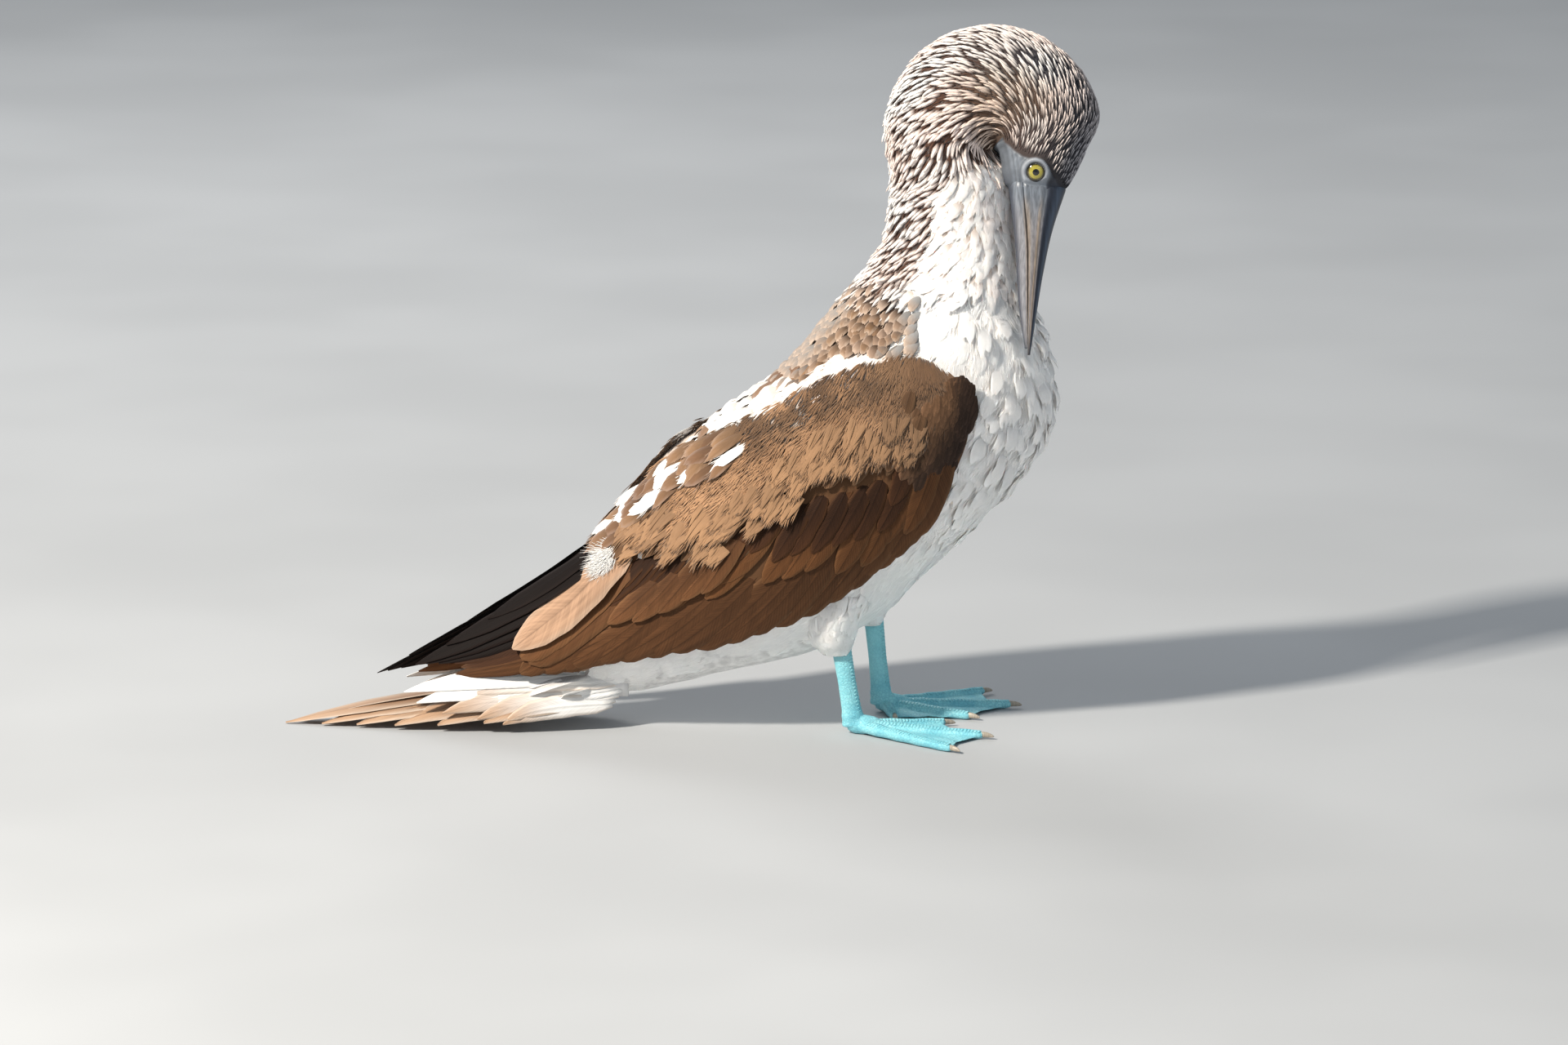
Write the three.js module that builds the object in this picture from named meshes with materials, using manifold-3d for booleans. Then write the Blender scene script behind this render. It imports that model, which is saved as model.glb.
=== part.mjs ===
// A blue-footed booby standing with its bill bowed to its breast, as a life-size museum model.
// Millimetres, +Z up, facing +X, the bird's right side towards -Y.
// Sizes are laid out from a point on the floor between the ankles, and the group is then moved
// so that its origin is the centre of the bottom of its box.
import * as THREE from "three";
import { mergeVertices } from "three/addons/utils/BufferGeometryUtils.js";
import Module from "manifold-3d";

const wasm = await Module();
wasm.setup();

// Driving dimensions
const GAP = 0.3;
const FOLD = { x: 74.5, z: 364.5 };
const FOLD_RADIUS = 3.4;
const DOME_REACH = 66;
const DOME_CROWN = 11.5;
const HEAD_TILT = THREE.MathUtils.degToRad(18);
const TILT_HEIGHT = 395;
const FACE_Z = 339;
const BILL_TIP = { x: 96.4, z: 236 };
const EYE = { x: 100.6, z: 347.5, place: 0.85, radius: 8.5, sunk: 6.5, forward: 18 };
const RING_POINTS = 26;

// Colours of the plumage and the bare parts
const WHITE = { color: 0xe9e6e0, roughness: 0.9, metalness: 0 };
const STREAKED = { color: 0x9c8672, roughness: 0.9, metalness: 0 };
const BROWN = { color: 0x6b4c34, roughness: 0.85, metalness: 0 };
const TAIL_BROWN = { color: 0xa88468, roughness: 0.85, metalness: 0 };
const BILL_GREY = { color: 0x6c7178, roughness: 0.45, metalness: 0 };
const FOOT_BLUE = { color: 0x4fc0dc, roughness: 0.55, metalness: 0 };
const IRIS = { color: 0xc8b428, roughness: 0.1, metalness: 0 };
const CLAW_HORN = { color: 0xb9b2a6, roughness: 0.5, metalness: 0 };

const at = (x, y, z) => new THREE.Vector3(x, y, z);

// Makes a closed surface from points and faces, turning it outwards if it is inside out.
function closedSurface(points, faces) {
  let volume = 0;
  for (let i = 0; i < faces.length; i += 3) {
    const [a, b, c] = [points[faces[i]], points[faces[i + 1]], points[faces[i + 2]]];
    volume += a.dot(b.clone().cross(c));
  }
  if (volume < 0) faces.reverse();
  const geometry = new THREE.BufferGeometry().setFromPoints(points);
  geometry.setIndex(faces);
  return geometry;
}

// Joins rings of points into one closed skin with fan-shaped ends.
function skinOver(rings) {
  const size = rings[0].length;
  const points = rings.flat();
  const faces = [];
  for (let i = 0; i < rings.length - 1; i++) {
    for (let j = 0; j < size; j++) {
      const a = i * size + j;
      const b = i * size + ((j + 1) % size);
      faces.push(a, b, b + size, a, b + size, a + size);
    }
  }
  const close = (ring, first, flip) => {
    const middle = ring.reduce((sum, p) => sum.add(p), at(0, 0, 0)).divideScalar(size);
    const centre = points.push(middle) - 1;
    for (let j = 0; j < size; j++) {
      const [a, b] = [first + j, first + ((j + 1) % size)];
      faces.push(centre, ...(flip ? [a, b] : [b, a]));
    }
  };
  close(rings[0], 0, false);
  close(rings[rings.length - 1], (rings.length - 1) * size, true);
  return closedSurface(points, faces);
}

function solidOf(geometry) {
  const bare = geometry.index ? geometry.toNonIndexed() : geometry.clone();
  bare.deleteAttribute("normal");
  bare.deleteAttribute("uv");
  const merged = mergeVertices(bare, 1e-3);
  return new wasm.Manifold(
    new wasm.Mesh({
      numProp: 3,
      vertProperties: merged.attributes.position.array,
      triVerts: new Uint32Array(merged.index.array),
    }),
  );
}

function geometryOf(solid) {
  const { vertProperties, triVerts, numProp, numVert } = solid.getMesh();
  const places = new Float32Array(numVert * 3);
  for (let i = 0; i < numVert; i++) {
    places.set(vertProperties.subarray(i * numProp, i * numProp + 3), i * 3);
  }
  const geometry = new THREE.BufferGeometry();
  geometry.setAttribute("position", new THREE.BufferAttribute(places, 3));
  geometry.setIndex(new THREE.BufferAttribute(triVerts, 1));
  return geometry;
}

// The largest single piece of a solid: loose scraps and sealed hollows are dropped.
function largest(solid) {
  const pieces = solid.decompose().sort((a, b) => b.volume() - a.volume());
  return pieces[0];
}

const union = (geometries) => geometries.map(solidOf).reduce((sum, one) => sum.add(one));
const boxSolid = (low, high) => {
  const size = high.clone().sub(low);
  const middle = low.clone().add(high).divideScalar(2);
  return solidOf(
    new THREE.BoxGeometry(size.x, size.y, size.z).translate(middle.x, middle.y, middle.z),
  );
};

// Body stations, from the face over the head and down the neck to the rump.
// Each has its point on the back, its point on the front, and its half width.
const station = (backX, backZ, frontX, frontZ, halfWidth) => [
  at(backX, 0, backZ),
  at(frontX, 0, frontZ),
  at(halfWidth, 0, 0),
];

function domeStation(degrees, halfWidth) {
  const angle = THREE.MathUtils.degToRad(degrees);
  const reach = DOME_REACH + DOME_CROWN * Math.sin(angle);
  const ray = (length) => [FOLD.x + length * Math.cos(angle), FOLD.z + length * Math.sin(angle)];
  return station(...ray(reach), ...ray(FOLD_RADIUS), halfWidth);
}

const FACE_STATIONS = [
  station(120.4, FACE_Z, 83.5, FACE_Z, 14),
  station(127, 351, 80.5, 346, 19.5),
  station(132.5, 363.5, 78.9, 356, 24),
];
const DOME_STATIONS = [
  domeStation(18, 28),
  domeStation(42, 30),
  domeStation(66, 31),
  domeStation(90, 32),
  domeStation(112, 33),
  domeStation(134, 34),
  domeStation(156, 35),
  domeStation(174, 35),
];
const NECK_STATIONS = [
  station(10.5, 349, 84.5, 346, 35.5),
  station(9.2, 328.5, 87, 327, 36),
  station(7, 310, 92, 303, 38),
  station(-1, 296, 94.5, 283, 43),
];
const TORSO_STATIONS = [
  station(-11.2, 283, 99.5, 265, 50),
  station(-26, 264, 109, 246, 57),
  station(-49, 236, 115, 217, 63),
  station(-76, 209, 112, 188, 66),
  station(-103, 182, 94.5, 158, 66),
  station(-126, 152, 68, 128, 64),
  station(-146, 120, 37, 97, 60),
  station(-163, 95, 6.6, 67, 53),
  station(-177, 75, -34, 46, 45),
  station(-186, 60, -85, 34, 36),
  station(-191, 50, -131, 22, 27),
  station(-193, 42, -165, 17, 19),
];
const ALL_STATIONS = [
  ...FACE_STATIONS,
  ...DOME_STATIONS,
  ...NECK_STATIONS,
  ...TORSO_STATIONS,
];
const LAST_STATION = ALL_STATIONS.length - 1;
const HEAD_END = FACE_STATIONS.length + 2.6;
const NECK_END = FACE_STATIONS.length + DOME_STATIONS.length + NECK_STATIONS.length - 0.5;

const [BACK_LINE, FRONT_LINE, WIDTH_LINE] = [0, 1, 2].map(
  (k) => new THREE.CatmullRomCurve3(ALL_STATIONS.map((s) => s[k]), false, "catmullrom", 0.5),
);

// Tilts a point of the head so that the bill swings towards the right side of the breast.
function tilted(point, share = 1) {
  const moved = point.clone();
  moved.z -= TILT_HEIGHT;
  moved.applyAxisAngle(at(1, 0, 0), -HEAD_TILT * share);
  moved.z += TILT_HEIGHT;
  return moved;
}

// The share of the head's tilt that the body takes at a station.
function tiltShare(place) {
  const free = FACE_STATIONS.length + 1;
  const held = FACE_STATIONS.length + DOME_STATIONS.length;
  return 1 - THREE.MathUtils.smoothstep(place, free, held);
}

// One ring of the body round its station, grown outwards by a margin.
function bodyRing(place, margin = 0) {
  const t = place / LAST_STATION;
  const [back, front, width] = [BACK_LINE, FRONT_LINE, WIDTH_LINE].map((line) => line.getPoint(t));
  const middle = back.clone().add(front).divideScalar(2);
  const half = back.clone().sub(front).divideScalar(2);
  half.setLength(half.length() + margin);
  return Array.from({ length: RING_POINTS }, (_, j) => {
    const angle = (2 * Math.PI * j) / RING_POINTS;
    const along = half.clone().multiplyScalar(Math.cos(angle));
    const point = middle.clone().add(along);
    point.y += (width.x + margin) * Math.sin(angle);
    return tilted(point, tiltShare(place));
  });
}

function bodyLoft(from, to, rings, margin = 0) {
  return skinOver(
    Array.from({ length: rings + 1 }, (_, i) => bodyRing(from + ((to - from) * i) / rings, margin)),
  );
}

const STATION_GAP = 0.006;
const faceGrown = () => solidOf(bodyLoft(0, FACE_STATIONS.length + 0.6, 10, GAP + 0.05));
const TORSO_RINGS = 20;
const torsoGrown = () =>
  solidOf(bodyLoft(NECK_END + STATION_GAP - 0.05, LAST_STATION, TORSO_RINGS, GAP + 0.05));

// Head, with its eye sockets cut and the lids raised round them
function eyeSeat(side) {
  const forward = THREE.MathUtils.degToRad(EYE.forward);
  const foot = tilted(at(0, 0, 0));
  const out = tilted(at(0, side * Math.cos(forward), -Math.sin(forward))).sub(foot);
  const halfWidth = WIDTH_LINE.getPoint(EYE.place / LAST_STATION).x;
  const skin = tilted(at(EYE.x, side * halfWidth, EYE.z));
  return { out, centre: skin.addScaledVector(out, -EYE.sunk) };
}

function lid(side) {
  const { centre, out } = eyeSeat(side);
  const ring = new THREE.TorusGeometry(EYE.radius - 1.5, 1.6, 6, 16);
  const turn = new THREE.Quaternion().setFromUnitVectors(at(0, 0, 1), out);
  const middle = centre.addScaledVector(out, EYE.sunk - 0.7);
  return ring.applyQuaternion(turn).translate(middle.x, middle.y, middle.z);
}

const eyeBall = (side, margin = 0) => {
  const { x, y, z } = eyeSeat(side).centre;
  return new THREE.SphereGeometry(EYE.radius + margin, 16, 10).translate(x, y, z);
};

function headSolid() {
  const skull = bodyLoft(0, HEAD_END - STATION_GAP, 14);
  const lidded = union([skull, lid(-1), lid(1)]);
  return [-1, 1].reduce((head, side) => head.subtract(solidOf(eyeBall(side, GAP))), lidded);
}

// Bill: each mandible is a tapered loft of half-round sections below the face
const BILL_LENGTH = FACE_Z - BILL_TIP.z;
const CULMEN = new THREE.SplineCurve([
  new THREE.Vector2(0, 119.6),
  new THREE.Vector2(0.3, 111.2),
  new THREE.Vector2(0.6, 105.6),
  new THREE.Vector2(0.85, 101.3),
  new THREE.Vector2(1, 97.2),
]);
const MOUTH = new THREE.SplineCurve([
  new THREE.Vector2(0, 93),
  new THREE.Vector2(0.3, 95.6),
  new THREE.Vector2(0.6, 95.8),
  new THREE.Vector2(1, 95.6),
]);
const CHIN = new THREE.SplineCurve([
  new THREE.Vector2(0, 84.4),
  new THREE.Vector2(0.35, 88.2),
  new THREE.Vector2(0.7, 90),
  new THREE.Vector2(1, 94.4),
]);
const billHalfWidth = (t) => 0.8 + 12.4 * Math.pow(1 - t, 0.85);

// One mandible, from the line of the mouth out to its ridge, grown by a margin.
function mandible(ridge, fullness, margin = 0) {
  const steps = 9;
  const around = 14;
  const outward = ridge === CHIN ? -1 : 1;
  const length = (BILL_LENGTH - GAP) * (ridge === CHIN ? 0.96 : 1);
  const rings = Array.from({ length: steps + 1 }, (_, i) => {
    const t = i / steps;
    const z = FACE_Z - GAP - t * length + margin * (1 - 2 * t);
    const edge = MOUTH.getPoint(t).y + outward * (GAP / 2 - margin);
    const depth = Math.abs(ridge.getPoint(t).y - edge) + margin;
    return Array.from({ length: around }, (_, j) => {
      const angle = (Math.PI * j) / (around - 1);
      const across = Math.cos(angle) * (billHalfWidth(t) + margin);
      const rise = Math.pow(Math.max(0, Math.sin(angle)), fullness) * depth * outward;
      return tilted(at(edge + rise, across, z));
    });
  });
  return skinOver(rings);
}
const UPPER_FULLNESS = 0.8;
const LOWER_FULLNESS = 0.7;

// Legs and feet
const FEET = {
  right: { side: -1, x: -9, y: -30, heading: -13, topX: -20, topZ: 56 },
  left: { side: 1, x: 9, y: 30, heading: 7, topX: 1, topZ: 62 },
};
const TOES = [
  { name: "hind", length: 26, turn: 84, joints: 2 },
  { name: "inner", length: 58, turn: 31, joints: 3 },
  { name: "middle", length: 80, turn: 1, joints: 4 },
  { name: "outer", length: 78, turn: -29, joints: 5 },
];
const TOE_RADIUS = 4.4;
const TOE_SIDES = 6;
const TOE_UNDER = Math.cos(Math.PI / TOE_SIDES);
const WEB_THICK = 1.6;
const CLAW_LENGTH = 7;
const WEB_HOLLOW = 0.09;

// A round bar along a line of points with a radius at each, flattened sideways by a share.
function bar(points, radii, sides = 10, flatten = 1) {
  const rings = points.map((point, i) => {
    const next = points[Math.min(i + 1, points.length - 1)];
    const last = points[Math.max(i - 1, 0)];
    const along = next.clone().sub(last).normalize();
    const guide = Math.abs(along.y) > 0.9 ? at(1, 0, 0) : at(0, 1, 0);
    const up = along.clone().cross(guide).normalize();
    const across = up.clone().cross(along).normalize();
    return Array.from({ length: sides }, (_, j) => {
      const angle = (2 * Math.PI * (j + 0.5)) / sides;
      return point
        .clone()
        .addScaledVector(up, Math.cos(angle) * radii[i])
        .addScaledVector(across, Math.sin(angle) * radii[i] * flatten);
    });
  });
  return skinOver(rings);
}

const toeDirection = (foot, toe) => {
  const angle = THREE.MathUtils.degToRad(foot.heading - foot.side * toe.turn);
  return at(Math.cos(angle), Math.sin(angle), 0);
};
const footCentre = (foot) => at(foot.x, foot.y, TOE_RADIUS);
const toeRadius = (share) => TOE_RADIUS * (1 - 0.34 * share);
const toePoint = (foot, toe, share) =>
  footCentre(foot)
    .addScaledVector(toeDirection(foot, toe), toe.length * share)
    .setZ(TOE_UNDER * toeRadius(share) + 1.2 * (1 - share) ** 2 - 0.35);

function toeBar(foot, toe) {
  const steps = 2 * (toe.joints - 1);
  const points = [];
  const radii = [];
  for (let i = 0; i <= steps; i++) {
    const share = i / steps;
    points.push(toePoint(foot, toe, share));
    radii.push(toeRadius(share) * (i % 2 ? 0.86 : 1));
  }
  return bar(points, radii, TOE_SIDES);
}

// A web between two toes: a thin sheet with a hollow front edge.
function web(foot, first, second) {
  const steps = 5;
  const edge = [];
  for (let i = 0; i <= steps; i++) {
    const t = i / steps;
    const one = toePoint(foot, first, 0.97);
    const other = toePoint(foot, second, 0.97);
    const rim = one.lerp(other, t);
    const sag = 1 - WEB_HOLLOW * Math.sin(Math.PI * t);
    const centre = footCentre(foot);
    edge.push(centre.clone().lerp(rim, sag));
  }
  const rings = [0.04, 0.5, 1].map((share) => {
    const level = (p, z) => at(p.x, p.y, z);
    const outward = edge.map((p) => footCentre(foot).lerp(p, share));
    const lift = 0.9 + 3.2 * (1 - share);
    const top = outward.map((p) => level(p, lift + WEB_THICK));
    const under = outward.map((p) => level(p, lift)).reverse();
    return [...top, ...under];
  });
  return skinOver(rings);
}

function footSolid(foot) {
  const toes = TOES.map((toe) => toeBar(foot, toe));
  const webs = [0, 1, 2].map((i) => web(foot, TOES[i], TOES[i + 1]));
  const heel = bar(
    [at(foot.x - 5, foot.y, 4.6), at(foot.x + 4, foot.y, 5), at(foot.x + 14, foot.y, 4.4)],
    [4.2, 6.6, 5],
    10,
  );
  const floor = boxSolid(at(-200, -200, -50), at(300, 200, 0));
  return union([...toes, ...webs, heel]).subtract(floor).subtract(tarsusSolid(foot, GAP));
}

function tarsusSolid(foot, margin = 0) {
  const bottom = at(foot.x - 2, foot.y, 5);
  const top = at(foot.topX, foot.y, foot.topZ);
  const line = [0, 0.15, 0.5, 0.85, 1].map((t) => bottom.clone().lerp(top, t));
  const radii = [7.4, 6.6, 5.7, 6, 6.6].map((r) => r + margin);
  return solidOf(bar(line, radii, 12, 0.72));
}

function clawGeometry(foot, toe) {
  const direction = toeDirection(foot, toe);
  const root = toePoint(foot, toe, 1).addScaledVector(direction, GAP);
  const drop = [0, 0.2, 1, 2];
  const points = [0, 0.35, 0.75, 1].map((t, i) =>
    root.clone().addScaledVector(direction, CLAW_LENGTH * t).add(at(0, 0, -drop[i] * 0.55)),
  );
  return bar(points, [1.9, 1.6, 1, 0.45], 7);
}

function thighSolid(foot, torso) {
  const line = [
    at(foot.topX + 6, foot.y * 0.8, foot.topZ + 50),
    at(foot.topX - 3, foot.y, foot.topZ + 26),
    at(foot.topX - 6, foot.y * 1.05, foot.topZ + 14),
    at(foot.topX - 5, foot.y * 1.04, foot.topZ + 2),
    at(foot.topX - 2, foot.y, foot.topZ - 8),
  ];
  const tuft = solidOf(bar(line, [26, 22, 18, 13, 8.4], 14, 0.8));
  return largest(tuft.subtract(torso).subtract(tarsusSolid(foot, GAP)));
}

// Feather vanes
// Closes a thin sheet over rows of [top, under] pairs of points. Each row runs across the vane, and
// both faces have the same triangles, so that a bent vane never crosses itself.
function sheet(rows) {
  const wide = rows[0].length;
  const points = rows.flatMap((row) => [0, 1].flatMap((face) => row.map((pair) => pair[face])));
  const spot = (row, face, column) => (row * 2 + face) * wide + column;
  const faces = [];
  const quad = (a, b, c, d) => faces.push(a, b, c, a, c, d);
  const last = rows.length - 1;
  const edge = wide - 1;
  for (let r = 0; r < last; r++) {
    for (let c = 0; c < edge; c++) {
      const [a, b] = [spot(r, 0, c), spot(r, 0, c + 1)];
      const [d, e] = [spot(r + 1, 0, c), spot(r + 1, 0, c + 1)];
      quad(a, b, e, d);
      faces.push(a + wide, e + wide, b + wide, a + wide, d + wide, e + wide);
    }
    quad(spot(r, 0, 0), spot(r + 1, 0, 0), spot(r + 1, 1, 0), spot(r, 1, 0));
    quad(spot(r + 1, 0, edge), spot(r, 0, edge), spot(r, 1, edge), spot(r + 1, 1, edge));
  }
  for (let c = 0; c < edge; c++) {
    quad(spot(0, 0, c + 1), spot(0, 0, c), spot(0, 1, c), spot(0, 1, c + 1));
    quad(spot(last, 0, c), spot(last, 0, c + 1), spot(last, 1, c + 1), spot(last, 1, c));
  }
  return closedSurface(points, faces);
}

// The pair of points of a sheet at a place, this thick and this high along its outward direction.
const sheetPair = (place, out, height, thick) =>
  [0.5, -0.5].map((share) => place.clone().addScaledVector(out, height + share * thick));

// How a vane's width changes from its root to its tip, for long and for short feathers.
const LONG_VANE = [[0, 0.5], [0.3, 0.92], [0.84, 0.84], [1, 0.2]];
const SHORT_VANE = [[0, 0.6], [0.5, 1], [0.82, 0.82], [1, 0.24]];
const COLUMNS = [-1, 0, 1];
const VANE_THICK = 0.8;
const TIP_THICK = 0.45;
const ROOT_SUNK = 1.6;
const END_RISE = 4;

// Wing: a surface between an upper and a lower edge line, bulging outwards.
// Each station has the upper edge's X, Y and Z, the lower edge's X, Y and Z, and the bulge.
const WING_STATIONS = [
  [44, 64, 236, 61, 63, 208, 3],
  [30, 63, 245, 57, 62, 187, 8],
  [4, 60, 241, 42, 61, 150, 13],
  [-29, 50, 227, 20, 57, 121, 19],
  [-70, 40, 204, -10, 57, 101, 23],
  [-100, 30, 188, -44, 56, 79, 24],
  [-128, 22, 170, -85, 52, 64, 22],
  [-149, 15, 144, -126, 45, 54, 18],
  [-169, 11, 121, -167, 37, 47, 14],
  [-192, 8, 101, -192, 32, 41, 10],
  [-219, 6, 82, -223, 26, 33, 7],
  [-258, 5, 59, -259, 19, 28, 4],
  [-311, 5, 31, -312, 11, 23, 2],
];
const WING_LAST = WING_STATIONS.length - 1;
const WING_LINES = [0, 3, 6].map(
  (k) =>
    new THREE.CatmullRomCurve3(
      WING_STATIONS.map((row) => at(row[k], row[k + 1] ?? 0, row[k + 2] ?? 0)),
      false,
      "catmullrom",
      0.5,
    ),
);

// A point of the left wing's outer surface: u runs from the shoulder to the tip, v from top to bottom.
function wingPoint(u, v) {
  const t = THREE.MathUtils.clamp(u / WING_LAST, 0, 1);
  const [upper, lower, bulge] = WING_LINES.map((line) => line.getPoint(t));
  const point = upper.lerp(lower, v);
  const swell = 4 * v * (1 - v);
  return at(point.x, point.y + bulge.x * swell, point.z);
}

// The wing's directions at a point: along it, down it and out of it.
function wingFrame(u, v) {
  const step = 0.05;
  const along = wingPoint(u + step, v).sub(wingPoint(u - step, v)).divideScalar(2 * step);
  const down = wingPoint(u, v + step).sub(wingPoint(u, v - step)).divideScalar(2 * step);
  const out = along.clone().cross(down).normalize();
  return { along, down, out: out.y < 0 ? out.negate() : out };
}

// The height of the wing's core under its outer surface, which leaves room for the tiers of vanes.
const coreHeight = (u, v) => {
  const begun = THREE.MathUtils.smoothstep(u, 1, 3);
  const thinned = 1 - 0.6 * THREE.MathUtils.smoothstep(u, 8, 11);
  const sunk = THREE.MathUtils.smoothstep(v, 0.08, 0.42);
  const raised = THREE.MathUtils.smoothstep(v, 0.45, 1);
  return -(0.4 + 5.4 * sunk - 3 * raised) * begun * thinned;
};

// The slope of the feathers in the side view, in degrees below the tail's direction.
const LIE = [88, 84, 79, 72, 65, 58, 52, 46, 40, 35, 31, 29, 29];
function lieAngle(u) {
  const i = Math.min(Math.max(Math.floor(u), 0), WING_LAST - 1);
  const share = THREE.MathUtils.clamp(u - i, 0, 1);
  return THREE.MathUtils.degToRad(THREE.MathUtils.lerp(LIE[i], LIE[i + 1], share));
}

// Walks over the wing from a point, backwards along the lie of its feathers.
function walkBack(u, v, distance, turn = 0) {
  const steps = Math.max(1, Math.ceil(Math.abs(distance) / 8));
  const angle = lieAngle(u) + THREE.MathUtils.degToRad(turn);
  const [stepX, stepZ] = [Math.cos(angle), Math.sin(angle)].map((share) => (share * distance) / steps);
  for (let i = 0; i < steps; i++) {
    const { along, down } = wingFrame(u, v);
    const area = along.x * down.z - along.z * down.x;
    u += (stepX * down.z - stepZ * down.x) / area;
    v += (along.x * stepZ - along.z * stepX) / area;
  }
  return { u, v };
}

// One vane on the left wing, bent to its surface. Its tip is at (u, v), it is as long and wide as
// told, its root is sunk in the core, its tip is lifted over the tier below, and it leans so that its
// front edge rises over the next vane, one pitch away.
function wingVane({ u, v, length, half, lift, pitch, turn = 0, shape = LONG_VANE }) {
  const rows = shape.map(([share, width]) => {
    const spot = walkBack(u, v, length * (1 - share), turn);
    const grown = THREE.MathUtils.smoothstep(share, 0, 0.3);
    const height = THREE.MathUtils.lerp(-ROOT_SUNK, lift - END_RISE * (1 - share), grown);
    const lean = ((VANE_THICK + GAP) / pitch) * half * width * grown;
    const thick = share === 1 ? TIP_THICK : VANE_THICK;
    return COLUMNS.map((column) => {
      const side = walkBack(spot.u, spot.v, half * width * column, turn - 90);
      const { out } = wingFrame(side.u, side.v);
      const level = coreHeight(spot.u, spot.v) + height + lean * column;
      return sheetPair(wingPoint(side.u, side.v), out, level, thick);
    });
  });
  return sheet(rows);
}

// The tiers of the wing: how many vanes, the line of their tips from the first to the last, their
// length, half width and lift, and a shape.
const WING_TIERS = {
  secondaries: {
    count: 9, tips: [[3.1, 0.98], [5.4, 1], [7.8, 1.0], [9.6, 0.9]],
    lengths: [70, 100], half: 11, lift: 3, shape: LONG_VANE,
  },
  greaterCoverts: {
    count: 8, tips: [[2.7, 0.9], [4.1, 0.76], [6, 0.7], [8.2, 0.68]],
    lengths: [46, 52], half: 10.5, lift: 5.4, shape: SHORT_VANE,
  },
  scapulars: {
    count: 9, tips: [[2.4, 0.56], [3.6, 0.5], [5.6, 0.46], [7.6, 0.4]],
    lengths: [44, 56], half: 10, lift: 7.8, shape: SHORT_VANE,
  },
};
const TERTIALS = [
  { u: 9.9, v: 0.86, length: 92, half: 11, lift: 3 },
  { u: 9.95, v: 0.62, length: 96, half: 12, lift: 4.4, turn: 3 },
];
const PRIMARIES = [
  { u: 10.7, v: 0.86, length: 80, half: 7, lift: 0.9 },
  { u: 11.2, v: 0.7, length: 90, half: 7, lift: 1.8 },
  { u: 11.6, v: 0.56, length: 96, half: 7, lift: 2.7 },
  { u: 11.97, v: 0.42, length: 104, half: 7, lift: 3.6 },
];
const PRIMARY_PITCH = 7;
const RIGHT_TIP_SHORT = 0.45;

// A point on a line of [u, v] pairs at a share of its length.
function tipAt(line, share) {
  const place = share * (line.length - 1);
  const i = Math.min(Math.floor(place), line.length - 2);
  return [0, 1].map((k) => THREE.MathUtils.lerp(line[i][k], line[i + 1][k], place - i));
}

function wingVanes(side) {
  const vanes = [];
  for (const tier of Object.values(WING_TIERS)) {
    const reach = wingPoint(...tier.tips[0]).distanceTo(wingPoint(...tier.tips.at(-1)));
    const pitch = (0.55 * reach) / (tier.count - 1);
    for (let i = 0; i < tier.count; i++) {
      const share = i / (tier.count - 1);
      const [u, v] = tipAt(tier.tips, share);
      const length = THREE.MathUtils.lerp(...tier.lengths, share);
      const uneven = 0.012 * Math.sin(i * 2.4);
      vanes.push(wingVane({ ...tier, u, v: v + uneven, length, pitch }));
    }
  }
  for (const one of [...TERTIALS, ...PRIMARIES]) {
    const u = one.u - (side < 0 ? RIGHT_TIP_SHORT : 0);
    vanes.push(wingVane({ pitch: 2 * PRIMARY_PITCH, ...one, u }));
  }
  return vanes;
}

const WING_DEPTHS = [12, 18, 22, 24, 24, 24, 24, 22, 16, 8, 4, 2.4, 1.6];
const CORE_EDGE = 0.92;
const CORE_END = 11.1;
const wingDepth = (u) => {
  const i = Math.min(Math.floor(u), WING_LAST - 1);
  return THREE.MathUtils.lerp(WING_DEPTHS[i], WING_DEPTHS[i + 1], u - i);
};

function wingCore() {
  const rows = 12;
  const columns = 5;
  const rings = Array.from({ length: rows + 1 }, (_, i) => {
    const u = (CORE_END * i) / rows;
    const edge = THREE.MathUtils.lerp(1, CORE_EDGE, THREE.MathUtils.smoothstep(u, 1, 3));
    const outer = [];
    const inner = [];
    for (let j = 0; j <= columns; j++) {
      const v = (edge * j) / columns;
      const { out } = wingFrame(u, v);
      const point = wingPoint(u, v).addScaledVector(out, coreHeight(u, v));
      const depth = wingDepth(u) * Math.min(1, 0.25 + 4 * Math.min(v, edge - v));
      outer.push(point);
      inner.push(point.clone().addScaledVector(out, -depth));
    }
    return [...outer, ...inner.reverse()];
  });
  return skinOver(rings);
}

function mirrored(geometry, side) {
  if (side > 0) return geometry;
  const places = geometry.attributes.position;
  for (let i = 0; i < places.count; i++) places.setY(i, -places.getY(i));
  geometry.index.array.reverse();
  return geometry;
}

function wingSolid(side, torso) {
  const [near, far] = [side * GAP, -side * 300];
  const otherSide = boxSolid(at(-500, Math.min(near, far), -100), at(300, Math.max(near, far), 600));
  const pieces = [wingCore(), ...wingVanes(side)].map((geometry) => mirrored(geometry, side));
  return largest(union(pieces).subtract(torso).subtract(otherSide));
}

// Tail: pairs of long vanes round a short core, the middle pair on top and reaching the floor, with
// short covert vanes over and under their roots
const TAIL = { pairs: 6, half: 11, thick: 0.9, core: { x: -168, z: 29 } };
const TAIL_TIPS = [
  [-364, 3.5, 0.5],
  [-341, 10, 1.6],
  [-319, 16, 2.4],
  [-295, 22, 3.2],
  [-268, 27, 4.4],
  [-239, 31, 6.5],
];
const TAIL_COVERTS = [
  { rootZ: 40, tipX: -248, tipZ: 28, spread: [6, 17], half: 11, drop: 2.4, curve: 3 },
  { rootZ: 21, tipX: -232, tipZ: 12.5, spread: [6, 17], half: 11, drop: -2.4, curve: -2 },
];

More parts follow.
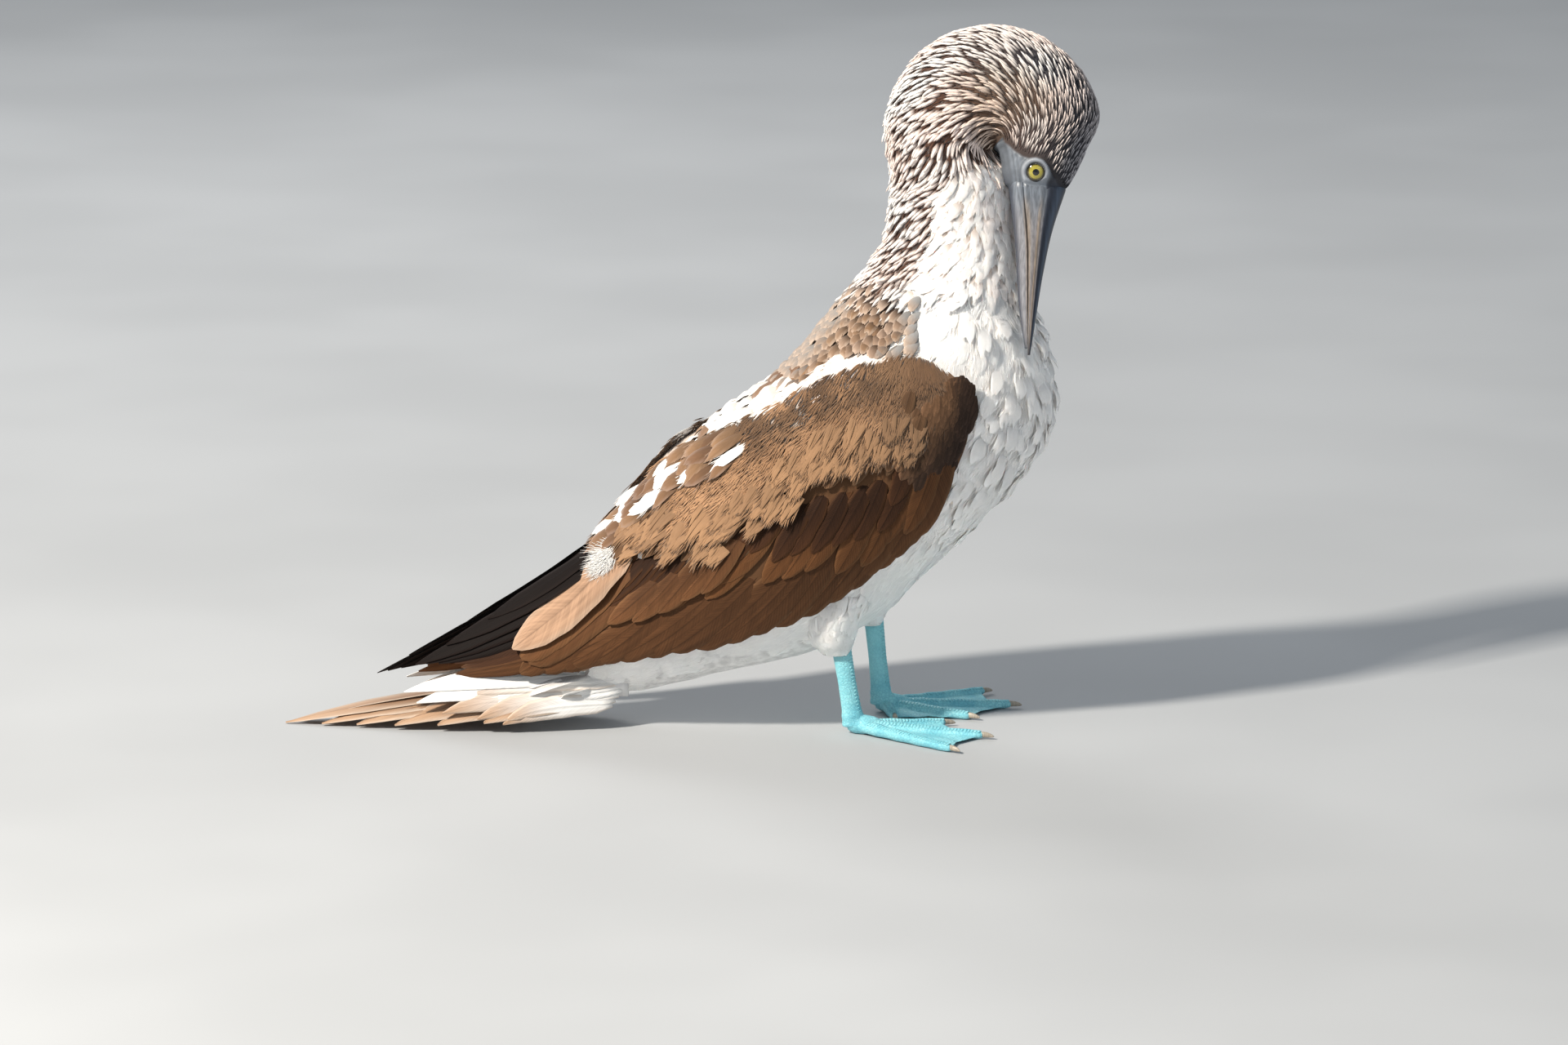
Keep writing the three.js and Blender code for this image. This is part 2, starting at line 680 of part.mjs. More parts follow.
// A vane from a root to a tip, bowed up by a curve, rolled about its length by an angle in degrees.
function tailVane(root, tip, half, { roll = 0, curve = 0, shape = LONG_VANE, thick = TAIL.thick }) {
  const run = tip.clone().sub(root).normalize();
  const level = at(0, 1, 0).addScaledVector(run, -run.y).normalize();
  const up = level.clone().cross(run).normalize();
  if (up.z < 0) up.negate();
  const across = level.clone().applyAxisAngle(run, THREE.MathUtils.degToRad(roll));
  const out = up.clone().applyAxisAngle(run, THREE.MathUtils.degToRad(roll));
  const rows = shape.map(([share, width]) => {
    const middle = root.clone().lerp(tip, share).addScaledVector(up, 4 * curve * share * (1 - share));
    const tipped = share === 1 ? TIP_THICK : thick;
    return COLUMNS.map((column) => {
      const place = middle.clone().addScaledVector(across, half * width * column);
      return sheetPair(place, out, -0.06 * half * column * column, tipped);
    });
  });
  return sheet(rows);
}

function tailSolid(torso) {
  const vanes = [];
  for (const side of [-1, 1]) {
    TAIL_TIPS.forEach(([x, y, z], pair) => {
      const uneven = side * 0.3;
      const root = at(TAIL.core.x + 4, side * (2 + 2.6 * pair), TAIL.core.z + 4 - 2.1 * pair + uneven);
      const tip = at(x + 3 * side, side * y, z + (pair ? uneven : 0));
      vanes.push(tailVane(root, tip, TAIL.half, { roll: -side * 3.2 * pair, curve: 2.4 }));
    });
    for (const { rootZ, tipX, tipZ, spread, half, drop, curve } of TAIL_COVERTS) {
      spread.forEach((y, i) => {
        const root = at(TAIL.core.x + 2, side * y * 0.6, rootZ - drop * i);
        const tip = at(tipX + 11 * i + 3 * side, side * y, tipZ - drop * 1.4 * i);
        const roll = -side * Math.sign(drop) * 7 * i;
        vanes.push(tailVane(root, tip, half, { roll, curve, shape: SHORT_VANE }));
      });
    }
  }
  const core = [[-152, 22, 13], [-176, 19, 10], [-200, 12, 3]].map(([x, wide, deep], i) =>
    Array.from({ length: 12 }, (_, j) => {
      const angle = (2 * Math.PI * j) / 12;
      return at(x, wide * Math.cos(angle), TAIL.core.z - 3 * i + deep * Math.sin(angle));
    }),
  );
  const floor = boxSolid(at(-500, -200, -50), at(300, 200, 0));
  return largest(union([skinOver(core), ...vanes]).subtract(torso).subtract(floor));
}

// The whole bird
const bird = new THREE.Group();
function addNode(name, shape, look) {
  const geometry = shape.isBufferGeometry ? shape : geometryOf(shape);
  const mesh = new THREE.Mesh(geometry, new THREE.MeshStandardMaterial(look));
  mesh.name = name;
  bird.add(mesh);
}

const torso = torsoGrown();
addNode("head", headSolid(), STREAKED);
const neck = solidOf(bodyLoft(HEAD_END + STATION_GAP, NECK_END - STATION_GAP, 16));
const chinGrown = solidOf(mandible(CHIN, LOWER_FULLNESS, GAP));
addNode("neck", largest(neck.subtract(faceGrown()).subtract(chinGrown)), STREAKED);
addNode("torso", bodyLoft(NECK_END + STATION_GAP, LAST_STATION, TORSO_RINGS), WHITE);
addNode("bill_upper", mandible(CULMEN, UPPER_FULLNESS), BILL_GREY);
addNode("bill_lower", mandible(CHIN, LOWER_FULLNESS), BILL_GREY);
addNode("tail", tailSolid(torso), TAIL_BROWN);
for (const [name, foot] of Object.entries(FEET)) {
  addNode(`eye_${name}`, eyeBall(foot.side), IRIS);
  addNode(`wing_${name}`, wingSolid(foot.side, torso), BROWN);
  addNode(`thigh_${name}`, thighSolid(foot, torso), WHITE);
  addNode(`leg_${name}`, tarsusSolid(foot), FOOT_BLUE);
  addNode(`foot_${name}`, footSolid(foot), FOOT_BLUE);
  for (const toe of TOES) {
    addNode(`claw_${name}_${toe.name}`, clawGeometry(foot, toe), CLAW_HORN);
  }
}

const box = new THREE.Box3().setFromObject(bird);
bird.position.set(-(box.min.x + box.max.x) / 2, -(box.min.y + box.max.y) / 2, -box.min.z);

export default bird;
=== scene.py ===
"""A blue-footed booby standing with its bill bowed to its breast, as a life-size model.

The forms are drawn in millimetres from a point on the floor between the ankles, the bird facing +X
with its right side towards -Y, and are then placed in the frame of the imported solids.
"""

from __future__ import annotations

import logging
import math
from dataclasses import dataclass, field
from enum import Enum

import bpy
import numpy as np
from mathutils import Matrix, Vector

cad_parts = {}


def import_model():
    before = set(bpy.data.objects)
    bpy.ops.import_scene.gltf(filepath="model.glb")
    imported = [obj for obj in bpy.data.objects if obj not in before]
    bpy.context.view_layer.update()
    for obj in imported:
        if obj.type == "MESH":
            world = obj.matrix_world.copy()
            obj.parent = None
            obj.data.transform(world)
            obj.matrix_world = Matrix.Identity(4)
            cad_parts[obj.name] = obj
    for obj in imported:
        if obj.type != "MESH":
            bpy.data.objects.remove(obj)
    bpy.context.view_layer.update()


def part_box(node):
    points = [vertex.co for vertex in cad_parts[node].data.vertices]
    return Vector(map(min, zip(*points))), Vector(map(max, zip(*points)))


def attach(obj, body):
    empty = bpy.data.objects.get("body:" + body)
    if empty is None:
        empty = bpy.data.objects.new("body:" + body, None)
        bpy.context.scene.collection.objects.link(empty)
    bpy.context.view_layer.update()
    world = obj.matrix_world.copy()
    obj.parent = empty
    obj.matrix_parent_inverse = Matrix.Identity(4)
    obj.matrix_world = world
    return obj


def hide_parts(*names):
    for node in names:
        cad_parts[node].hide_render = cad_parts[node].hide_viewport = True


log = logging.getLogger("booby")
Array = np.ndarray
BODY = "root"


def smooth(value: Array, low: float, high: float) -> Array:
    """Rises smoothly from 0 at low to 1 at high."""
    t = np.clip((np.asarray(value, float) - low) / (high - low), 0.0, 1.0)
    return t * t * (3.0 - 2.0 * t)


def from_back(b: Array) -> Array:
    """Degrees from the middle of the back, on either side."""
    return np.abs(np.mod(np.degrees(b) + 180, 360) - 180)


def blend(one: Array, other: Array, share: Array) -> Array:
    """Mixes two arrays of rows by a share for each row."""
    share = np.asarray(share, float)[..., None]
    return np.asarray(one) * (1.0 - share) + np.asarray(other) * share


def unit(vectors: Array) -> Array:
    """Scales vectors to length one."""
    return vectors / np.maximum(np.linalg.norm(vectors, axis=-1, keepdims=True), 1e-9)


def paint(red: float, green: float, blue: float) -> Array:
    """A linear colour from display values between 0 and 1."""
    shown = np.array([red, green, blue])
    return np.where(shown <= 0.04045, shown / 12.92, ((shown + 0.055) / 1.055) ** 2.4)


def ripple(x: Array, y: Array, z: Array, scale: float) -> Array:
    """A soft irregular pattern over space, between -1 and 1, the same on skin and coat."""
    a = np.sin(x / scale + 1.7 * np.sin(y / scale * 0.8) + 0.6)
    b = np.sin(y / scale * 1.3 + 1.9 * np.sin(z / scale * 0.7) + 2.1)
    c = np.sin(z / scale * 1.1 + 1.5 * np.sin(x / scale * 0.9) + 4.2)
    return (a + b + c) / 3.0


class Spline:
    """A smooth line through rows of numbers, read at a place counted in rows."""

    def __init__(self, rows: Array, before: float = 0.0) -> None:
        """Keeps the rows with one more beyond each end, and how far before its start it may be read."""
        rows = np.asarray(rows, float)
        self.before = before
        first = 2 * rows[0] - rows[1]
        last = 2 * rows[-1] - rows[-2]
        self.last = len(rows) - 1
        self.rows = np.vstack([first, rows, last])

    def at(self, place: Array) -> Array:
        """Reads the line.

        Args:
            place: Places between 0 and the last row.

        Returns:
            One row of numbers for each place.
        """
        place = np.clip(np.asarray(place, float), -self.before, self.last)
        i = np.clip(np.floor(place).astype(int), 0, self.last - 1)
        t = (place - i)[..., None]
        before, here, there, after = (self.rows[i + k] for k in range(4))
        rise, fall = 0.5 * (there - before), 0.5 * (after - here)
        cubic = 2 * here - 2 * there + rise + fall
        square = -3 * here + 3 * there - 2 * rise - fall
        return here + rise * t + square * t**2 + cubic * t**3


class Surface:
    """A surface read by two numbers, the first running the way that the feathers lie."""

    sign = 1.0

    def at(self, a: Array, b: Array) -> Array:
        """Points of the surface."""
        raise NotImplementedError

    def chart(self, a: Array, b: Array) -> Array:
        """A flat map of the surface, between 0 and 1 each way."""
        raise NotImplementedError

    def frames(self, a: Array, b: Array) -> tuple[Array, Array, Array, Array]:
        """Points, outward directions, and steps along and across the surface."""
        step = 1e-3
        along = (self.at(a + step, b) - self.at(a - step, b)) / (2 * step)
        across = (self.at(a, b + step) - self.at(a, b - step)) / (2 * step)
        out = unit(np.cross(along, across)) * self.sign
        return self.at(a, b), out, along, across

    def walk(self, a: Array, b: Array, lie: Array, ahead: Array, aside: Array) -> tuple[Array, Array]:
        """Moves over the surface.

        Args:
            a: First numbers of the starting points.
            b: Second numbers of the starting points.
            lie: Turn of the way from the first direction, in radians.
            ahead: Millimetres along the way.
            aside: Millimetres to its left, seen from outside.

        Returns:
            The two numbers of the points that are reached.
        """
        _, out, along, across = self.frames(a, b)
        first = unit(along)
        left = np.cross(out, first)
        turn = np.asarray(lie, float)[..., None]
        way = first * np.cos(turn) + left * np.sin(turn)
        side = np.cross(out, way)
        move = way * np.asarray(ahead)[..., None] + side * np.asarray(aside)[..., None]
        e, f, g = (np.sum(p * q, axis=-1) for p, q in ((along, along), (along, across), (across, across)))
        area = np.maximum(e * g - f * f, 1e-6)
        m, n = np.sum(move * along, axis=-1), np.sum(move * across, axis=-1)
        return a + (m * g - n * f) / area, b + (n * e - m * f) / area


@dataclass
class Layout:
    """Places the drawing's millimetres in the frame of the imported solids."""

    tail_end_of_torso: float = -193.0
    shift: Array = field(default_factory=lambda: np.zeros(3))

    def measure(self) -> None:
        """Finds the shift between the drawing and the frame from the torso's box."""
        low, high = (np.array(corner) * 1000.0 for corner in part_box("torso"))
        self.shift = np.array([low[0] - self.tail_end_of_torso, (low[1] + high[1]) / 2, 0.0])

    def place(self, points: Array) -> Array:
        """Turns drawn millimetres into metres in the frame."""
        return (np.asarray(points, float) + self.shift) * 0.001


LAYOUT = Layout()


class BodyForm(Surface):
    """Head, neck and torso as rings round a line that folds over at the throat.

    The first number runs from the face over the head and down the neck to the rump, and the second
    runs round the body in radians from the middle of the back.
    """

    sign = -1.0
    fold = (74.5, 364.5)
    fold_radius = 3.4
    tilt = math.radians(18)
    tilt_height = 395.0
    face = [(120.4, 339, 83.5, 339, 14), (127, 351, 80.5, 346, 19.5), (132.5, 363.5, 78.9, 356, 24)]
    dome = [(18, 28), (42, 30), (66, 31), (90, 32), (112, 33), (134, 34), (156, 35), (174, 35)]
    neck = [
        (10.5, 349, 84.5, 346, 35.5), (9.2, 328.5, 87, 327, 36), (7, 310, 92, 303, 38),
        (-1, 296, 94.5, 283, 43),
    ]
    torso = [
        (-11.2, 283, 99.5, 265, 50), (-26, 264, 109, 246, 57), (-49, 236, 115, 217, 63),
        (-76, 209, 112, 188, 66), (-103, 182, 94.5, 158, 66), (-126, 152, 68, 128, 64),
        (-146, 120, 37, 97, 60), (-163, 95, 6.6, 67, 53), (-177, 75, -34, 46, 45),
        (-186, 60, -85, 34, 36), (-191, 50, -131, 22, 27), (-193, 42, -165, 17, 19),
    ]

    def __init__(self) -> None:
        """Draws the dome of the head and joins all the stations."""
        rows = list(self.face)
        for degrees, width in self.dome:
            angle = math.radians(degrees)
            reach = 66 + 11.5 * math.sin(angle)
            way = np.array([math.cos(angle), math.sin(angle)])
            far = np.array(self.fold) + reach * way
            near = np.array(self.fold) + self.fold_radius * way
            rows.append((*far, *near, width))
        self.head_end = len(self.face) + 2.6
        self.neck_start = len(rows)
        rows += self.neck
        self.torso_start = len(rows)
        rows += self.torso
        self.line = Spline(np.array(rows))
        self.last = self.line.last

    def at(self, a: Array, b: Array, grown: Array | float = 0.0, tilted: bool = True) -> Array:
        """Points of the body.

        Args:
            a: Places from the face to the rump.
            b: Angles from the middle of the back, in radians.
            grown: Millimetres outside the drawn rings.
            tilted: Whether the head leans to the right as it does on the bird.

        Returns:
            Points in drawn millimetres.
        """
        a, b = np.broadcast_arrays(np.asarray(a, float), np.asarray(b, float))
        row = self.line.at(a)
        back, front, width = row[..., 0:2], row[..., 2:4], row[..., 4]
        middle, half = (back + front) / 2, (back - front) / 2
        size = np.linalg.norm(half, axis=-1)
        half = half * ((size + grown) / np.maximum(size, 1e-6))[..., None]
        flat = middle + half * np.cos(b)[..., None]
        y = (width + grown) * np.sin(b)
        if not tilted:
            return np.stack([flat[..., 0], y, flat[..., 1]], axis=-1)
        lean = self.tilt * (1 - smooth(a, len(self.face) + 1, len(self.face) + len(self.dome)))
        height = flat[..., 1] - self.tilt_height
        return np.stack([
            flat[..., 0],
            y * np.cos(lean) + height * np.sin(lean),
            height * np.cos(lean) - y * np.sin(lean) + self.tilt_height,
        ], axis=-1)

    def chart(self, a: Array, b: Array) -> Array:
        """A flat map of the body."""
        return np.stack([a / self.last, np.mod(b / (2 * np.pi) + 0.5, 1.0)], axis=-1)


BODY_FORM = BodyForm()


class Side(Enum):
    """Left and right, with the sign of Y on each."""

    LEFT = 1
    RIGHT = -1

    @property
    def label(self) -> str:
        """The word used in node names."""
        return self.name.lower()


class WingForm(Surface):
    """The outer surface of a folded wing, from shoulder to tip and from top edge to bottom edge."""

    stations = [
        (44, 64, 236, 61, 63, 208, 3), (30, 63, 245, 57, 62, 187, 8), (4, 60, 241, 42, 61, 150, 13),
        (-29, 50, 227, 20, 57, 121, 19), (-70, 40, 204, -10, 57, 101, 23), (-100, 30, 188, -44, 56, 79, 24),
        (-128, 22, 170, -85, 52, 64, 22), (-149, 15, 144, -126, 45, 54, 18), (-169, 11, 121, -167, 37, 47, 14),
        (-192, 8, 101, -192, 32, 41, 10), (-219, 6, 82, -223, 26, 33, 7), (-258, 5, 59, -259, 19, 28, 4),
        (-311, 5, 31, -312, 11, 23, 2),
    ]
    lies = [88, 84, 79, 72, 65, 58, 52, 46, 40, 35, 31, 29, 29]
    depths = [12, 18, 22, 24, 24, 24, 24, 22, 16, 8, 4, 2.4, 1.6]

    def __init__(self, side: Side) -> None:
        """Keeps the side and the lines of the wing."""
        self.side = side
        self.sign = -float(side.value)
        self.line = Spline(np.array(self.stations, float), 0.6)
        self.last = self.line.last

    def at(self, a: Array, b: Array) -> Array:
        """Points of the outer surface."""
        a, b = np.broadcast_arrays(np.asarray(a, float), np.asarray(b, float))
        row = self.line.at(a)
        point = blend(row[..., 0:3], row[..., 3:6], b)
        point[..., 1] += row[..., 6] * 4 * b * (1 - b)
        point[..., 1] *= self.side.value
        return point

    def chart(self, a: Array, b: Array) -> Array:
        """A flat map of the wing."""
        return np.stack([a / self.last * 0.96 + 0.02, np.clip(b, -0.1, 1.1) * 0.8 + 0.1], axis=-1)

    def core_height(self, a: Array, b: Array) -> Array:
        """How far the flesh lies under the outer surface, as a negative height."""
        begun = smooth(a, 1, 3)
        thinned = 1 - 0.6 * smooth(a, 8, 11)
        return -(0.4 + 5.4 * smooth(b, 0.08, 0.42) - 3 * smooth(b, 0.45, 1)) * begun * thinned

    def way(self, a: Array, b: Array, turn: Array | float = 0.0) -> Array:
        """The turn from the wing's length to the lie of the feathers, in radians.

        Args:
            a: Places from shoulder to tip.
            b: Places from top to bottom.
            turn: Degrees more, steeper.

        Returns:
            The turn, left seen from outside.
        """
        spots = np.clip(np.asarray(a, float), 0, self.last)
        slope = np.radians(np.interp(spots, range(len(self.lies)), self.lies) + turn)
        return self.way_to(a, b, np.stack([-np.cos(slope), np.zeros_like(slope), -np.sin(slope)], axis=-1))

    def way_to(self, a: Array, b: Array, wanted: Array) -> Array:
        """The turn from the wing's length to a direction in space, in radians."""
        _, out, along, _ = self.frames(a, b)
        wanted = unit(wanted - out * np.sum(wanted * out, axis=-1, keepdims=True))
        first = unit(along)
        left = np.cross(out, first)
        return np.arctan2(np.sum(wanted * left, axis=-1), np.sum(wanted * first, axis=-1))


class ThighForm(Surface):
    """The feathered thigh over an ankle, from inside the belly down."""

    def __init__(self, side: Side, top_x: float, y: float, top_z: float) -> None:
        """Draws the line of the thigh from its lower end's place."""
        self.side = side
        self.line = Spline(np.array([
            (top_x + 6, y * 0.8, top_z + 50, 26), (top_x - 3, y, top_z + 26, 22),
            (top_x - 6, y * 1.05, top_z + 14, 18.5), (top_x - 5, y * 1.04, top_z + 3, 14),
            (top_x - 2, y, top_z - 6, 8),
        ]))
        self.last = self.line.last

    def at(self, a: Array, b: Array) -> Array:
        """Points of the thigh."""
        a, b = np.broadcast_arrays(np.asarray(a, float), np.asarray(b, float))
        row = self.line.at(a)
        reach = row[..., 3]
        return np.stack([
            row[..., 0] + reach * np.cos(b), row[..., 1] + 0.8 * reach * np.sin(b), row[..., 2],
        ], axis=-1)

    def chart(self, a: Array, b: Array) -> Array:
        """A flat map of the thigh."""
        return np.stack([a / self.last * 0.9 + 0.05, np.mod(b / (2 * np.pi), 1.0)], axis=-1)


def keep_tints(made: bpy.types.Object, tints: Array) -> None:
    """Keeps the painted colours of a mesh's points, as a colour attribute."""
    keep_attribute(made, "tint", np.hstack([tints, np.ones((len(tints), 1))]))


def mesh_object(name: str, points: Array, faces: Array, is_placed: bool = False) -> bpy.types.Object:
    """Makes an object from arrays.

    Args:
        name: The object's name.
        points: Rows of drawn millimetres, or metres in the frame where is_placed.
        faces: Rows of three or four point numbers.
        is_placed: Whether the points are already in the frame.

    Returns:
        The object, smooth shaded, with its faces outwards.
    """
    places = points if is_placed else LAYOUT.place(points)
    faces = np.asarray(faces, np.int32)
    first, second, third = (places[faces[:, k]] for k in range(3))
    volume = np.sum(first * np.cross(second, third))
    if faces.shape[1] == 4:
        volume += np.sum(first * np.cross(third, places[faces[:, 3]]))
    if volume < 0:
        faces = faces[:, ::-1]
    mesh = bpy.data.meshes.new(name)
    mesh.vertices.add(len(places))
    mesh.vertices.foreach_set("co", np.ascontiguousarray(places, np.float32).ravel())
    mesh.loops.add(faces.size)
    mesh.loops.foreach_set("vertex_index", np.ascontiguousarray(faces).ravel())
    mesh.polygons.add(len(faces))
    mesh.polygons.foreach_set("loop_start", np.arange(0, faces.size, faces.shape[1], dtype=np.int32))
    mesh.update(calc_edges=True)
    mesh.validate()
    mesh.shade_smooth()
    made = bpy.data.objects.new(name, mesh)
    bpy.context.collection.objects.link(made)
    return made


def keep_attribute(made: bpy.types.Object, name: str, values: Array) -> None:
    """Stores one number, three numbers or a colour for each point of an object."""
    values = np.asarray(values, np.float32)
    if values.ndim == 1:
        kind, key = "FLOAT", "value"
    elif values.shape[1] == 4:
        kind, key = "FLOAT_COLOR", "color"
    else:
        kind, key = "FLOAT_VECTOR", "vector"
    stored = made.data.attributes.new(name, kind, "POINT")
    stored.data.foreach_set(key, np.ascontiguousarray(values).ravel())


def keep_map(made: bpy.types.Object, spots: Array) -> None:
    """Stores a flat map, from one spot for each point."""
    corners = np.empty(len(made.data.loops), np.int32)
    made.data.loops.foreach_get("vertex_index", corners)
    layer = made.data.uv_layers.new(name="OFBake")
    layer.data.foreach_set("uv", np.ascontiguousarray(spots[corners], np.float32).ravel())


def grid_faces(rows: int, columns: int, is_ring: bool) -> Array:
    """Four-sided faces of a grid of points, closed round where it is a ring."""
    i, j = np.meshgrid(np.arange(rows - 1), np.arange(columns if is_ring else columns - 1), indexing="ij")
    following = (j + 1) % columns
    return np.stack([
        i * columns + j, i * columns + following, (i + 1) * columns + following, (i + 1) * columns + j,
    ], axis=-1).reshape(-1, 4)


def capped_tube(points: Array) -> tuple[Array, Array]:
    """Closes rings of points into one skin of triangles.

    Args:
        points: Rings of points, rows by columns by three.

    Returns:
        The points and the faces.
    """
    rows, columns, _ = points.shape
    quads = grid_faces(rows, columns, True)
    faces = [quads[:, [0, 1, 2]], quads[:, [0, 2, 3]]]
    flat = points.reshape(-1, 3)
    ends = np.stack([points[0].mean(axis=0), points[-1].mean(axis=0)])
    ring = np.arange(columns)
    following = (ring + 1) % columns
    base = (rows - 1) * columns
    faces.append(np.stack([np.full(columns, len(flat)), following, ring], axis=-1))
    faces.append(np.stack([np.full(columns, len(flat) + 1), base + ring, base + following], axis=-1))
    return np.vstack([flat, ends]), np.vstack(faces)


@dataclass
class Coat:
    """Feathers gathered as arrays until they are made one mesh."""

    points: list[Array] = field(default_factory=list)
    faces: list[Array] = field(default_factory=list)
    tints: list[Array] = field(default_factory=list)
    strands: list[Array] = field(default_factory=list)
    spots: list[Array] = field(default_factory=list)
    outs: list[Array] = field(default_factory=list)
    softness: float = 0.0
    upward: float = 0.0
    count: int = 0

    def add(self, points: Array, faces: Array, tints: Array, strands: Array, spots: Array,
            outs: Array | None = None) -> None:
        """Adds a batch of like feathers.

        Args:
            points: Feathers by points by three, in drawn millimetres.
            faces: Triangles of one feather.
            tints: Feathers by points by three, linear colours.
            strands: Feathers by points by three: share of the length, place across, and a random draw.
            spots: Feathers by points by two, on the flat map.
            outs: Feathers by points by three, the way out of what they grow on.
        """
        feathers, per, _ = points.shape
        if self.softness:
            self.outs.append(np.asarray(outs).reshape(-1, 3))
        first, second, third = (points[:, faces[:, k]] for k in range(3))
        if np.sum((first - points[:, :1]) * np.cross(second - points[:, :1], third - points[:, :1])) < 0:
            faces = faces[:, ::-1]
        offsets = self.count + per * np.arange(feathers)
        self.faces.append((faces[None] + offsets[:, None, None]).reshape(-1, 3))
        self.points.append(points.reshape(-1, 3))
        self.tints.append(tints.reshape(-1, 3))
        self.strands.append(strands.reshape(-1, 3))
        self.spots.append(spots.reshape(-1, 2))
        self.count += feathers * per

    def build(self, name: str, material: bpy.types.Material) -> bpy.types.Object:
        """Makes the mesh with its colours and its map, in its material."""
        made = mesh_object(name, np.vstack(self.points), np.vstack(self.faces))
        tints = np.vstack(self.tints)
        keep_tints(made, tints)
        keep_attribute(made, "strand", np.vstack(self.strands))
        keep_map(made, np.vstack(self.spots))
        if self.softness:
            own = np.empty(len(tints) * 3, np.float32)
            made.data.vertex_normals.foreach_get("vector", own)
            own = own.reshape(-1, 3)
            outs = unit(np.vstack(self.outs) + self.upward * np.array([0.0, 0.0, 1.0]))
            share = self.softness * smooth(np.sum(own * outs, axis=1), -0.6, -0.2)
            keep_attribute(made, "custom_normal", unit(blend(own, outs, share)))
        made.data.materials.append(material)
        log.info("%s: %d triangles", name, len(made.data.polygons))
        return made


@dataclass(frozen=True)
class BladeShape:
    """The outline of a small feather: share of the length and share of the width at each row."""

    rows: tuple[tuple[float, float], ...]
    thickness: float = 0.22
    crown: float = 0.12

    def faces(self) -> Array:
        """Triangles of one blade, whose points are its root, rows of three, and its tip."""
        rows = len(self.rows)
        tip = 1 + 3 * rows
        made = [(0, 1, 2), (0, 2, 3), (0, 3, 1)]
        for r in range(rows - 1):
            for one, other in ((1, 2), (2, 3), (3, 1)):
                a, b = 3 * r + one, 3 * r + other
                made += [(a, a + 3, b + 3), (a, b + 3, b)]
        a = tip - 3
        made += [(a, tip, a + 1), (a + 1, tip, a + 2), (a + 2, tip, a)]
        return np.array(made)


HAIR = BladeShape(((0.35, 1.0), (0.72, 0.72)))
TUFT = BladeShape(((0.2, 0.8), (0.52, 1.0), (0.82, 0.6)), 0.3, 0.42)


@dataclass
class Tuft:
    """Sizes and colours of a batch of blades, one row for each."""

    a: Array
    b: Array
    lie: Array
    length: Array
    half: Array
    lift: Array
    sunk: Array
    base: Array
    tip: Array
    turning: tuple[Array | float, Array | float] = (0.3, 0.75)
    curl: Array | float = 0.0


def grow(surface: Surface, tuft: Tuft, shape: BladeShape, coat: Coat, rng: np.random.Generator) -> None:
    """Grows blades over a surface and adds them to a coat.

    Args:
        surface: What the blades grow on.
        tuft: Their places, sizes and colours.
        shape: Their outline.
        coat: Where they are kept.
        rng: The seeded source of chance.
    """
    shares = [0.0, *(share for share, _ in shape.rows), 1.0]
    widths = [0.0, *(width for _, width in shape.rows), 0.0]
    a, b = tuft.a, tuft.b
    centres, outs = [], []
    for i, share in enumerate(shares):
        if i:
            ahead = tuft.length * (share - shares[i - 1])
            a, b = surface.walk(a, b, tuft.lie, ahead, np.zeros_like(ahead))
        point, out, _, _ = surface.frames(a, b)
        height = -tuft.sunk * (1 - share) ** 2 + tuft.lift * share + tuft.curl * share**3
        centres.append(point + out * height[:, None])
        outs.append(out)
    points, side, ways = [centres[0]], [0.0], [outs[0]]
    for i in range(1, len(shares) - 1):
        way = unit(centres[i + 1] - centres[i - 1])
        across = unit(np.cross(outs[i], way)) * (tuft.half * widths[i])[:, None]
        crown = outs[i] * (shape.thickness + shape.crown * tuft.half * widths[i])[:, None]
        points += [centres[i] - across, centres[i] + crown, centres[i] + across]
        side += [-1.0, 0.0, 1.0]
        ways += [outs[i]] * 3
    points.append(centres[-1])
    ways.append(outs[-1])
    side.append(0.0)
    count = len(tuft.length)
    share = np.array([shares[0]] + [s for s in shares[1:-1] for _ in range(3)] + [shares[-1]])
    low, high = (np.broadcast_to(edge, count)[:, None] for edge in tuft.turning)
    mix = smooth((share[None] - low) / (high - low), 0.0, 1.0)[..., None]
    tints = tuft.base[:, None] * (1 - mix) + tuft.tip[:, None] * mix
    chance = np.repeat(rng.random(count)[:, None], len(share), axis=1)
    strands = np.stack([
        np.broadcast_to(share, (count, len(share))), np.broadcast_to(side, (count, len(share))), chance,
    ], axis=-1)
    patch = np.stack([share - 0.5, np.array(side) * 0.5], axis=-1) * 0.003
    spots = surface.chart(tuft.a, tuft.b)[:, None] + patch[None]
    coat.add(np.stack(points, axis=1), shape.faces(), tints, strands, spots, np.stack(ways, axis=1))


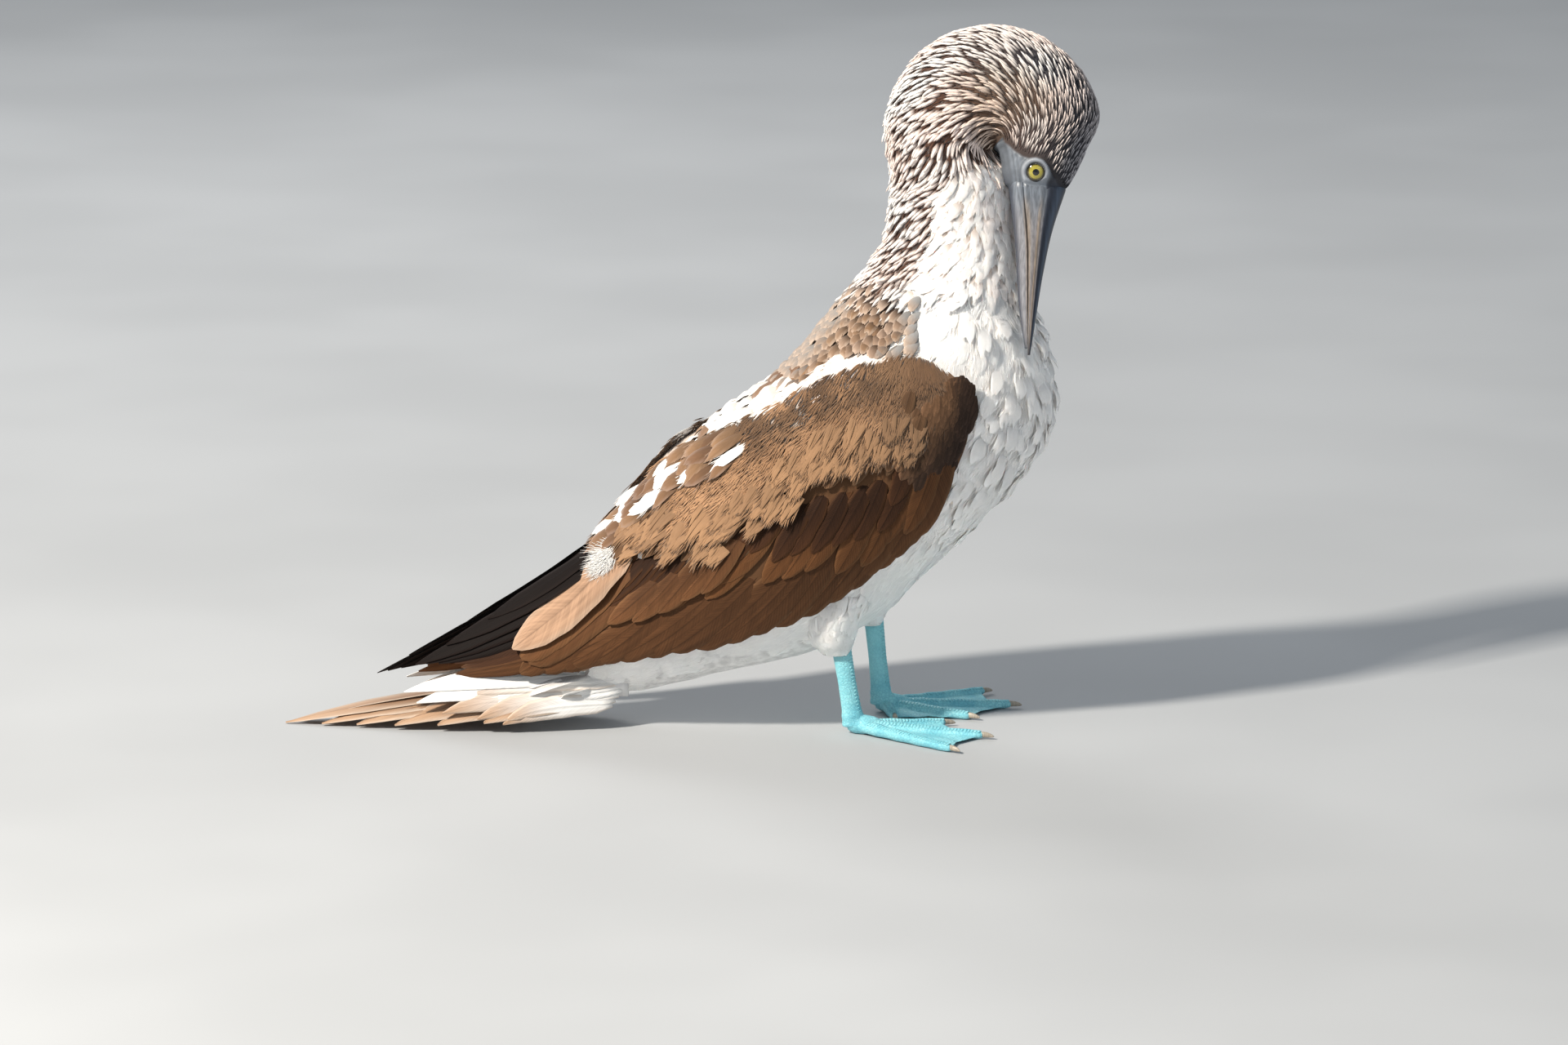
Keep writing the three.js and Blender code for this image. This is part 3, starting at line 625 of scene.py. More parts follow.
@dataclass(frozen=True)
class VaneShape:
    """The outline of a flight feather, and the places of its columns across."""

    rows: tuple[tuple[float, float], ...]
    count: int = 18
    columns: tuple[float, ...] = (-1.0, -0.66, -0.3, -0.07, 0.0, 0.07, 0.3, 0.66, 1.0)

    def shares(self) -> Array:
        """Shares of the length, closer together near the tip."""
        return np.linspace(0, 1, self.count) ** 0.85

    def widths(self) -> Array:
        """Shares of the width at each row."""
        known = np.array(self.rows)
        return np.interp(self.shares(), known[:, 0], known[:, 1])

    def faces(self) -> Array:
        """Triangles of one closed vane: its top, its underside and its edges."""
        rows, wide = self.count, len(self.columns)
        top = grid_faces(rows, wide, False)
        under = top[:, ::-1] + rows * wide
        i, j = np.arange(rows - 1), np.arange(wide - 1)
        low = rows * wide
        near = np.stack([i * wide, (i + 1) * wide, low + (i + 1) * wide, low + i * wide], axis=-1)
        far = near[:, ::-1] + wide - 1
        root = np.stack([j + 1, j, low + j, low + j + 1], axis=-1)
        tip = root[:, ::-1] + (rows - 1) * wide
        quads = np.vstack([top, under, near, far, root, tip])
        return np.vstack([quads[:, [0, 1, 2]], quads[:, [0, 2, 3]]])


ROUNDED = VaneShape(((0, 0.25), (0.12, 0.7), (0.4, 1), (0.75, 0.98), (0.9, 0.8), (0.97, 0.5), (1, 0.16)))
POINTED = VaneShape(((0, 0.3), (0.15, 0.8), (0.5, 1), (0.75, 0.85), (0.92, 0.42), (1, 0.06)))
COVERT = VaneShape(((0, 0.3), (0.2, 0.85), (0.5, 1), (0.76, 0.88), (0.91, 0.52), (1, 0.1)), 11)
TERTIAL = VaneShape(((0, 0.55), (0.1, 0.8), (0.3, 1), (0.58, 0.96), (0.8, 0.72), (0.94, 0.36), (1, 0.05)))
SHEET = VaneShape(((0, 0.45), (0.35, 0.92), (0.65, 1), (0.88, 0.8), (1, 0.5)), 5, (-1.0, -0.5, 0.0, 0.5, 1.0))
LAPPET = VaneShape(((0, 0.6), (0.3, 1), (0.6, 0.86), (0.85, 0.45), (1, 0.08)), 7, (-1.0, -0.5, 0.0, 0.5, 1.0))
LITTLE = VaneShape(((0, 0.4), (0.3, 0.95), (0.6, 1), (0.85, 0.75), (1, 0.15)), 6, (-1.0, -0.45, 0.0, 0.45, 1.0))


@dataclass
class Plume:
    """Soft feathers made of a fan of blades each, one row of sizes for each feather."""

    a: Array
    b: Array
    lie: Array
    length: Array
    lift: Array
    base: Array
    tip: Array
    blades: int = 7
    width: float = 2.4
    spread: float = 0.3
    taper: float = 0.3
    blade: float = 0.7
    turning: tuple[Array | float, Array | float] = (0.25, 0.75)
    curl: Array | float = 0.0


def grow_fans(surface: Surface, plume: Plume, coat: Coat, rng: np.random.Generator,
              shape: BladeShape = HAIR) -> None:
    """Grows each feather as a fan of blades, longest in its middle.

    Args:
        surface: What the feathers grow on.
        plume: Their places, sizes and colours.
        coat: Where they are kept.
        rng: The seeded source of chance.
        shape: The outline of one blade.
    """
    count = len(plume.a)
    half_way = (plume.blades - 1) / 2
    for blade in range(plume.blades):
        fan = (blade - half_way) / half_way
        aside = 0.5 * plume.width * fan + rng.normal(0, 0.08 * plume.width, count)
        a, b = surface.walk(plume.a, plume.b, plume.lie, np.zeros(count), aside)
        length = plume.length * (1 - plume.taper * fan * fan) * rng.uniform(0.88, 1.08, count)
        half = plume.blade * rng.uniform(0.8, 1.2, count)
        tone = rng.uniform(0.94, 1.06, (count, 1))
        lie = plume.lie + plume.spread * fan + rng.normal(0, 0.05, count)
        tuft = Tuft(a, b, lie, length, half, plume.lift * (1 - 0.3 * fan * fan), np.zeros(count),
                    plume.base * tone, np.minimum(plume.tip * tone, 0.97), plume.turning, plume.curl)
        grow(surface, tuft, shape, coat, rng)


@dataclass
class Sheets:
    """Sizes and colours of a batch of broad soft feathers, one row for each."""

    a: Array
    b: Array
    lie: Array
    length: Array
    half: Array
    lift: Array
    base: Array
    tip: Array
    rim: Array
    curl: float = 0.0
    dome: float = 0.25
    ragged: float = 0.12
    thickness: float = 0.14
    turning: tuple[float, float] = (0.15, 0.75)
    rimmed: float = 0.7
    hairs: int = 3
    hair: float = 0.4
    hairs_from: tuple[float, float] = (0.4, 0.6)


def lay_sheets(surface: Surface, sheets: Sheets, coat: Coat, rng: np.random.Generator,
               shape: VaneShape = SHEET) -> None:
    """Lays broad soft feathers over a surface, each with loose barbs at its tip.

    Args:
        surface: What they grow on.
        sheets: Their places, sizes and colours.
        coat: Where they are kept.
        rng: The seeded source of chance.
        shape: Their outline.
    """
    shares, widths, columns = shape.shares(), shape.widths(), np.array(shape.columns)
    count, rows, wide = len(sheets.a), len(shares), len(columns)
    fray = rng.uniform(-1, 1, (count, wide)) * (sheets.ragged * sheets.length)[:, None]
    a, b = sheets.a, sheets.b
    top = np.zeros((count, rows, wide, 3))
    under, outs = np.zeros_like(top), np.zeros_like(top)
    for r, share in enumerate(shares):
        if r:
            a, b = surface.walk(a, b, sheets.lie, sheets.length * (share - shares[r - 1]), np.zeros(count))
        height = sheets.lift * smooth(share, 0, 0.75) + sheets.curl * share**3
        for c, column in enumerate(columns):
            reach = sheets.half * widths[r] * column
            sa, sb = surface.walk(a, b, sheets.lie, fray[:, c] * smooth(share, 0.5, 1.0), reach)
            point, out, _, _ = surface.frames(sa, sb)
            high = height + sheets.dome * sheets.half * widths[r] * (1 - column * column)
            top[:, r, c] = point + out * (high + sheets.thickness / 2)[:, None]
            under[:, r, c] = point + out * (high - sheets.thickness / 2)[:, None]
            outs[:, r, c] = out
    points = np.concatenate([top.reshape(count, -1, 3), under.reshape(count, -1, 3)], axis=1)
    share = np.tile(np.repeat(shares, wide), 2)
    side = np.tile(np.tile(columns, rows), 2)
    mix = smooth(share, *sheets.turning)[None, :]
    tints = blend(np.broadcast_to(sheets.base[:, None], points.shape), sheets.tip[:, None], mix)
    rim = np.maximum(smooth(np.abs(side), 0.5, 1.0), smooth(share, 0.78, 1.0))[None, :] * np.ones((count, 1))
    tints = blend(tints, np.broadcast_to(sheets.rim[:, None], points.shape), sheets.rimmed * rim * mix)
    chance = np.repeat(rng.random(count)[:, None], len(share), axis=1)
    strands = np.stack([np.broadcast_to(share, chance.shape), np.broadcast_to(side, chance.shape), chance], axis=-1)
    patch = np.stack([share - 0.5, side * 0.5], axis=-1) * 0.003
    spots = surface.chart(sheets.a, sheets.b)[:, None] + patch[None]
    ways = outs.reshape(count, -1, 3)
    coat.add(points, shape.faces(), tints, strands, spots, np.concatenate([ways, -ways], axis=1))
    for _ in range(sheets.hairs):
        across = rng.uniform(-0.8, 0.8, count)
        begun = rng.uniform(*sheets.hairs_from, count)
        a, b = surface.walk(sheets.a, sheets.b, sheets.lie, begun * sheets.length, across * sheets.half)
        high = sheets.lift * smooth(begun, 0, 0.75) + sheets.dome * sheets.half * (1 - across**2)
        lie = sheets.lie + 0.25 * across + rng.normal(0, 0.1, count)
        length = sheets.length * np.maximum(1.08 - begun + rng.uniform(-0.1, 0.06, count), 0.4)
        tuft = Tuft(a, b, lie, length, sheets.hair * rng.uniform(0.7, 1.2, count),
                    sheets.lift + 0.25, -high, sheets.tip, sheets.rim, (0.3, 0.9), sheets.curl)
        grow(surface, tuft, HAIR, coat, rng)


# Colours of the plumage
WHITE = paint(0.97, 0.965, 0.955)
SHADE = paint(0.90, 0.895, 0.89)
ROSY = paint(0.97, 0.90, 0.865)
UMBER = paint(0.33, 0.215, 0.155)
# INK is the blue-black between the forehead's and crown's feathers: their own dark bases, with a blue that is painted
# shade.
INK = paint(0.075, 0.08, 0.13)
SAND = paint(0.80, 0.66, 0.50)
TAN = paint(0.60, 0.46, 0.33)
BROWN = paint(0.45, 0.315, 0.21)
SLATE = paint(0.53, 0.56, 0.60)
NAVY = paint(0.14, 0.16, 0.21)


class Markings:
    """The bird's markings, with some painted shade, as functions of place, shared by its skin and its coat."""

    bare_line = np.array([
        (78, 371), (80, 371), (82.2, 366), (86.6, 361), (91.9, 357), (96, 355.6), (100.6, 355.8), (105, 354.4),
        (108, 351), (111.5, 345), (117, 340), (121.5, 335.5),
    ])

    def bare(self, a: Array, b: Array) -> Array:
        """How bare of feathers the face is, from 0 to 1."""
        spot = BODY_FORM.at(a, b, tilted=False)
        edge = np.interp(spot[..., 0], self.bare_line[:, 0], self.bare_line[:, 1])
        return smooth(edge - spot[..., 2], -0.7, 0.7) * (1 - smooth(a, 3.6, 4.2))

    def streaked(self, a: Array, b: Array) -> Array:
        """How far the head's and neck's streaks reach, from 0 to 1."""
        turn = from_back(b)
        spot = BODY_FORM.at(a, b)
        edge = np.interp(a, [0, 8.5, 10, 11, 13, 15, 16, 17], [200, 200, 122, 92, 72, 66, 70, 74])
        edge = edge + 7 * ripple(*np.moveaxis(spot, -1, 0), 5.0)
        return 1 - smooth(turn - edge, -5, 5)

    def fold(self, a: Array, b: Array) -> Array:
        """How deep in the fold between face and neck a place is, from 0 to 1."""
        turn = from_back(b)
        return smooth(turn, 138, 170) * smooth(a, 2.3, 3.1) * (1 - smooth(a, 11.4, 12.6))

    def mantle(self, a: Array) -> Array:
        """How far the streaks have given way to the mantle, from 0 to 1."""
        return smooth(a, 14.4, 15.8)

    def stripe(self, spot: Array) -> Array:
        """The white stripe over each wing, from 0 to 1."""
        line = 241.5 + 0.576 * (spot[..., 0] + 3.6)
        away = np.abs(spot[..., 2] - line + 3 * ripple(*np.moveaxis(spot, -1, 0), 7.0))
        inside = smooth(spot[..., 0], -104, -92) * (1 - smooth(spot[..., 0], 6, 18))
        return (1 - smooth(away, 5, 9)) * inside

    def body_colours(self, a: Array, b: Array, chance: Array) -> tuple[Array, Array]:
        """Colours of the body's plumage.

        Args:
            a: Places from the face to the rump.
            b: Angles from the back, in radians.
            chance: A draw between 0 and 1 for each place.

        Returns:
            The colours at the root and at the tip.
        """
        spot = BODY_FORM.at(a, b)
        wave = ripple(*np.moveaxis(spot, -1, 0), 11.0)
        turn = from_back(b)
        # The crown's bases turn to INK, most on the forehead: their own dark brown, deepened to blue-black as painted
        # shade.
        crown = (1 - smooth(a, 4.2, 8.2)) * (1 - 0.5 * smooth(turn, 60, 130))
        base = blend(np.broadcast_to(UMBER, spot.shape), INK, crown)
        tip = blend(np.broadcast_to(ROSY, spot.shape), WHITE, np.clip(0.2 + wave, 0, 1))
        tan = smooth(turn, 65, 100) * smooth(a, 2.6, 4) * (1 - smooth(a, 5.5, 8))
        # Painted shade: the tips on the forehead, the side turned from the light, are tinted grey-blue.
        front = (1 - smooth(a, 1.5, 4.5)) * (1 - smooth(turn, 40, 75))
        tip = blend(tip, paint(0.66, 0.72, 0.80), 0.5 * front)
        tip = blend(tip, SAND, 0.4 * tan)
        base = blend(base, TAN * 0.45, 0.5 * tan)
        mantle = self.mantle(a)
        tawny = blend(np.broadcast_to(TAN, spot.shape), BROWN, np.clip(0.5 + wave, 0, 1))
        base = blend(base, tawny * 0.6, mantle)
        tip = blend(tip, blend(tawny, ROSY, np.clip(0.35 + 0.9 * (chance - 0.5), 0, 1)), mantle)
        pale = np.clip(mantle * (1 - smooth(turn, 14, 34)) * (1 - smooth(a, 16.5, 19)) + self.stripe(spot), 0, 1)
        patches = smooth(a, 17, 19) * (1 - smooth(a, 21.5, 24)) * (chance < 0.3)
        pale = np.clip(pale + patches, 0, 1)
        base = blend(base, blend(tawny, WHITE, np.array(0.6)), pale)
        tip = blend(tip, WHITE, pale)
        under = 1 - self.streaked(a, b) * (a < 17.5)
        back = (a >= 17.5) * (1 - smooth(turn - np.interp(a, [17, 20, 24, 26], [74, 66, 60, 40]), -4, 4))
        white = under * (1 - back)
        rump = smooth(a, 24.2, 25.2)
        white = np.clip(white + rump, 0, 1)
        snow = blend(np.broadcast_to(WHITE, spot.shape), SHADE, np.clip(0.2 + 0.4 * wave, 0, 1))
        return blend(base, SHADE, white), blend(tip, snow, white)

    def lie(self, a: Array, b: Array) -> Array:
        """The turn of the feathers towards the back from the body's length, in radians."""
        swing = np.interp(a, [0, 3, 4, 5, 6.5, 8.5, 10, 11.5, 13.5, 15.5, 18, 26],
                          [10, 16, 28, 36, 45, 40, 55, 56, 34, 10, 0, -6])
        turn = from_back(b)
        swing = swing * (1 - 0.8 * smooth(turn, 85, 130) * smooth(a, 8, 11))
        return np.radians(swing) * np.sign(np.sin(b)) * np.abs(np.sin(b)) ** 0.7


MARKINGS = Markings()


class Mounds:
    """Soft clumps that the white plumage stands in, as heights kept on a grid over the body."""

    rows, columns = 420, 300

    def __init__(self, spacing: float = 17.0, height: float = 3.6) -> None:
        """Spreads the clumps over the body and measures the grid."""
        rng = np.random.default_rng(3)
        places, angles = [], []
        for place in np.arange(9.5, BODY_FORM.last, 0.52):
            ring = BODY_FORM.at(np.full(49, place), np.linspace(0, 2 * np.pi, 49))
            count = max(6, int(np.linalg.norm(np.diff(ring, axis=0), axis=1).sum() / spacing))
            turn = (np.arange(count) + rng.uniform(-0.35, 0.35, count)) / count * 2 * np.pi
            places.append(np.full(count, place) + rng.uniform(-0.2, 0.2, count))
            angles.append(turn)
        a, b = np.concatenate(places), np.concatenate(angles)
        lie = MARKINGS.lie(a, b)
        spot, out, along, _ = BODY_FORM.frames(a, b)
        first = unit(along)
        way = first * np.cos(lie)[:, None] + np.cross(out, first) * np.sin(lie)[:, None]
        grid_a, grid_b = np.meshgrid(np.linspace(0, BODY_FORM.last, self.rows),
                                     np.linspace(0, 2 * np.pi, self.columns), indexing="ij")
        where = BODY_FORM.at(grid_a, grid_b)
        self.grid = np.zeros(grid_a.shape)
        for row in range(self.rows):
            apart = where[row][:, None] - spot[None]
            ahead = np.sum(apart * way[None], axis=-1)
            far = np.sqrt(np.sum(apart**2, axis=-1) + 0.35 * ahead * np.abs(ahead) * (ahead < 0) * -1)
            near = np.argmin(far, axis=1)
            pick = np.arange(self.columns)
            least = far[pick, near] / spacing
            slope = np.clip(ahead[pick, near] / spacing, -0.8, 0.8)
            self.grid[row] = height * (1 - smooth(least, 0.2, 0.85)) * (0.75 + 0.6 * slope)
        white = 1 - MARKINGS.streaked(grid_a, grid_b) * (grid_a < 17)
        turn = from_back(grid_b)
        covered = np.interp(grid_a, [14, 16, 24], [60, 104, 104])
        front = smooth(turn - covered, 0, 22) * smooth(grid_a, 10, 12.5) * (1 - 0.6 * smooth(grid_a, 19, 23))
        self.grid *= white * front

    def at(self, a: Array, b: Array) -> Array:
        """Heights of the clumps."""
        x = np.clip(np.asarray(a, float) / BODY_FORM.last, 0, 1) * (self.rows - 1)
        y = np.mod(np.asarray(b, float) / (2 * np.pi), 1.0) * (self.columns - 1)
        i, j = np.minimum(x.astype(int), self.rows - 2), np.minimum(y.astype(int), self.columns - 2)
        p, q = x - i, y - j
        grid = self.grid
        return ((grid[i, j] * (1 - q) + grid[i, j + 1] * q) * (1 - p)
                + (grid[i + 1, j] * (1 - q) + grid[i + 1, j + 1] * q) * p)


MOUNDS = Mounds()


class Shade:
    """Small helpers for building a material's nodes."""

    def __init__(self, tree: bpy.types.NodeTree) -> None:
        """Keeps the tree."""
        self.tree = tree

    def node(self, kind: str, **settings: object) -> bpy.types.Node:
        """Adds a node and sets its properties."""
        made = self.tree.nodes.new(kind)
        for name, value in settings.items():
            setattr(made, name, value)
        return made

    def link(self, source: bpy.types.NodeSocket, target: bpy.types.NodeSocket) -> None:
        """Joins two sockets."""
        self.tree.links.new(source, target)

    def emboss(self, shader: bpy.types.Node, height: bpy.types.NodeSocket, strength: float, depth: float) -> None:
        """Bends a shader's normals by a height pattern, whose full depth is in metres."""
        bump = self.node("ShaderNodeBump")
        bump.inputs["Strength"].default_value = strength
        bump.inputs["Distance"].default_value = depth
        self.link(height, bump.inputs["Height"])
        self.link(bump.outputs[0], shader.inputs["Normal"])

    def tinted(self, shader: bpy.types.Node, tint: bpy.types.Node, tone: bpy.types.NodeSocket) -> None:
        """Gives a shader the painted colour scaled by a tone."""
        shaded = self.node("ShaderNodeVectorMath", operation="SCALE")
        self.link(tint.outputs["Color"], shaded.inputs[0])
        self.link(tone, shaded.inputs["Scale"])
        self.link(shaded.outputs[0], shader.inputs["Base Color"])

    def maths(self, way: str, one: object, other: object = None) -> bpy.types.NodeSocket:
        """Adds a sum and returns its result."""
        made = self.node("ShaderNodeMath", operation=way)
        for socket, value in zip(made.inputs, (one, other)):
            if isinstance(value, bpy.types.NodeSocket):
                self.link(value, socket)
            elif value is not None:
                socket.default_value = value
        return made.outputs[0]

    def ramp(self, source: bpy.types.NodeSocket, low: float, high: float, start: float = 0.0,
             end: float = 1.0) -> bpy.types.NodeSocket:
        """Stretches a value from one range to another, smoothly."""
        made = self.node("ShaderNodeMapRange", interpolation_type="SMOOTHSTEP")
        self.link(source, made.inputs["Value"])
        for name, value in zip(("From Min", "From Max", "To Min", "To Max"), (low, high, start, end)):
            made.inputs[name].default_value = value
        return made.outputs["Result"]

    def mix(self, share: object, one: object, other: object, way: str = "MIX") -> bpy.types.NodeSocket:
        """Mixes two colours."""
        made = self.node("ShaderNodeMix", data_type="RGBA", blend_type=way)
        for socket, value in ((made.inputs[0], share), (made.inputs[6], one), (made.inputs[7], other)):
            if isinstance(value, bpy.types.NodeSocket):
                self.link(value, socket)
            elif isinstance(value, (int, float)):
                socket.default_value = value
            else:
                socket.default_value = (*value, 1.0)
        return made.outputs[2]

    def noise(self, place: bpy.types.NodeSocket, scale: float, detail: float = 2.0) -> bpy.types.NodeSocket:
        """Adds a noise pattern and returns its strength."""
        made = self.node("ShaderNodeTexNoise")
        self.link(place, made.inputs["Vector"])
        made.inputs["Scale"].default_value = scale
        made.inputs["Detail"].default_value = detail
        return made.outputs["Fac"]


def shader_group(name: str, inputs: dict[str, float], outputs: dict[str, str]) -> tuple[bpy.types.NodeTree, Shade]:
    """Makes an empty shader group.

    Args:
        name: The group's name.
        inputs: Names and starting values of its number inputs.
        outputs: Names and kinds of its outputs.

    Returns:
        The group and its helper.
    """
    tree = bpy.data.node_groups.new(name, "ShaderNodeTree")
    for label, value in inputs.items():
        socket = tree.interface.new_socket(label, in_out="INPUT", socket_type="NodeSocketFloat")
        socket.default_value = value
    for label, kind in outputs.items():
        tree.interface.new_socket(label, in_out="OUTPUT", socket_type=kind)
    return tree, Shade(tree)


def barb_group() -> bpy.types.NodeTree:
    """A feather's barbs: fine lines that run out from its shaft, as a height and a shade."""
    inputs = {"Lines": 60.0, "Slant": 14.0, "Ragged": 0.4}
    tree, draw = shader_group("feather_barbs", inputs, {"Height": "NodeSocketFloat", "Tone": "NodeSocketFloat"})
    given, result = draw.node("NodeGroupInput"), draw.node("NodeGroupOutput")
    strand = draw.node("ShaderNodeAttribute", attribute_name="strand")
    apart = draw.node("ShaderNodeSeparateXYZ")
    draw.link(strand.outputs["Vector"], apart.inputs[0])
    share, side, chance = apart.outputs
    out = draw.maths("ABSOLUTE", side)
    along = draw.maths("MULTIPLY", share, given.outputs["Lines"])
    slant = draw.maths("MULTIPLY", out, given.outputs["Slant"])
    line = draw.maths("SUBTRACT", along, slant)
    place = draw.node("ShaderNodeCombineXYZ")
    draw.link(line, place.inputs[0])
    draw.link(draw.maths("MULTIPLY", side, 0.7), place.inputs[1])
    draw.link(draw.maths("MULTIPLY", chance, 37.0), place.inputs[2])
    fine = draw.noise(place.outputs[0], 0.9, 3.0)
    broad = draw.noise(place.outputs[0], 0.17, 2.0)
    wave = draw.maths("SINE", draw.maths("MULTIPLY", line, 2.0))
    lines = draw.maths("MULTIPLY", wave, 0.25)
    height = draw.maths("ADD", lines, draw.maths("MULTIPLY", fine, given.outputs["Ragged"]))
    draw.link(height, result.inputs["Height"])
    long = draw.node("ShaderNodeCombineXYZ")
    draw.link(draw.maths("MULTIPLY", side, 3.2), long.inputs[0])
    draw.link(draw.maths("MULTIPLY", share, 1.3), long.inputs[1])
    draw.link(draw.maths("MULTIPLY", chance, 53.0), long.inputs[2])
    streak = draw.noise(long.outputs[0], 1.5, 3.0)
    tone = draw.maths("ADD", draw.maths("MULTIPLY", fine, 0.3), draw.maths("MULTIPLY", broad, 0.25))
    tone = draw.maths("ADD", tone, draw.maths("MULTIPLY", streak, 0.45))
    draw.link(tone, result.inputs["Tone"])
    return tree


def scale_group() -> bpy.types.NodeTree:
    """Small scales of bare skin on a leg or foot, as a height, a mask of the creases and a mottle."""
    inputs = {"Scales": 420.0, "Creases": 90.0}
    outputs = {"Height": "NodeSocketFloat", "Crease": "NodeSocketFloat", "Mottle": "NodeSocketFloat"}
    tree, draw = shader_group("skin_scales", inputs, outputs)
    given, result = draw.node("NodeGroupInput"), draw.node("NodeGroupOutput")
    place = draw.node("ShaderNodeTexCoord").outputs["Object"]
    cells = draw.node("ShaderNodeTexVoronoi", feature="DISTANCE_TO_EDGE")
    draw.link(place, cells.inputs["Vector"])
    draw.link(given.outputs["Scales"], cells.inputs["Scale"])
    edge = draw.ramp(cells.outputs["Distance"], 0.0, 0.16)
    folds = draw.node("ShaderNodeTexNoise", noise_dimensions="3D")
    draw.link(place, folds.inputs["Vector"])
    draw.link(given.outputs["Creases"], folds.inputs["Scale"])
    folds.inputs["Detail"].default_value = 4.0
    folds.inputs["Distortion"].default_value = 0.6
    crease = draw.ramp(draw.maths("ABSOLUTE", draw.maths("SUBTRACT", folds.outputs["Fac"], 0.5)), 0.0, 0.05)
    height = draw.maths("ADD", draw.maths("MULTIPLY", edge, 0.5), draw.maths("MULTIPLY", crease, 0.5))
    draw.link(height, result.inputs["Height"])
    draw.link(draw.maths("SUBTRACT", 1.0, edge), result.inputs["Crease"])
    draw.link(draw.noise(place, 70.0, 5.0), result.inputs["Mottle"])
    return tree


GROUPS: dict[str, bpy.types.NodeTree] = {}


def group(name: str) -> bpy.types.NodeTree:
    """The shared shader group of that name, built once."""
    makers = {"barbs": barb_group, "scales": scale_group}
    if name not in GROUPS:
        GROUPS[name] = makers[name]()
    return GROUPS[name]


def new_material(name: str) -> tuple[bpy.types.Material, Shade, bpy.types.Node]:
    """An empty material with its Principled shader."""
    material = bpy.data.materials.new(name)
    material.use_nodes = True
    material.node_tree.nodes.clear()
    draw = Shade(material.node_tree)
    shader = draw.node("ShaderNodeBsdfPrincipled")
    draw.link(shader.outputs[0], draw.node("ShaderNodeOutputMaterial").inputs["Surface"])
    return material, draw, shader


@dataclass(frozen=True)
class PlumageFinish:
    """Feathers whose colours are kept on their points."""

    name: str
    roughness: float = 0.82
    sheen: float = 0.15
    lines: float = 26.0
    slant: float = 6.0
    contrast: float = 0.22
    bump: float = 0.25
    light_through: float = 0.0
    gloss: float = 0.22

    def build(self) -> bpy.types.Material:
        """Makes the material."""
        material, draw, shader = new_material(self.name)
        tint = draw.node("ShaderNodeAttribute", attribute_name="tint")
        barbs = draw.node("ShaderNodeGroup", node_tree=group("barbs"))
        barbs.inputs["Lines"].default_value = self.lines
        barbs.inputs["Slant"].default_value = self.slant
        tone = draw.ramp(barbs.outputs["Tone"], 0.3, 0.7, 1 - self.contrast, 1 + self.contrast * 0.6)
        draw.tinted(shader, tint, tone)
        draw.emboss(shader, barbs.outputs["Height"], self.bump, 0.0003)
        shader.inputs["Roughness"].default_value = self.roughness
        shader.inputs["Sheen Weight"].default_value = self.sheen
        shader.inputs["Sheen Roughness"].default_value = 0.6
        shader.inputs["Specular IOR Level"].default_value = self.gloss
        if self.light_through:
            shader.subsurface_method = "BURLEY"
            shader.inputs["Subsurface Weight"].default_value = self.light_through
            shader.inputs["Subsurface Radius"].default_value = (1.0, 0.85, 0.75)
            shader.inputs["Subsurface Scale"].default_value = 0.003
        return material


@dataclass(frozen=True)
class SkinFinish:
    """The skin under the plumage and the bare skin of the face, painted on its points."""

    name: str = "body_skin"

    def build(self) -> bpy.types.Material:
        """Makes the material."""
        material, draw, shader = new_material(self.name)
        tint = draw.node("ShaderNodeAttribute", attribute_name="tint")
        bare = draw.node("ShaderNodeAttribute", attribute_name="bare")
        place = draw.node("ShaderNodeTexCoord").outputs["Object"]
        pores = draw.node("ShaderNodeTexVoronoi", feature="F1")
        draw.link(place, pores.inputs["Vector"])
        pores.inputs["Scale"].default_value = 900.0
        mottle = draw.ramp(draw.noise(place, 160.0, 4.0), 0.3, 0.7, 0.82, 1.12)
        draw.tinted(shader, tint, mottle)
        draw.link(draw.ramp(bare.outputs["Fac"], 0.0, 1.0, 0.9, 0.5), shader.inputs["Roughness"])
        height = draw.maths("ADD", pores.outputs["Distance"], draw.noise(place, 420.0, 3.0))
        draw.emboss(shader, height, 0.35, 0.0002)
        return material


def face_creases(x: Array, z: Array) -> Array:
    """The upright creases of the bare face and the bill's root, from 0 to 1."""
    across = x + 0.16 * z
    return (0.5 + 0.5 * np.sin(1.9 * across + 1.5 * np.sin(0.6 * x + 0.1 * z))) ** 2


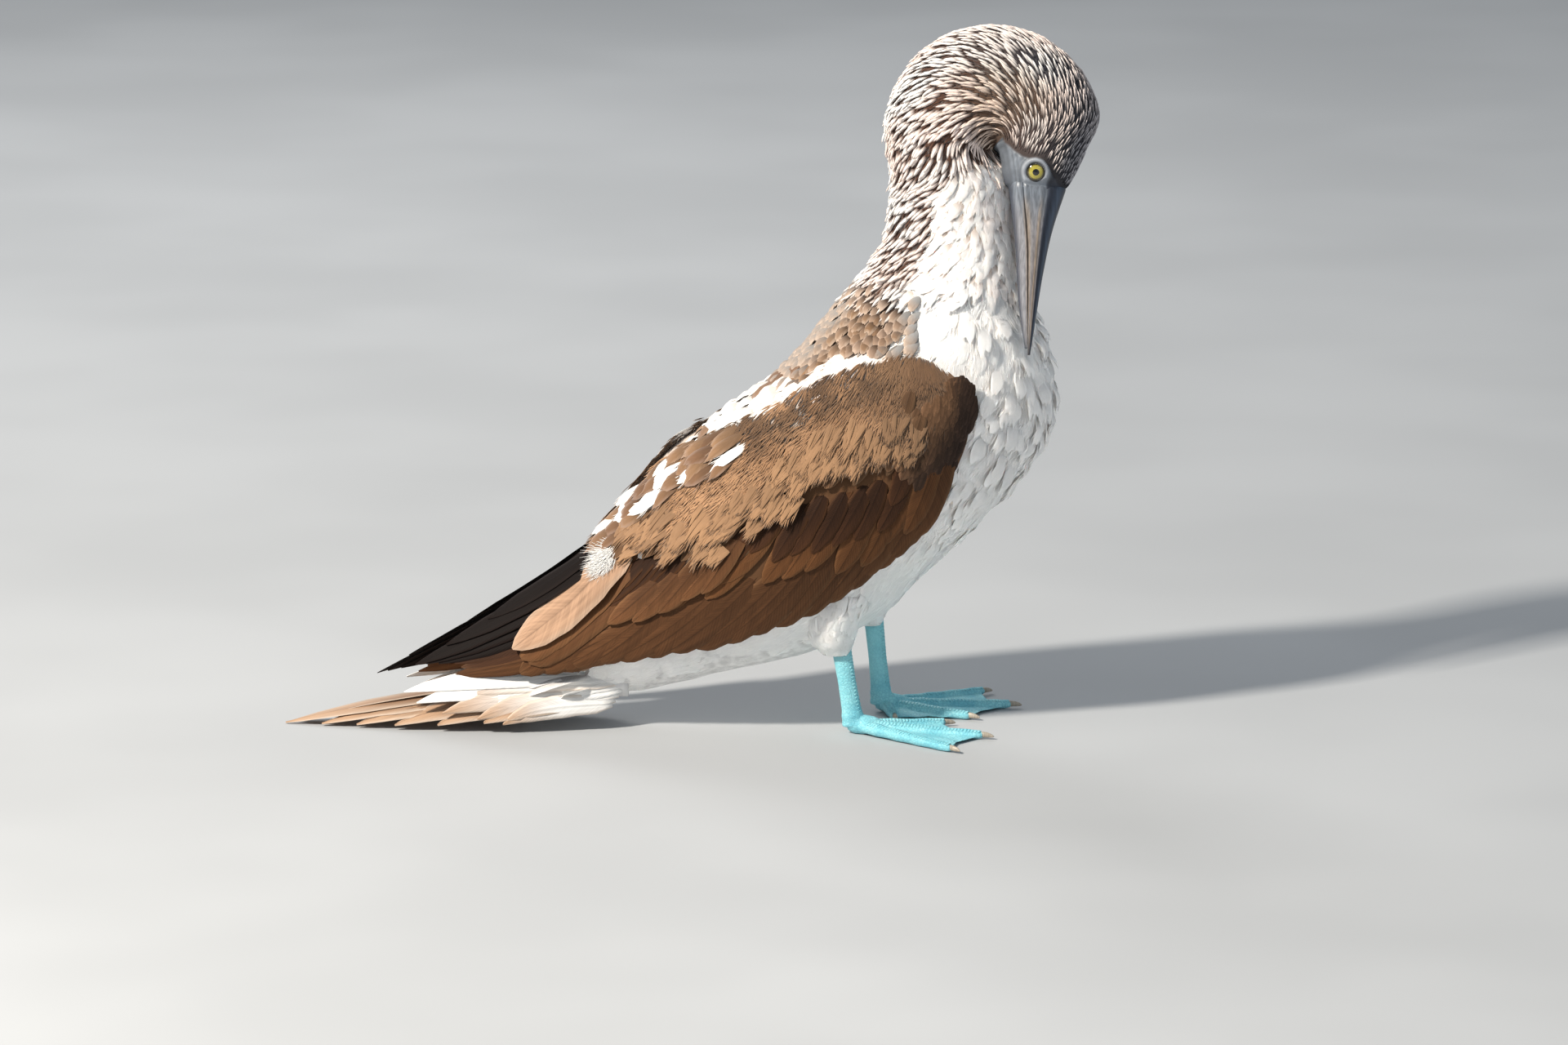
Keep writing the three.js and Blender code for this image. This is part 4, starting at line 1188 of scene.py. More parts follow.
class Skin:
    """One skin for the head, neck, torso and thighs, with the bare face and the lids."""

    columns = 176
    eye_spot = (100.6, 347.5)
    lid_radius = 7.0

    def __init__(self, thighs: list[ThighForm]) -> None:
        """Keeps the thighs that the skin takes in."""
        self.thighs = thighs

    def depth(self, a: Array, b: Array) -> Array:
        """How deep the skin lies under the solids' surface, which is the coat's depth."""
        coat = np.interp(a, [0, 3, 4.2, 6.5, 11, 15, 18, 26], [0.7, 0.9, 1.2, 2.2, 3.4, 4.4, 5, 3])
        coat = coat * (1 - MARKINGS.bare(a, b)) - 0.85 * MOUNDS.at(a, b)
        fold = MARKINGS.fold(a, b)
        return coat * (1 - fold) - 2.9 * fold

    def face_relief(self, a: Array, b: Array) -> Array:
        """Height of the lids, sockets and folds on the bare face."""
        spot = BODY_FORM.at(a, b, tilted=False)
        reach = np.hypot(spot[..., 0] - self.eye_spot[0], (spot[..., 2] - self.eye_spot[1]) * 1.04)
        bare = MARKINGS.bare(a, b)
        lid = 1.7 * np.exp(-((np.abs(reach - self.lid_radius) / 1.7) ** 3))
        rim = 0.35 * np.exp(-(((reach - 10.4) / 0.7) ** 2)) * bare
        aside, above = spot[..., 0] - self.eye_spot[0] - 0.25, spot[..., 2] - self.eye_spot[1] + 0.3
        along, over = 0.82 * aside - 0.57 * above, 0.57 * aside + 0.82 * above
        socket = -4.6 * (1 - smooth(np.hypot(along, 1.17 * over), 4.4, 5.5))
        gape = spot[..., 0] - (93 - 0.16 * (spot[..., 2] - 339))
        low = 1 - smooth(spot[..., 2], 344, 356)
        fold = -0.9 * np.exp(-((gape / 0.8) ** 2)) * bare * low
        lip = 0.5 * np.exp(-(((np.abs(gape) - 2) / 1.1) ** 2)) * bare * low
        wrinkle = 0.14 * np.sin(1.7 * reach + 0.6 * spot[..., 0]) * bare * smooth(reach, 8, 11)
        folded = face_creases(spot[..., 0], spot[..., 2]) * bare * smooth(reach, 9.5, 12)
        wrinkle = wrinkle - 0.4 * folded * smooth(spot[..., 2], 340, 346)
        return np.where(a < 4.5, lid + rim + socket + fold + lip + wrinkle, 0.0)

    def join_bill(self, rings: Array, a: Array) -> Array:
        """Draws the face's lowest rings onto the root of the bill, so that no step shows.

        Args:
            rings: Rings of the skin's points.
            a: Their places.

        Returns:
            The rings, met with the bill.
        """
        centre = 102.0
        edge = Bill.section(0.0)
        turn = np.arctan2(edge[:, 1], edge[:, 0] - centre)
        reach = np.hypot(edge[:, 1], edge[:, 0] - centre)
        order = np.argsort(turn)
        straight = Bill.lean(rings, -1.0)
        x, y = straight[..., 0] - centre, straight[..., 1]
        wanted = np.interp(np.arctan2(y, x), turn[order], reach[order], period=2 * np.pi) - 0.1
        own = np.hypot(x, y)
        scale = 1 + (wanted / np.maximum(own, 1e-6) - 1) * (1 - smooth(a, 0.0, 0.5))
        met = np.stack([x * scale + centre, y * scale, straight[..., 2]], axis=-1)
        joined = np.where((a < 0.5)[..., None], Bill.lean(met), rings)
        inside = 1 - 3.0 / own[0]
        last = np.stack([x[0] * scale[0] * inside + centre, y[0] * scale[0] * inside, straight[0, :, 2] - 4.0], axis=-1)
        return np.concatenate([Bill.lean(last)[None], joined[1:]])

    def build(self) -> bpy.types.Object:
        """Makes the skin and paints it."""
        places = np.concatenate([
            [0.0], np.linspace(0, 3.4, 68, endpoint=False), np.linspace(3.4, 15, 84, endpoint=False),
            np.linspace(15, BODY_FORM.last, 74),
        ])
        angles = np.linspace(0, 2 * np.pi, self.columns, endpoint=False)
        a, b = np.meshgrid(places, angles, indexing="ij")
        grown = self.face_relief(a, b) - self.depth(a, b)
        rings = self.join_bill(BODY_FORM.at(a, b, grown), a)
        points, faces = capped_tube(rings)
        draw = np.random.default_rng(5).random(a.shape)
        base, tip = MARKINGS.body_colours(a, b, draw)
        # Under the head's and neck's feathers the skin takes the feathers' dark bases and is painted darker still:
        # painted shade in the gaps.
        tints = blend(base * (0.6 + 0.4 * smooth(a, 12, 15))[..., None], tip, 0.04 + 0.34 * smooth(a, 8, 15))
        bare = MARKINGS.bare(a, b)
        turn = from_back(b)
        # Painted shade: the skin deep in the fold between face and neck is darkened.
        tints = blend(tints, UMBER * 0.4, smooth(turn, 150, 165) * smooth(a, 2.2, 2.8) * (1 - smooth(a, 11.8, 12.6)))
        tints = blend(tints, self.face_colours(a, b), bare)
        flat = np.vstack([tints.reshape(-1, 3), tints[0].mean(axis=0), tints[-1].mean(axis=0)])
        masks = np.concatenate([bare.ravel(), [1.0, 0.0]])
        spots = np.vstack([BODY_FORM.chart(a, b).reshape(-1, 2), (0, 0.5), (1, 0.5)])
        for thigh in self.thighs:
            ta, tb = np.meshgrid(np.linspace(0, thigh.last, 30), np.linspace(0, 2 * np.pi, 40, endpoint=False),
                                 indexing="ij")
            out = thigh.frames(ta, tb)[1]
            more, turned = capped_tube(thigh.at(ta, tb) - 3.0 * out)
            faces = np.vstack([faces, turned[:, ::-1] + len(points)])
            points = np.vstack([points, more])
            flat = np.vstack([flat, np.broadcast_to(SHADE, more.shape)])
            masks = np.concatenate([masks, np.zeros(len(more))])
            spots = np.vstack([spots, thigh.chart(ta, tb).reshape(-1, 2) * 0.2, (0, 0), (0, 0)])
        made = mesh_object("body_skin", points, faces)
        keep_tints(made, flat)
        keep_attribute(made, "bare", masks)
        keep_map(made, spots)
        made.data.materials.append(SkinFinish().build())
        return made

    def face_colours(self, a: Array, b: Array) -> Array:
        """Colours of the bare face: slate, a pale ring round the eye, dark lores that are partly painted shade, and
        painted shade in its creases, round the lid and by the throat fold.
        """
        spot = BODY_FORM.at(a, b, tilted=False)
        x, z = spot[..., 0], spot[..., 2]
        reach = np.hypot(x - self.eye_spot[0], z - self.eye_spot[1])
        colour = blend(np.broadcast_to(SLATE, spot.shape), SLATE * 0.72,
                       np.clip(0.5 + 0.6 * ripple(x, spot[..., 1], z, 3.0), 0, 1))
        colour = blend(colour, Bill.bands_at(x, np.zeros_like(x)), 1 - smooth(z, 339.5, 355))
        # Painted shade: the face is darker in its upright creases.
        colour = blend(colour, SLATE * 0.42, 0.75 * face_creases(x, z) * smooth(reach, 9.0, 11.0))
        # Painted shade: the face darkens along its edge by the fold at the throat.
        colour = blend(colour, SLATE * 0.4, 0.7 * (1 - smooth(x + 0.12 * (z - 340), 84, 89)))
        # Dark navy lores towards the bill's ridge: partly the skin's own dark blue-grey, partly painted shade on the
        # side turned from the light.
        colour = blend(colour, NAVY, smooth(x - 0.35 * (z - 339), 106.5, 109.5) * 0.95)
        ring = np.exp(-((np.abs(reach - 7.2) / 2.0) ** 3)) * smooth(z, 339, 344) * (1 - 0.5 * smooth(x, 102, 107))
        colour = blend(colour, paint(0.64, 0.66, 0.69), 0.9 * ring)
        # Painted shade: a darker line in the groove round the lid.
        colour = blend(colour, SLATE * 0.45, 0.5 * np.exp(-(((reach - 9.4) / 0.7) ** 2)) * smooth(z, 340, 346))
        return blend(colour, paint(0.10, 0.09, 0.10), np.exp(-(((reach - 5.2) / 0.6) ** 2)))


class BodyCoat:
    """The small feathers of the head, neck, breast and back."""

    stripe_line = np.radians([287, 292, 302, 310, 318, 327, 329, 334, 338])
    stripe_places = (16.45, 16.5, 16.6, 16.95, 17.28, 17.77, 18.29, 18.61, 19.2)

    def __init__(self, seed: int = 11) -> None:
        """Starts the source of chance."""
        self.rng = np.random.default_rng(seed)
        self.ground = Sunk(BODY_FORM, self.sunk_height)

    def roots(self, start: float, end: float, row: tuple[tuple, tuple], column: tuple[tuple, tuple]
              ) -> tuple[Array, Array]:
        """Roots in staggered rows over a stretch of the body.

        Args:
            start: First place.
            end: Last place.
            row: Places, and the millimetres between rows along the back at them.
            column: Places, and the millimetres between roots in a row at them.

        Returns:
            The places and the angles of the roots.
        """
        rows_a, rows_b = [], []
        place, turn = start, 0
        while place < end:
            row_gap, column_gap = np.interp(place, *row), np.interp(place, *column)
            ring = BODY_FORM.at(np.full(73, place), np.linspace(0, 2 * np.pi, 73))
            steps = np.linalg.norm(np.diff(ring, axis=0), axis=1)
            count = max(8, int(steps.sum() / column_gap))
            travelled = np.concatenate([[0], np.cumsum(steps)]) / steps.sum()
            share = (np.arange(count) + 0.5 * (turn % 2) + self.rng.uniform(-0.3, 0.3, count)) / count
            angle = np.interp(np.mod(share, 1), travelled, np.linspace(0, 2 * np.pi, 73))
            spots = np.full(count, place)
            _, _, along, _ = BODY_FORM.frames(spots, angle)
            speed = np.linalg.norm(along, axis=-1)
            thinned = self.rng.random(count) < np.clip(speed / speed.max(), 0, 1) ** 0.8
            jitter = self.rng.uniform(-0.35, 0.35, count) * row_gap / np.maximum(speed, 6)
            rows_a.append((spots + jitter)[thinned])
            rows_b.append(angle[thinned])
            place += row_gap / speed.max()
            turn += 1
        return np.concatenate(rows_a), np.concatenate(rows_b)

    def sunk_height(self, a: Array, b: Array) -> Array:
        """How deep under the solids' surface the roots sit."""
        coat = np.interp(a, [0, 3, 4.2, 6.5, 11, 15, 18, 26], [0.8, 1.0, 1.4, 2.4, 3.6, 4.6, 4.6, 3.4])
        fold = MARKINGS.fold(a, b)
        return (coat - MOUNDS.at(a, b)) * (1 - fold) - 2.6 * fold

    def streaks(self, coat: Coat) -> None:
        """The head's and neck's narrow pointed feathers with pale tips over dark bases."""
        knots = (0, 3, 5, 8, 11, 15)
        gaps = {
            "under": ((knots, (2.4, 2.8, 3.2, 4.0, 4.6, 5.0)), (knots, (1.4, 1.6, 1.8, 2.2, 2.5, 3.0))),
            "over": ((knots, (3.4, 4.6, 5.4, 5.8, 6.2, 6.4)), (knots, (1.8, 2.3, 2.8, 3.1, 3.4, 3.8))),
        }
        for layer, (row, column) in gaps.items():
            a, b = self.roots(0.1, 15.4, row, column)
            shown = 0.25 + 0.5 * self.rng.random(len(a))
            keep = (MARKINGS.bare(a, b) < 0.35) & (MARKINGS.streaked(a, b) > shown)
            keep &= (from_back(b) < 176) | (a < 3) | (a > 11.5)
            a, b = a[keep], b[keep]
            count = len(a)
            base, tip = MARKINGS.body_colours(a, b, self.rng.random(count))
            length = np.interp(a, knots, [5.6, 10.4, 12.4, 13.2, 13.5, 12.5]) * self.rng.uniform(0.85, 1.15, count)
            half = np.interp(a, knots, [0.46, 0.7, 1.0, 1.3, 1.5, 1.6]) * self.rng.uniform(0.8, 1.15, count)
            lift = np.interp(a, knots, [0.4, 0.9, 1.6, 2.7, 3.1, 3.1]) * self.rng.uniform(0.6, 1.35, count)
            lift = lift * np.where(self.rng.random(count) < 0.12 * smooth(a, 7, 9), 1.5, 1.0)
            start = np.interp(a, knots, [0.4, 0.42, 0.38, 0.28, 0.22, 0.16])
            if layer == "under":
                tip, lift, length = base * 1.1, lift * 0.25, length * 0.75
            lie = MARKINGS.lie(a, b) + self.rng.normal(0, 0.12, count) * np.interp(a, [2, 8], [0.4, 1])
            tuft = Tuft(a, b, lie, length, half, lift, np.zeros(count), base, tip, (start, start + 0.24))
            grow(self.ground, tuft, HAIR if layer == "under" else TUFT, coat, self.rng)

    def down(self, coat: Coat, start: float, end: float, barbs: int = 7) -> None:
        """The soft white feathers of the foreneck, breast and belly.

        Args:
            coat: Where they are kept.
            start: The place where they begin.
            end: The place where they end.
            barbs: How many barbs each loose tuft has.
        """
        a, b = self.roots(start, end, ((9, 14, 26), (5.4, 6.8, 7.6)), ((9, 14, 26), (4.8, 6.2, 7.0)))
        white = 1 - MARKINGS.streaked(a, b) * (a < 16.4)
        front = from_back(b) > np.interp(a, [9, 16, 18, 22, 26], [0, 62, 64, 60, 56])
        keep = (white > 0.3) & front & ((from_back(b) < 172) | (a > 11.5))
        a, b = a[keep], b[keep]
        count = len(a)
        base, tip = MARKINGS.body_colours(a, b, self.rng.random(count))
        length = np.interp(a, [9, 13, 17, 26], [11, 15, 17, 19]) * self.rng.uniform(0.85, 1.15, count)
        half = np.interp(a, [9, 13, 26], [3.2, 5.0, 6.0]) * self.rng.uniform(0.85, 1.15, count)
        loose = (self.rng.random(count) < 0.16) * smooth(a, 12, 14) * (1 - smooth(a, 19, 21))
        loose = loose * smooth(from_back(b) - np.interp(a, [14, 16], [60, 108]), 0, 20)
        lift = self.rng.uniform(0.5, 0.9, count) * np.interp(a, [9, 13], [0.6, 1]) + 3.2 * loose
        lie = MARKINGS.lie(a, b) + self.rng.normal(0, 0.13, count)
        base = base * (1 - 0.12 * self.rng.random((count, 1)))
        lay_sheets(self.ground, Sheets(a, b, lie, length, half, lift, base, tip, tip, -0.2, 0.05, 0.2, hairs=2,
                                       turning=(0.0, 0.5)), coat, self.rng)
        grow_fans(self.ground, Plume(a, b, lie + self.rng.normal(0, 0.1, count), length * 1.1, lift + 0.8, base, tip,
                                     barbs, half * 2.0, 0.3, 0.25, 0.42, (0.0, 0.4), -0.5), coat, self.rng)

    def throat(self, coat: Coat) -> None:
        """The long white tufts of the throat and foreneck, tan at their roots, partly their own colour and partly
        painted shade between the tufts.
        """
        a, b = self.roots(9.0, 14.6, ((9, 15), (6.2, 7.4)), ((9, 15), (4.0, 5.6)))
        shown = 0.3 + 0.5 * self.rng.random(len(a))
        keep = (MARKINGS.streaked(a, b) < shown) & (from_back(b) < 177)
        keep &= self.rng.random(len(a)) > smooth(a, 13, 14.8)
        a, b = a[keep], b[keep]
        count = len(a)
        half = np.interp(a, [9, 14.6], [2.0, 3.6]) * self.rng.uniform(0.8, 1.2, count)
        # The tan roots are partly painted shade between the white tufts.
        base = np.broadcast_to(paint(0.72, 0.62, 0.54), (count, 3)) * self.rng.uniform(0.85, 1.1, (count, 1))
        tip = blend(np.broadcast_to(WHITE, (count, 3)), ROSY, 0.4 * self.rng.random(count))
        lie = MARKINGS.lie(a, b) + self.rng.normal(0, 0.15, count)
        lay_sheets(self.ground, Sheets(a, b, lie, self.rng.uniform(12, 18, count), half,
                                       self.rng.uniform(1.6, 3.2, count), base, tip, tip, -0.8, 0.22, 0.2,
                                       turning=(0.1, 0.5), hairs=4), coat, self.rng)

    def mantle(self, coat: Coat) -> None:
        """The curled tan feathers with pale tips between neck and back."""
        a, b = self.roots(14.3, 17.3, ((14, 18), (5.6, 6.8)), ((14, 18), (4.8, 6.2)))
        turn = from_back(b)
        keep = (turn < 78 - 8 * smooth(a, 16, 17.5)) & (MARKINGS.mantle(a) > self.rng.random(len(a)) * 0.8)
        a, b = a[keep], b[keep]
        count = len(a)
        base, tip = MARKINGS.body_colours(a, b, self.rng.random(count))
        lie = MARKINGS.lie(a, b) + self.rng.normal(0, 0.2, count)
        length = np.interp(a, [14.3, 17.3], [11, 15]) * self.rng.uniform(0.85, 1.15, count)
        half = np.interp(a, [14.3, 17.3], [3.0, 4.4]) * self.rng.uniform(0.85, 1.15, count)
        tip = blend(tip, TAN * 0.8, np.full(count, 0.78))
        rim = blend(tip, paint(0.93, 0.84, 0.76), np.full(count, 0.6))
        lay_sheets(self.ground, Sheets(a, b, lie, length, half, self.rng.uniform(2.4, 4.0, count), base * 0.4, tip, rim,
                                       -1.6, 0.4, 0.1, turning=(0.3, 0.8), rimmed=0.85, hairs=3), coat, self.rng)

    def back(self, coat: Coat) -> None:
        """The broad brown and white feathers of the back."""
        a, b = self.roots(16.6, 25.6, ((16, 26), (10, 13)), ((16, 26), (8.5, 10)))
        turn = from_back(b)
        keep = turn < np.interp(a, [16.6, 18, 22, 25.6], [56, 66, 66, 62])
        a, b = a[keep], b[keep]
        count = len(a)
        chance = self.rng.random(count)
        length = np.interp(a, [16.6, 20, 25.6], [20, 28, 30]) * self.rng.uniform(0.9, 1.15, count)
        lie = MARKINGS.lie(a, b) + self.rng.normal(0, 0.1, count)
        reached = BODY_FORM.at(*self.ground.walk(a, b, lie, 0.75 * length, np.zeros(count)))
        white = ((chance < 0.4) & (a < 23.5)) | (a > 24.6) | (MARKINGS.stripe(reached) > 0.3)
        brown = blend(np.broadcast_to(TAN, (count, 3)), BROWN, self.rng.random(count))
        tip = blend(brown, WHITE, 0.92 * white)
        base = blend(brown * 0.8, WHITE, 0.5 * white)
        rim = blend(brown * 1.2, WHITE, np.clip(0.16 + white, 0, 1))
        half = np.interp(a, [16.6, 20, 25.6], [5.6, 8, 8]) * self.rng.uniform(0.85, 1.1, count)
        raised = smooth(a, 16.8, 18.4) * (1 - smooth(a, 22.5, 24.5)) * (1 - smooth(from_back(b), 24, 44))
        lift = self.rng.uniform(1.8, 3.2, count) + 8.5 * raised
        lay_sheets(self.ground, Sheets(a, b, lie, length, half, lift, base, tip, rim, -0.5, 0.14, 0.06,
                                       turning=(0.35, 0.8), rimmed=0.7, hairs=3), coat, self.rng, LITTLE)
        a, b = self.roots(16.2, 25.9, ((16, 26), (5.5, 6)), ((16, 26), (5, 5.5)))
        keep = from_back(b) < 70
        a, b = a[keep], b[keep]
        base, tip = MARKINGS.body_colours(a, b, self.rng.random(len(a)))
        lie = MARKINGS.lie(a, b) + self.rng.normal(0, 0.2, len(a))
        grow_fans(self.ground, Plume(a, b, lie, self.rng.uniform(11, 14, len(a)), self.rng.uniform(0.4, 1.0, len(a)),
                                     base * 0.8, tip * 0.9, 5, 5.0, 0.4, 0.3, 1.0), coat, self.rng)

    def stripe(self, coat: Coat) -> None:
        """The fluffy white stripe along the top edge of each wing."""
        share = self.rng.random(340)
        knots = np.linspace(0, 1, len(self.stripe_places))
        a = np.interp(share, knots, self.stripe_places)
        edge = np.interp(share, knots, self.stripe_line)
        for mirror in (1, -1):
            b = edge * mirror
            away = self.rng.uniform(-1, 17, len(a)) * (1 - 0.3 * share)
            _, _, _, across = BODY_FORM.frames(a, b)
            step = away / np.linalg.norm(across, axis=-1)
            b = b + mirror * step
            count = len(a)
            tip = blend(np.broadcast_to(WHITE, (count, 3)), ROSY * 0.94, self.rng.uniform(0.2, 1.0, count))
            lie = mirror * self.rng.normal(0.1, 0.22, count)
            lay_sheets(self.ground, Sheets(a, b, lie, self.rng.uniform(14, 20, count),
                                           self.rng.uniform(3.0, 4.6, count), self.rng.uniform(4.4, 6.6, count),
                                           tip * 0.84, tip * 0.95, tip * 0.95, -0.4, 0.16, 0.25, hairs=6),
                       coat, self.rng, LITTLE)


class Sunk(Surface):
    """A surface lowered by a depth, for feathers that root under it."""

    def __init__(self, outer: Surface, depth: object) -> None:
        """Keeps the outer surface and the depth's function."""
        self.outer, self.depth, self.sign = outer, depth, outer.sign

    def at(self, a: Array, b: Array) -> Array:
        """Points of the lowered surface."""
        return self.outer.at(a, b)

    def frames(self, a: Array, b: Array) -> tuple[Array, Array, Array, Array]:
        """Frames of the outer surface with the points lowered."""
        point, out, along, across = self.outer.frames(a, b)
        return point - out * self.depth(a, b)[..., None], out, along, across

    def chart(self, a: Array, b: Array) -> Array:
        """The outer surface's map."""
        return self.outer.chart(a, b)


@dataclass
class Vanes:
    """Sizes and colours of a batch of vanes, whose tips are at the places given."""

    a: Array
    b: Array
    length: Array
    half: Array
    lift: Array
    lean: Array
    base: Array
    tip: Array
    edge: Array
    turn: Array
    root_sunk: float = 1.5
    rise: float = 1.0
    thickness: float = 0.34
    ragged: float = 0.1
    camber: float = 0.05
    toward: Array | None = None


def lay_vanes(wing: WingForm, vanes: Vanes, shape: VaneShape, coat: Coat, rng: np.random.Generator) -> None:
    """Lays vanes over a wing, bent to its surface, and adds them to a coat.

    Args:
        wing: The wing that they lie on.
        vanes: Their places, sizes and colours.
        shape: Their outline.
        coat: Where they are kept.
        rng: The seeded source of chance.
    """
    shares, widths, columns = shape.shares(), shape.widths(), np.array(shape.columns)
    count, rows, wide = len(vanes.a), len(shares), len(columns)
    a, b = vanes.a.astype(float), vanes.b.astype(float)

    def heading(p: Array, q: Array) -> Array:
        """The way that the vanes run at some places."""
        return wing.way(p, q, vanes.turn) if vanes.toward is None else wing.way_to(p, q, vanes.toward)

    centres = [None] * rows
    for r in range(rows - 1, -1, -1):
        centres[r] = (a, b)
        if r:
            step = -vanes.length * (shares[r] - shares[r - 1])
            a, b = wing.walk(a, b, heading(a, b), step, np.zeros(count))
    notch = np.where(rng.random((count, rows, 2)) < 0.22, rng.uniform(0.4, 1.0, (count, rows, 2)), 0.0)
    notch *= vanes.ragged * smooth(shares, 0.15, 0.5)[None, :, None]
    top = np.zeros((count, rows, wide, 3))
    under, outs = np.zeros_like(top), np.zeros_like(top)
    for r in range(rows):
        a, b = centres[r]
        way = heading(a, b)
        grown = float(smooth(shares[r], 0.0, 0.25))
        level = wing.core_height(a, b)
        height = level + (1 - grown) * -vanes.root_sunk + grown * (vanes.lift - vanes.rise * (1 - shares[r]))
        for c, column in enumerate(columns):
            cut = 1 - notch[:, r, 0 if column < 0 else 1] * (abs(column) == 1)
            reach = vanes.half * widths[r] * column * cut
            sa, sb = wing.walk(a, b, way, np.zeros(count), -reach * wing.side.value)
            point, out, _, _ = wing.frames(sa, sb)
            ridge = 0.35 * (abs(column) < 0.05) * (1 - 0.7 * shares[r])
            camber = vanes.camber * vanes.half * (1 - column * column) * widths[r]
            high = height + vanes.lean * column * grown * widths[r] + camber
            thick = vanes.thickness * (1 - 0.5 * abs(column))
            top[:, r, c] = point + out * (high + ridge + thick / 2)[:, None]
            under[:, r, c] = point + out * (high - thick / 2)[:, None]
            outs[:, r, c] = out
    points = np.concatenate([top.reshape(count, -1, 3), under.reshape(count, -1, 3)], axis=1)
    share = np.tile(np.repeat(shares, wide), 2)
    side = np.tile(np.tile(columns, rows), 2)
    mix = smooth(share, 0.35, 0.95)[None, :]
    tints = blend(np.broadcast_to(vanes.base[:, None], points.shape), vanes.tip[:, None], mix)
    rim = np.maximum(smooth(np.abs(side), 0.6, 1.0), smooth(share, 0.93, 1.0))[None, :] * np.ones((count, 1))
    tints = blend(tints, np.broadcast_to(vanes.edge[:, None], points.shape), 0.45 * rim)
    shaft = (np.abs(side) < 0.05)[None, :] * np.ones((count, 1))
    tints = blend(tints, np.broadcast_to((vanes.base * 0.55)[:, None], points.shape), 0.7 * shaft)
    chance = np.repeat(rng.random(count)[:, None], len(share), axis=1)
    strands = np.stack([np.broadcast_to(share, chance.shape), np.broadcast_to(side, chance.shape), chance], axis=-1)
    patch = np.stack([share - 0.5, side * 0.5], axis=-1) * 0.003
    middle = centres[rows // 3]
    spots = wing.chart(*middle)[:, None] + patch[None]
    ways = outs.reshape(count, -1, 3)
    coat.add(points, shape.faces(), tints, strands, spots, np.concatenate([ways, -ways], axis=1))


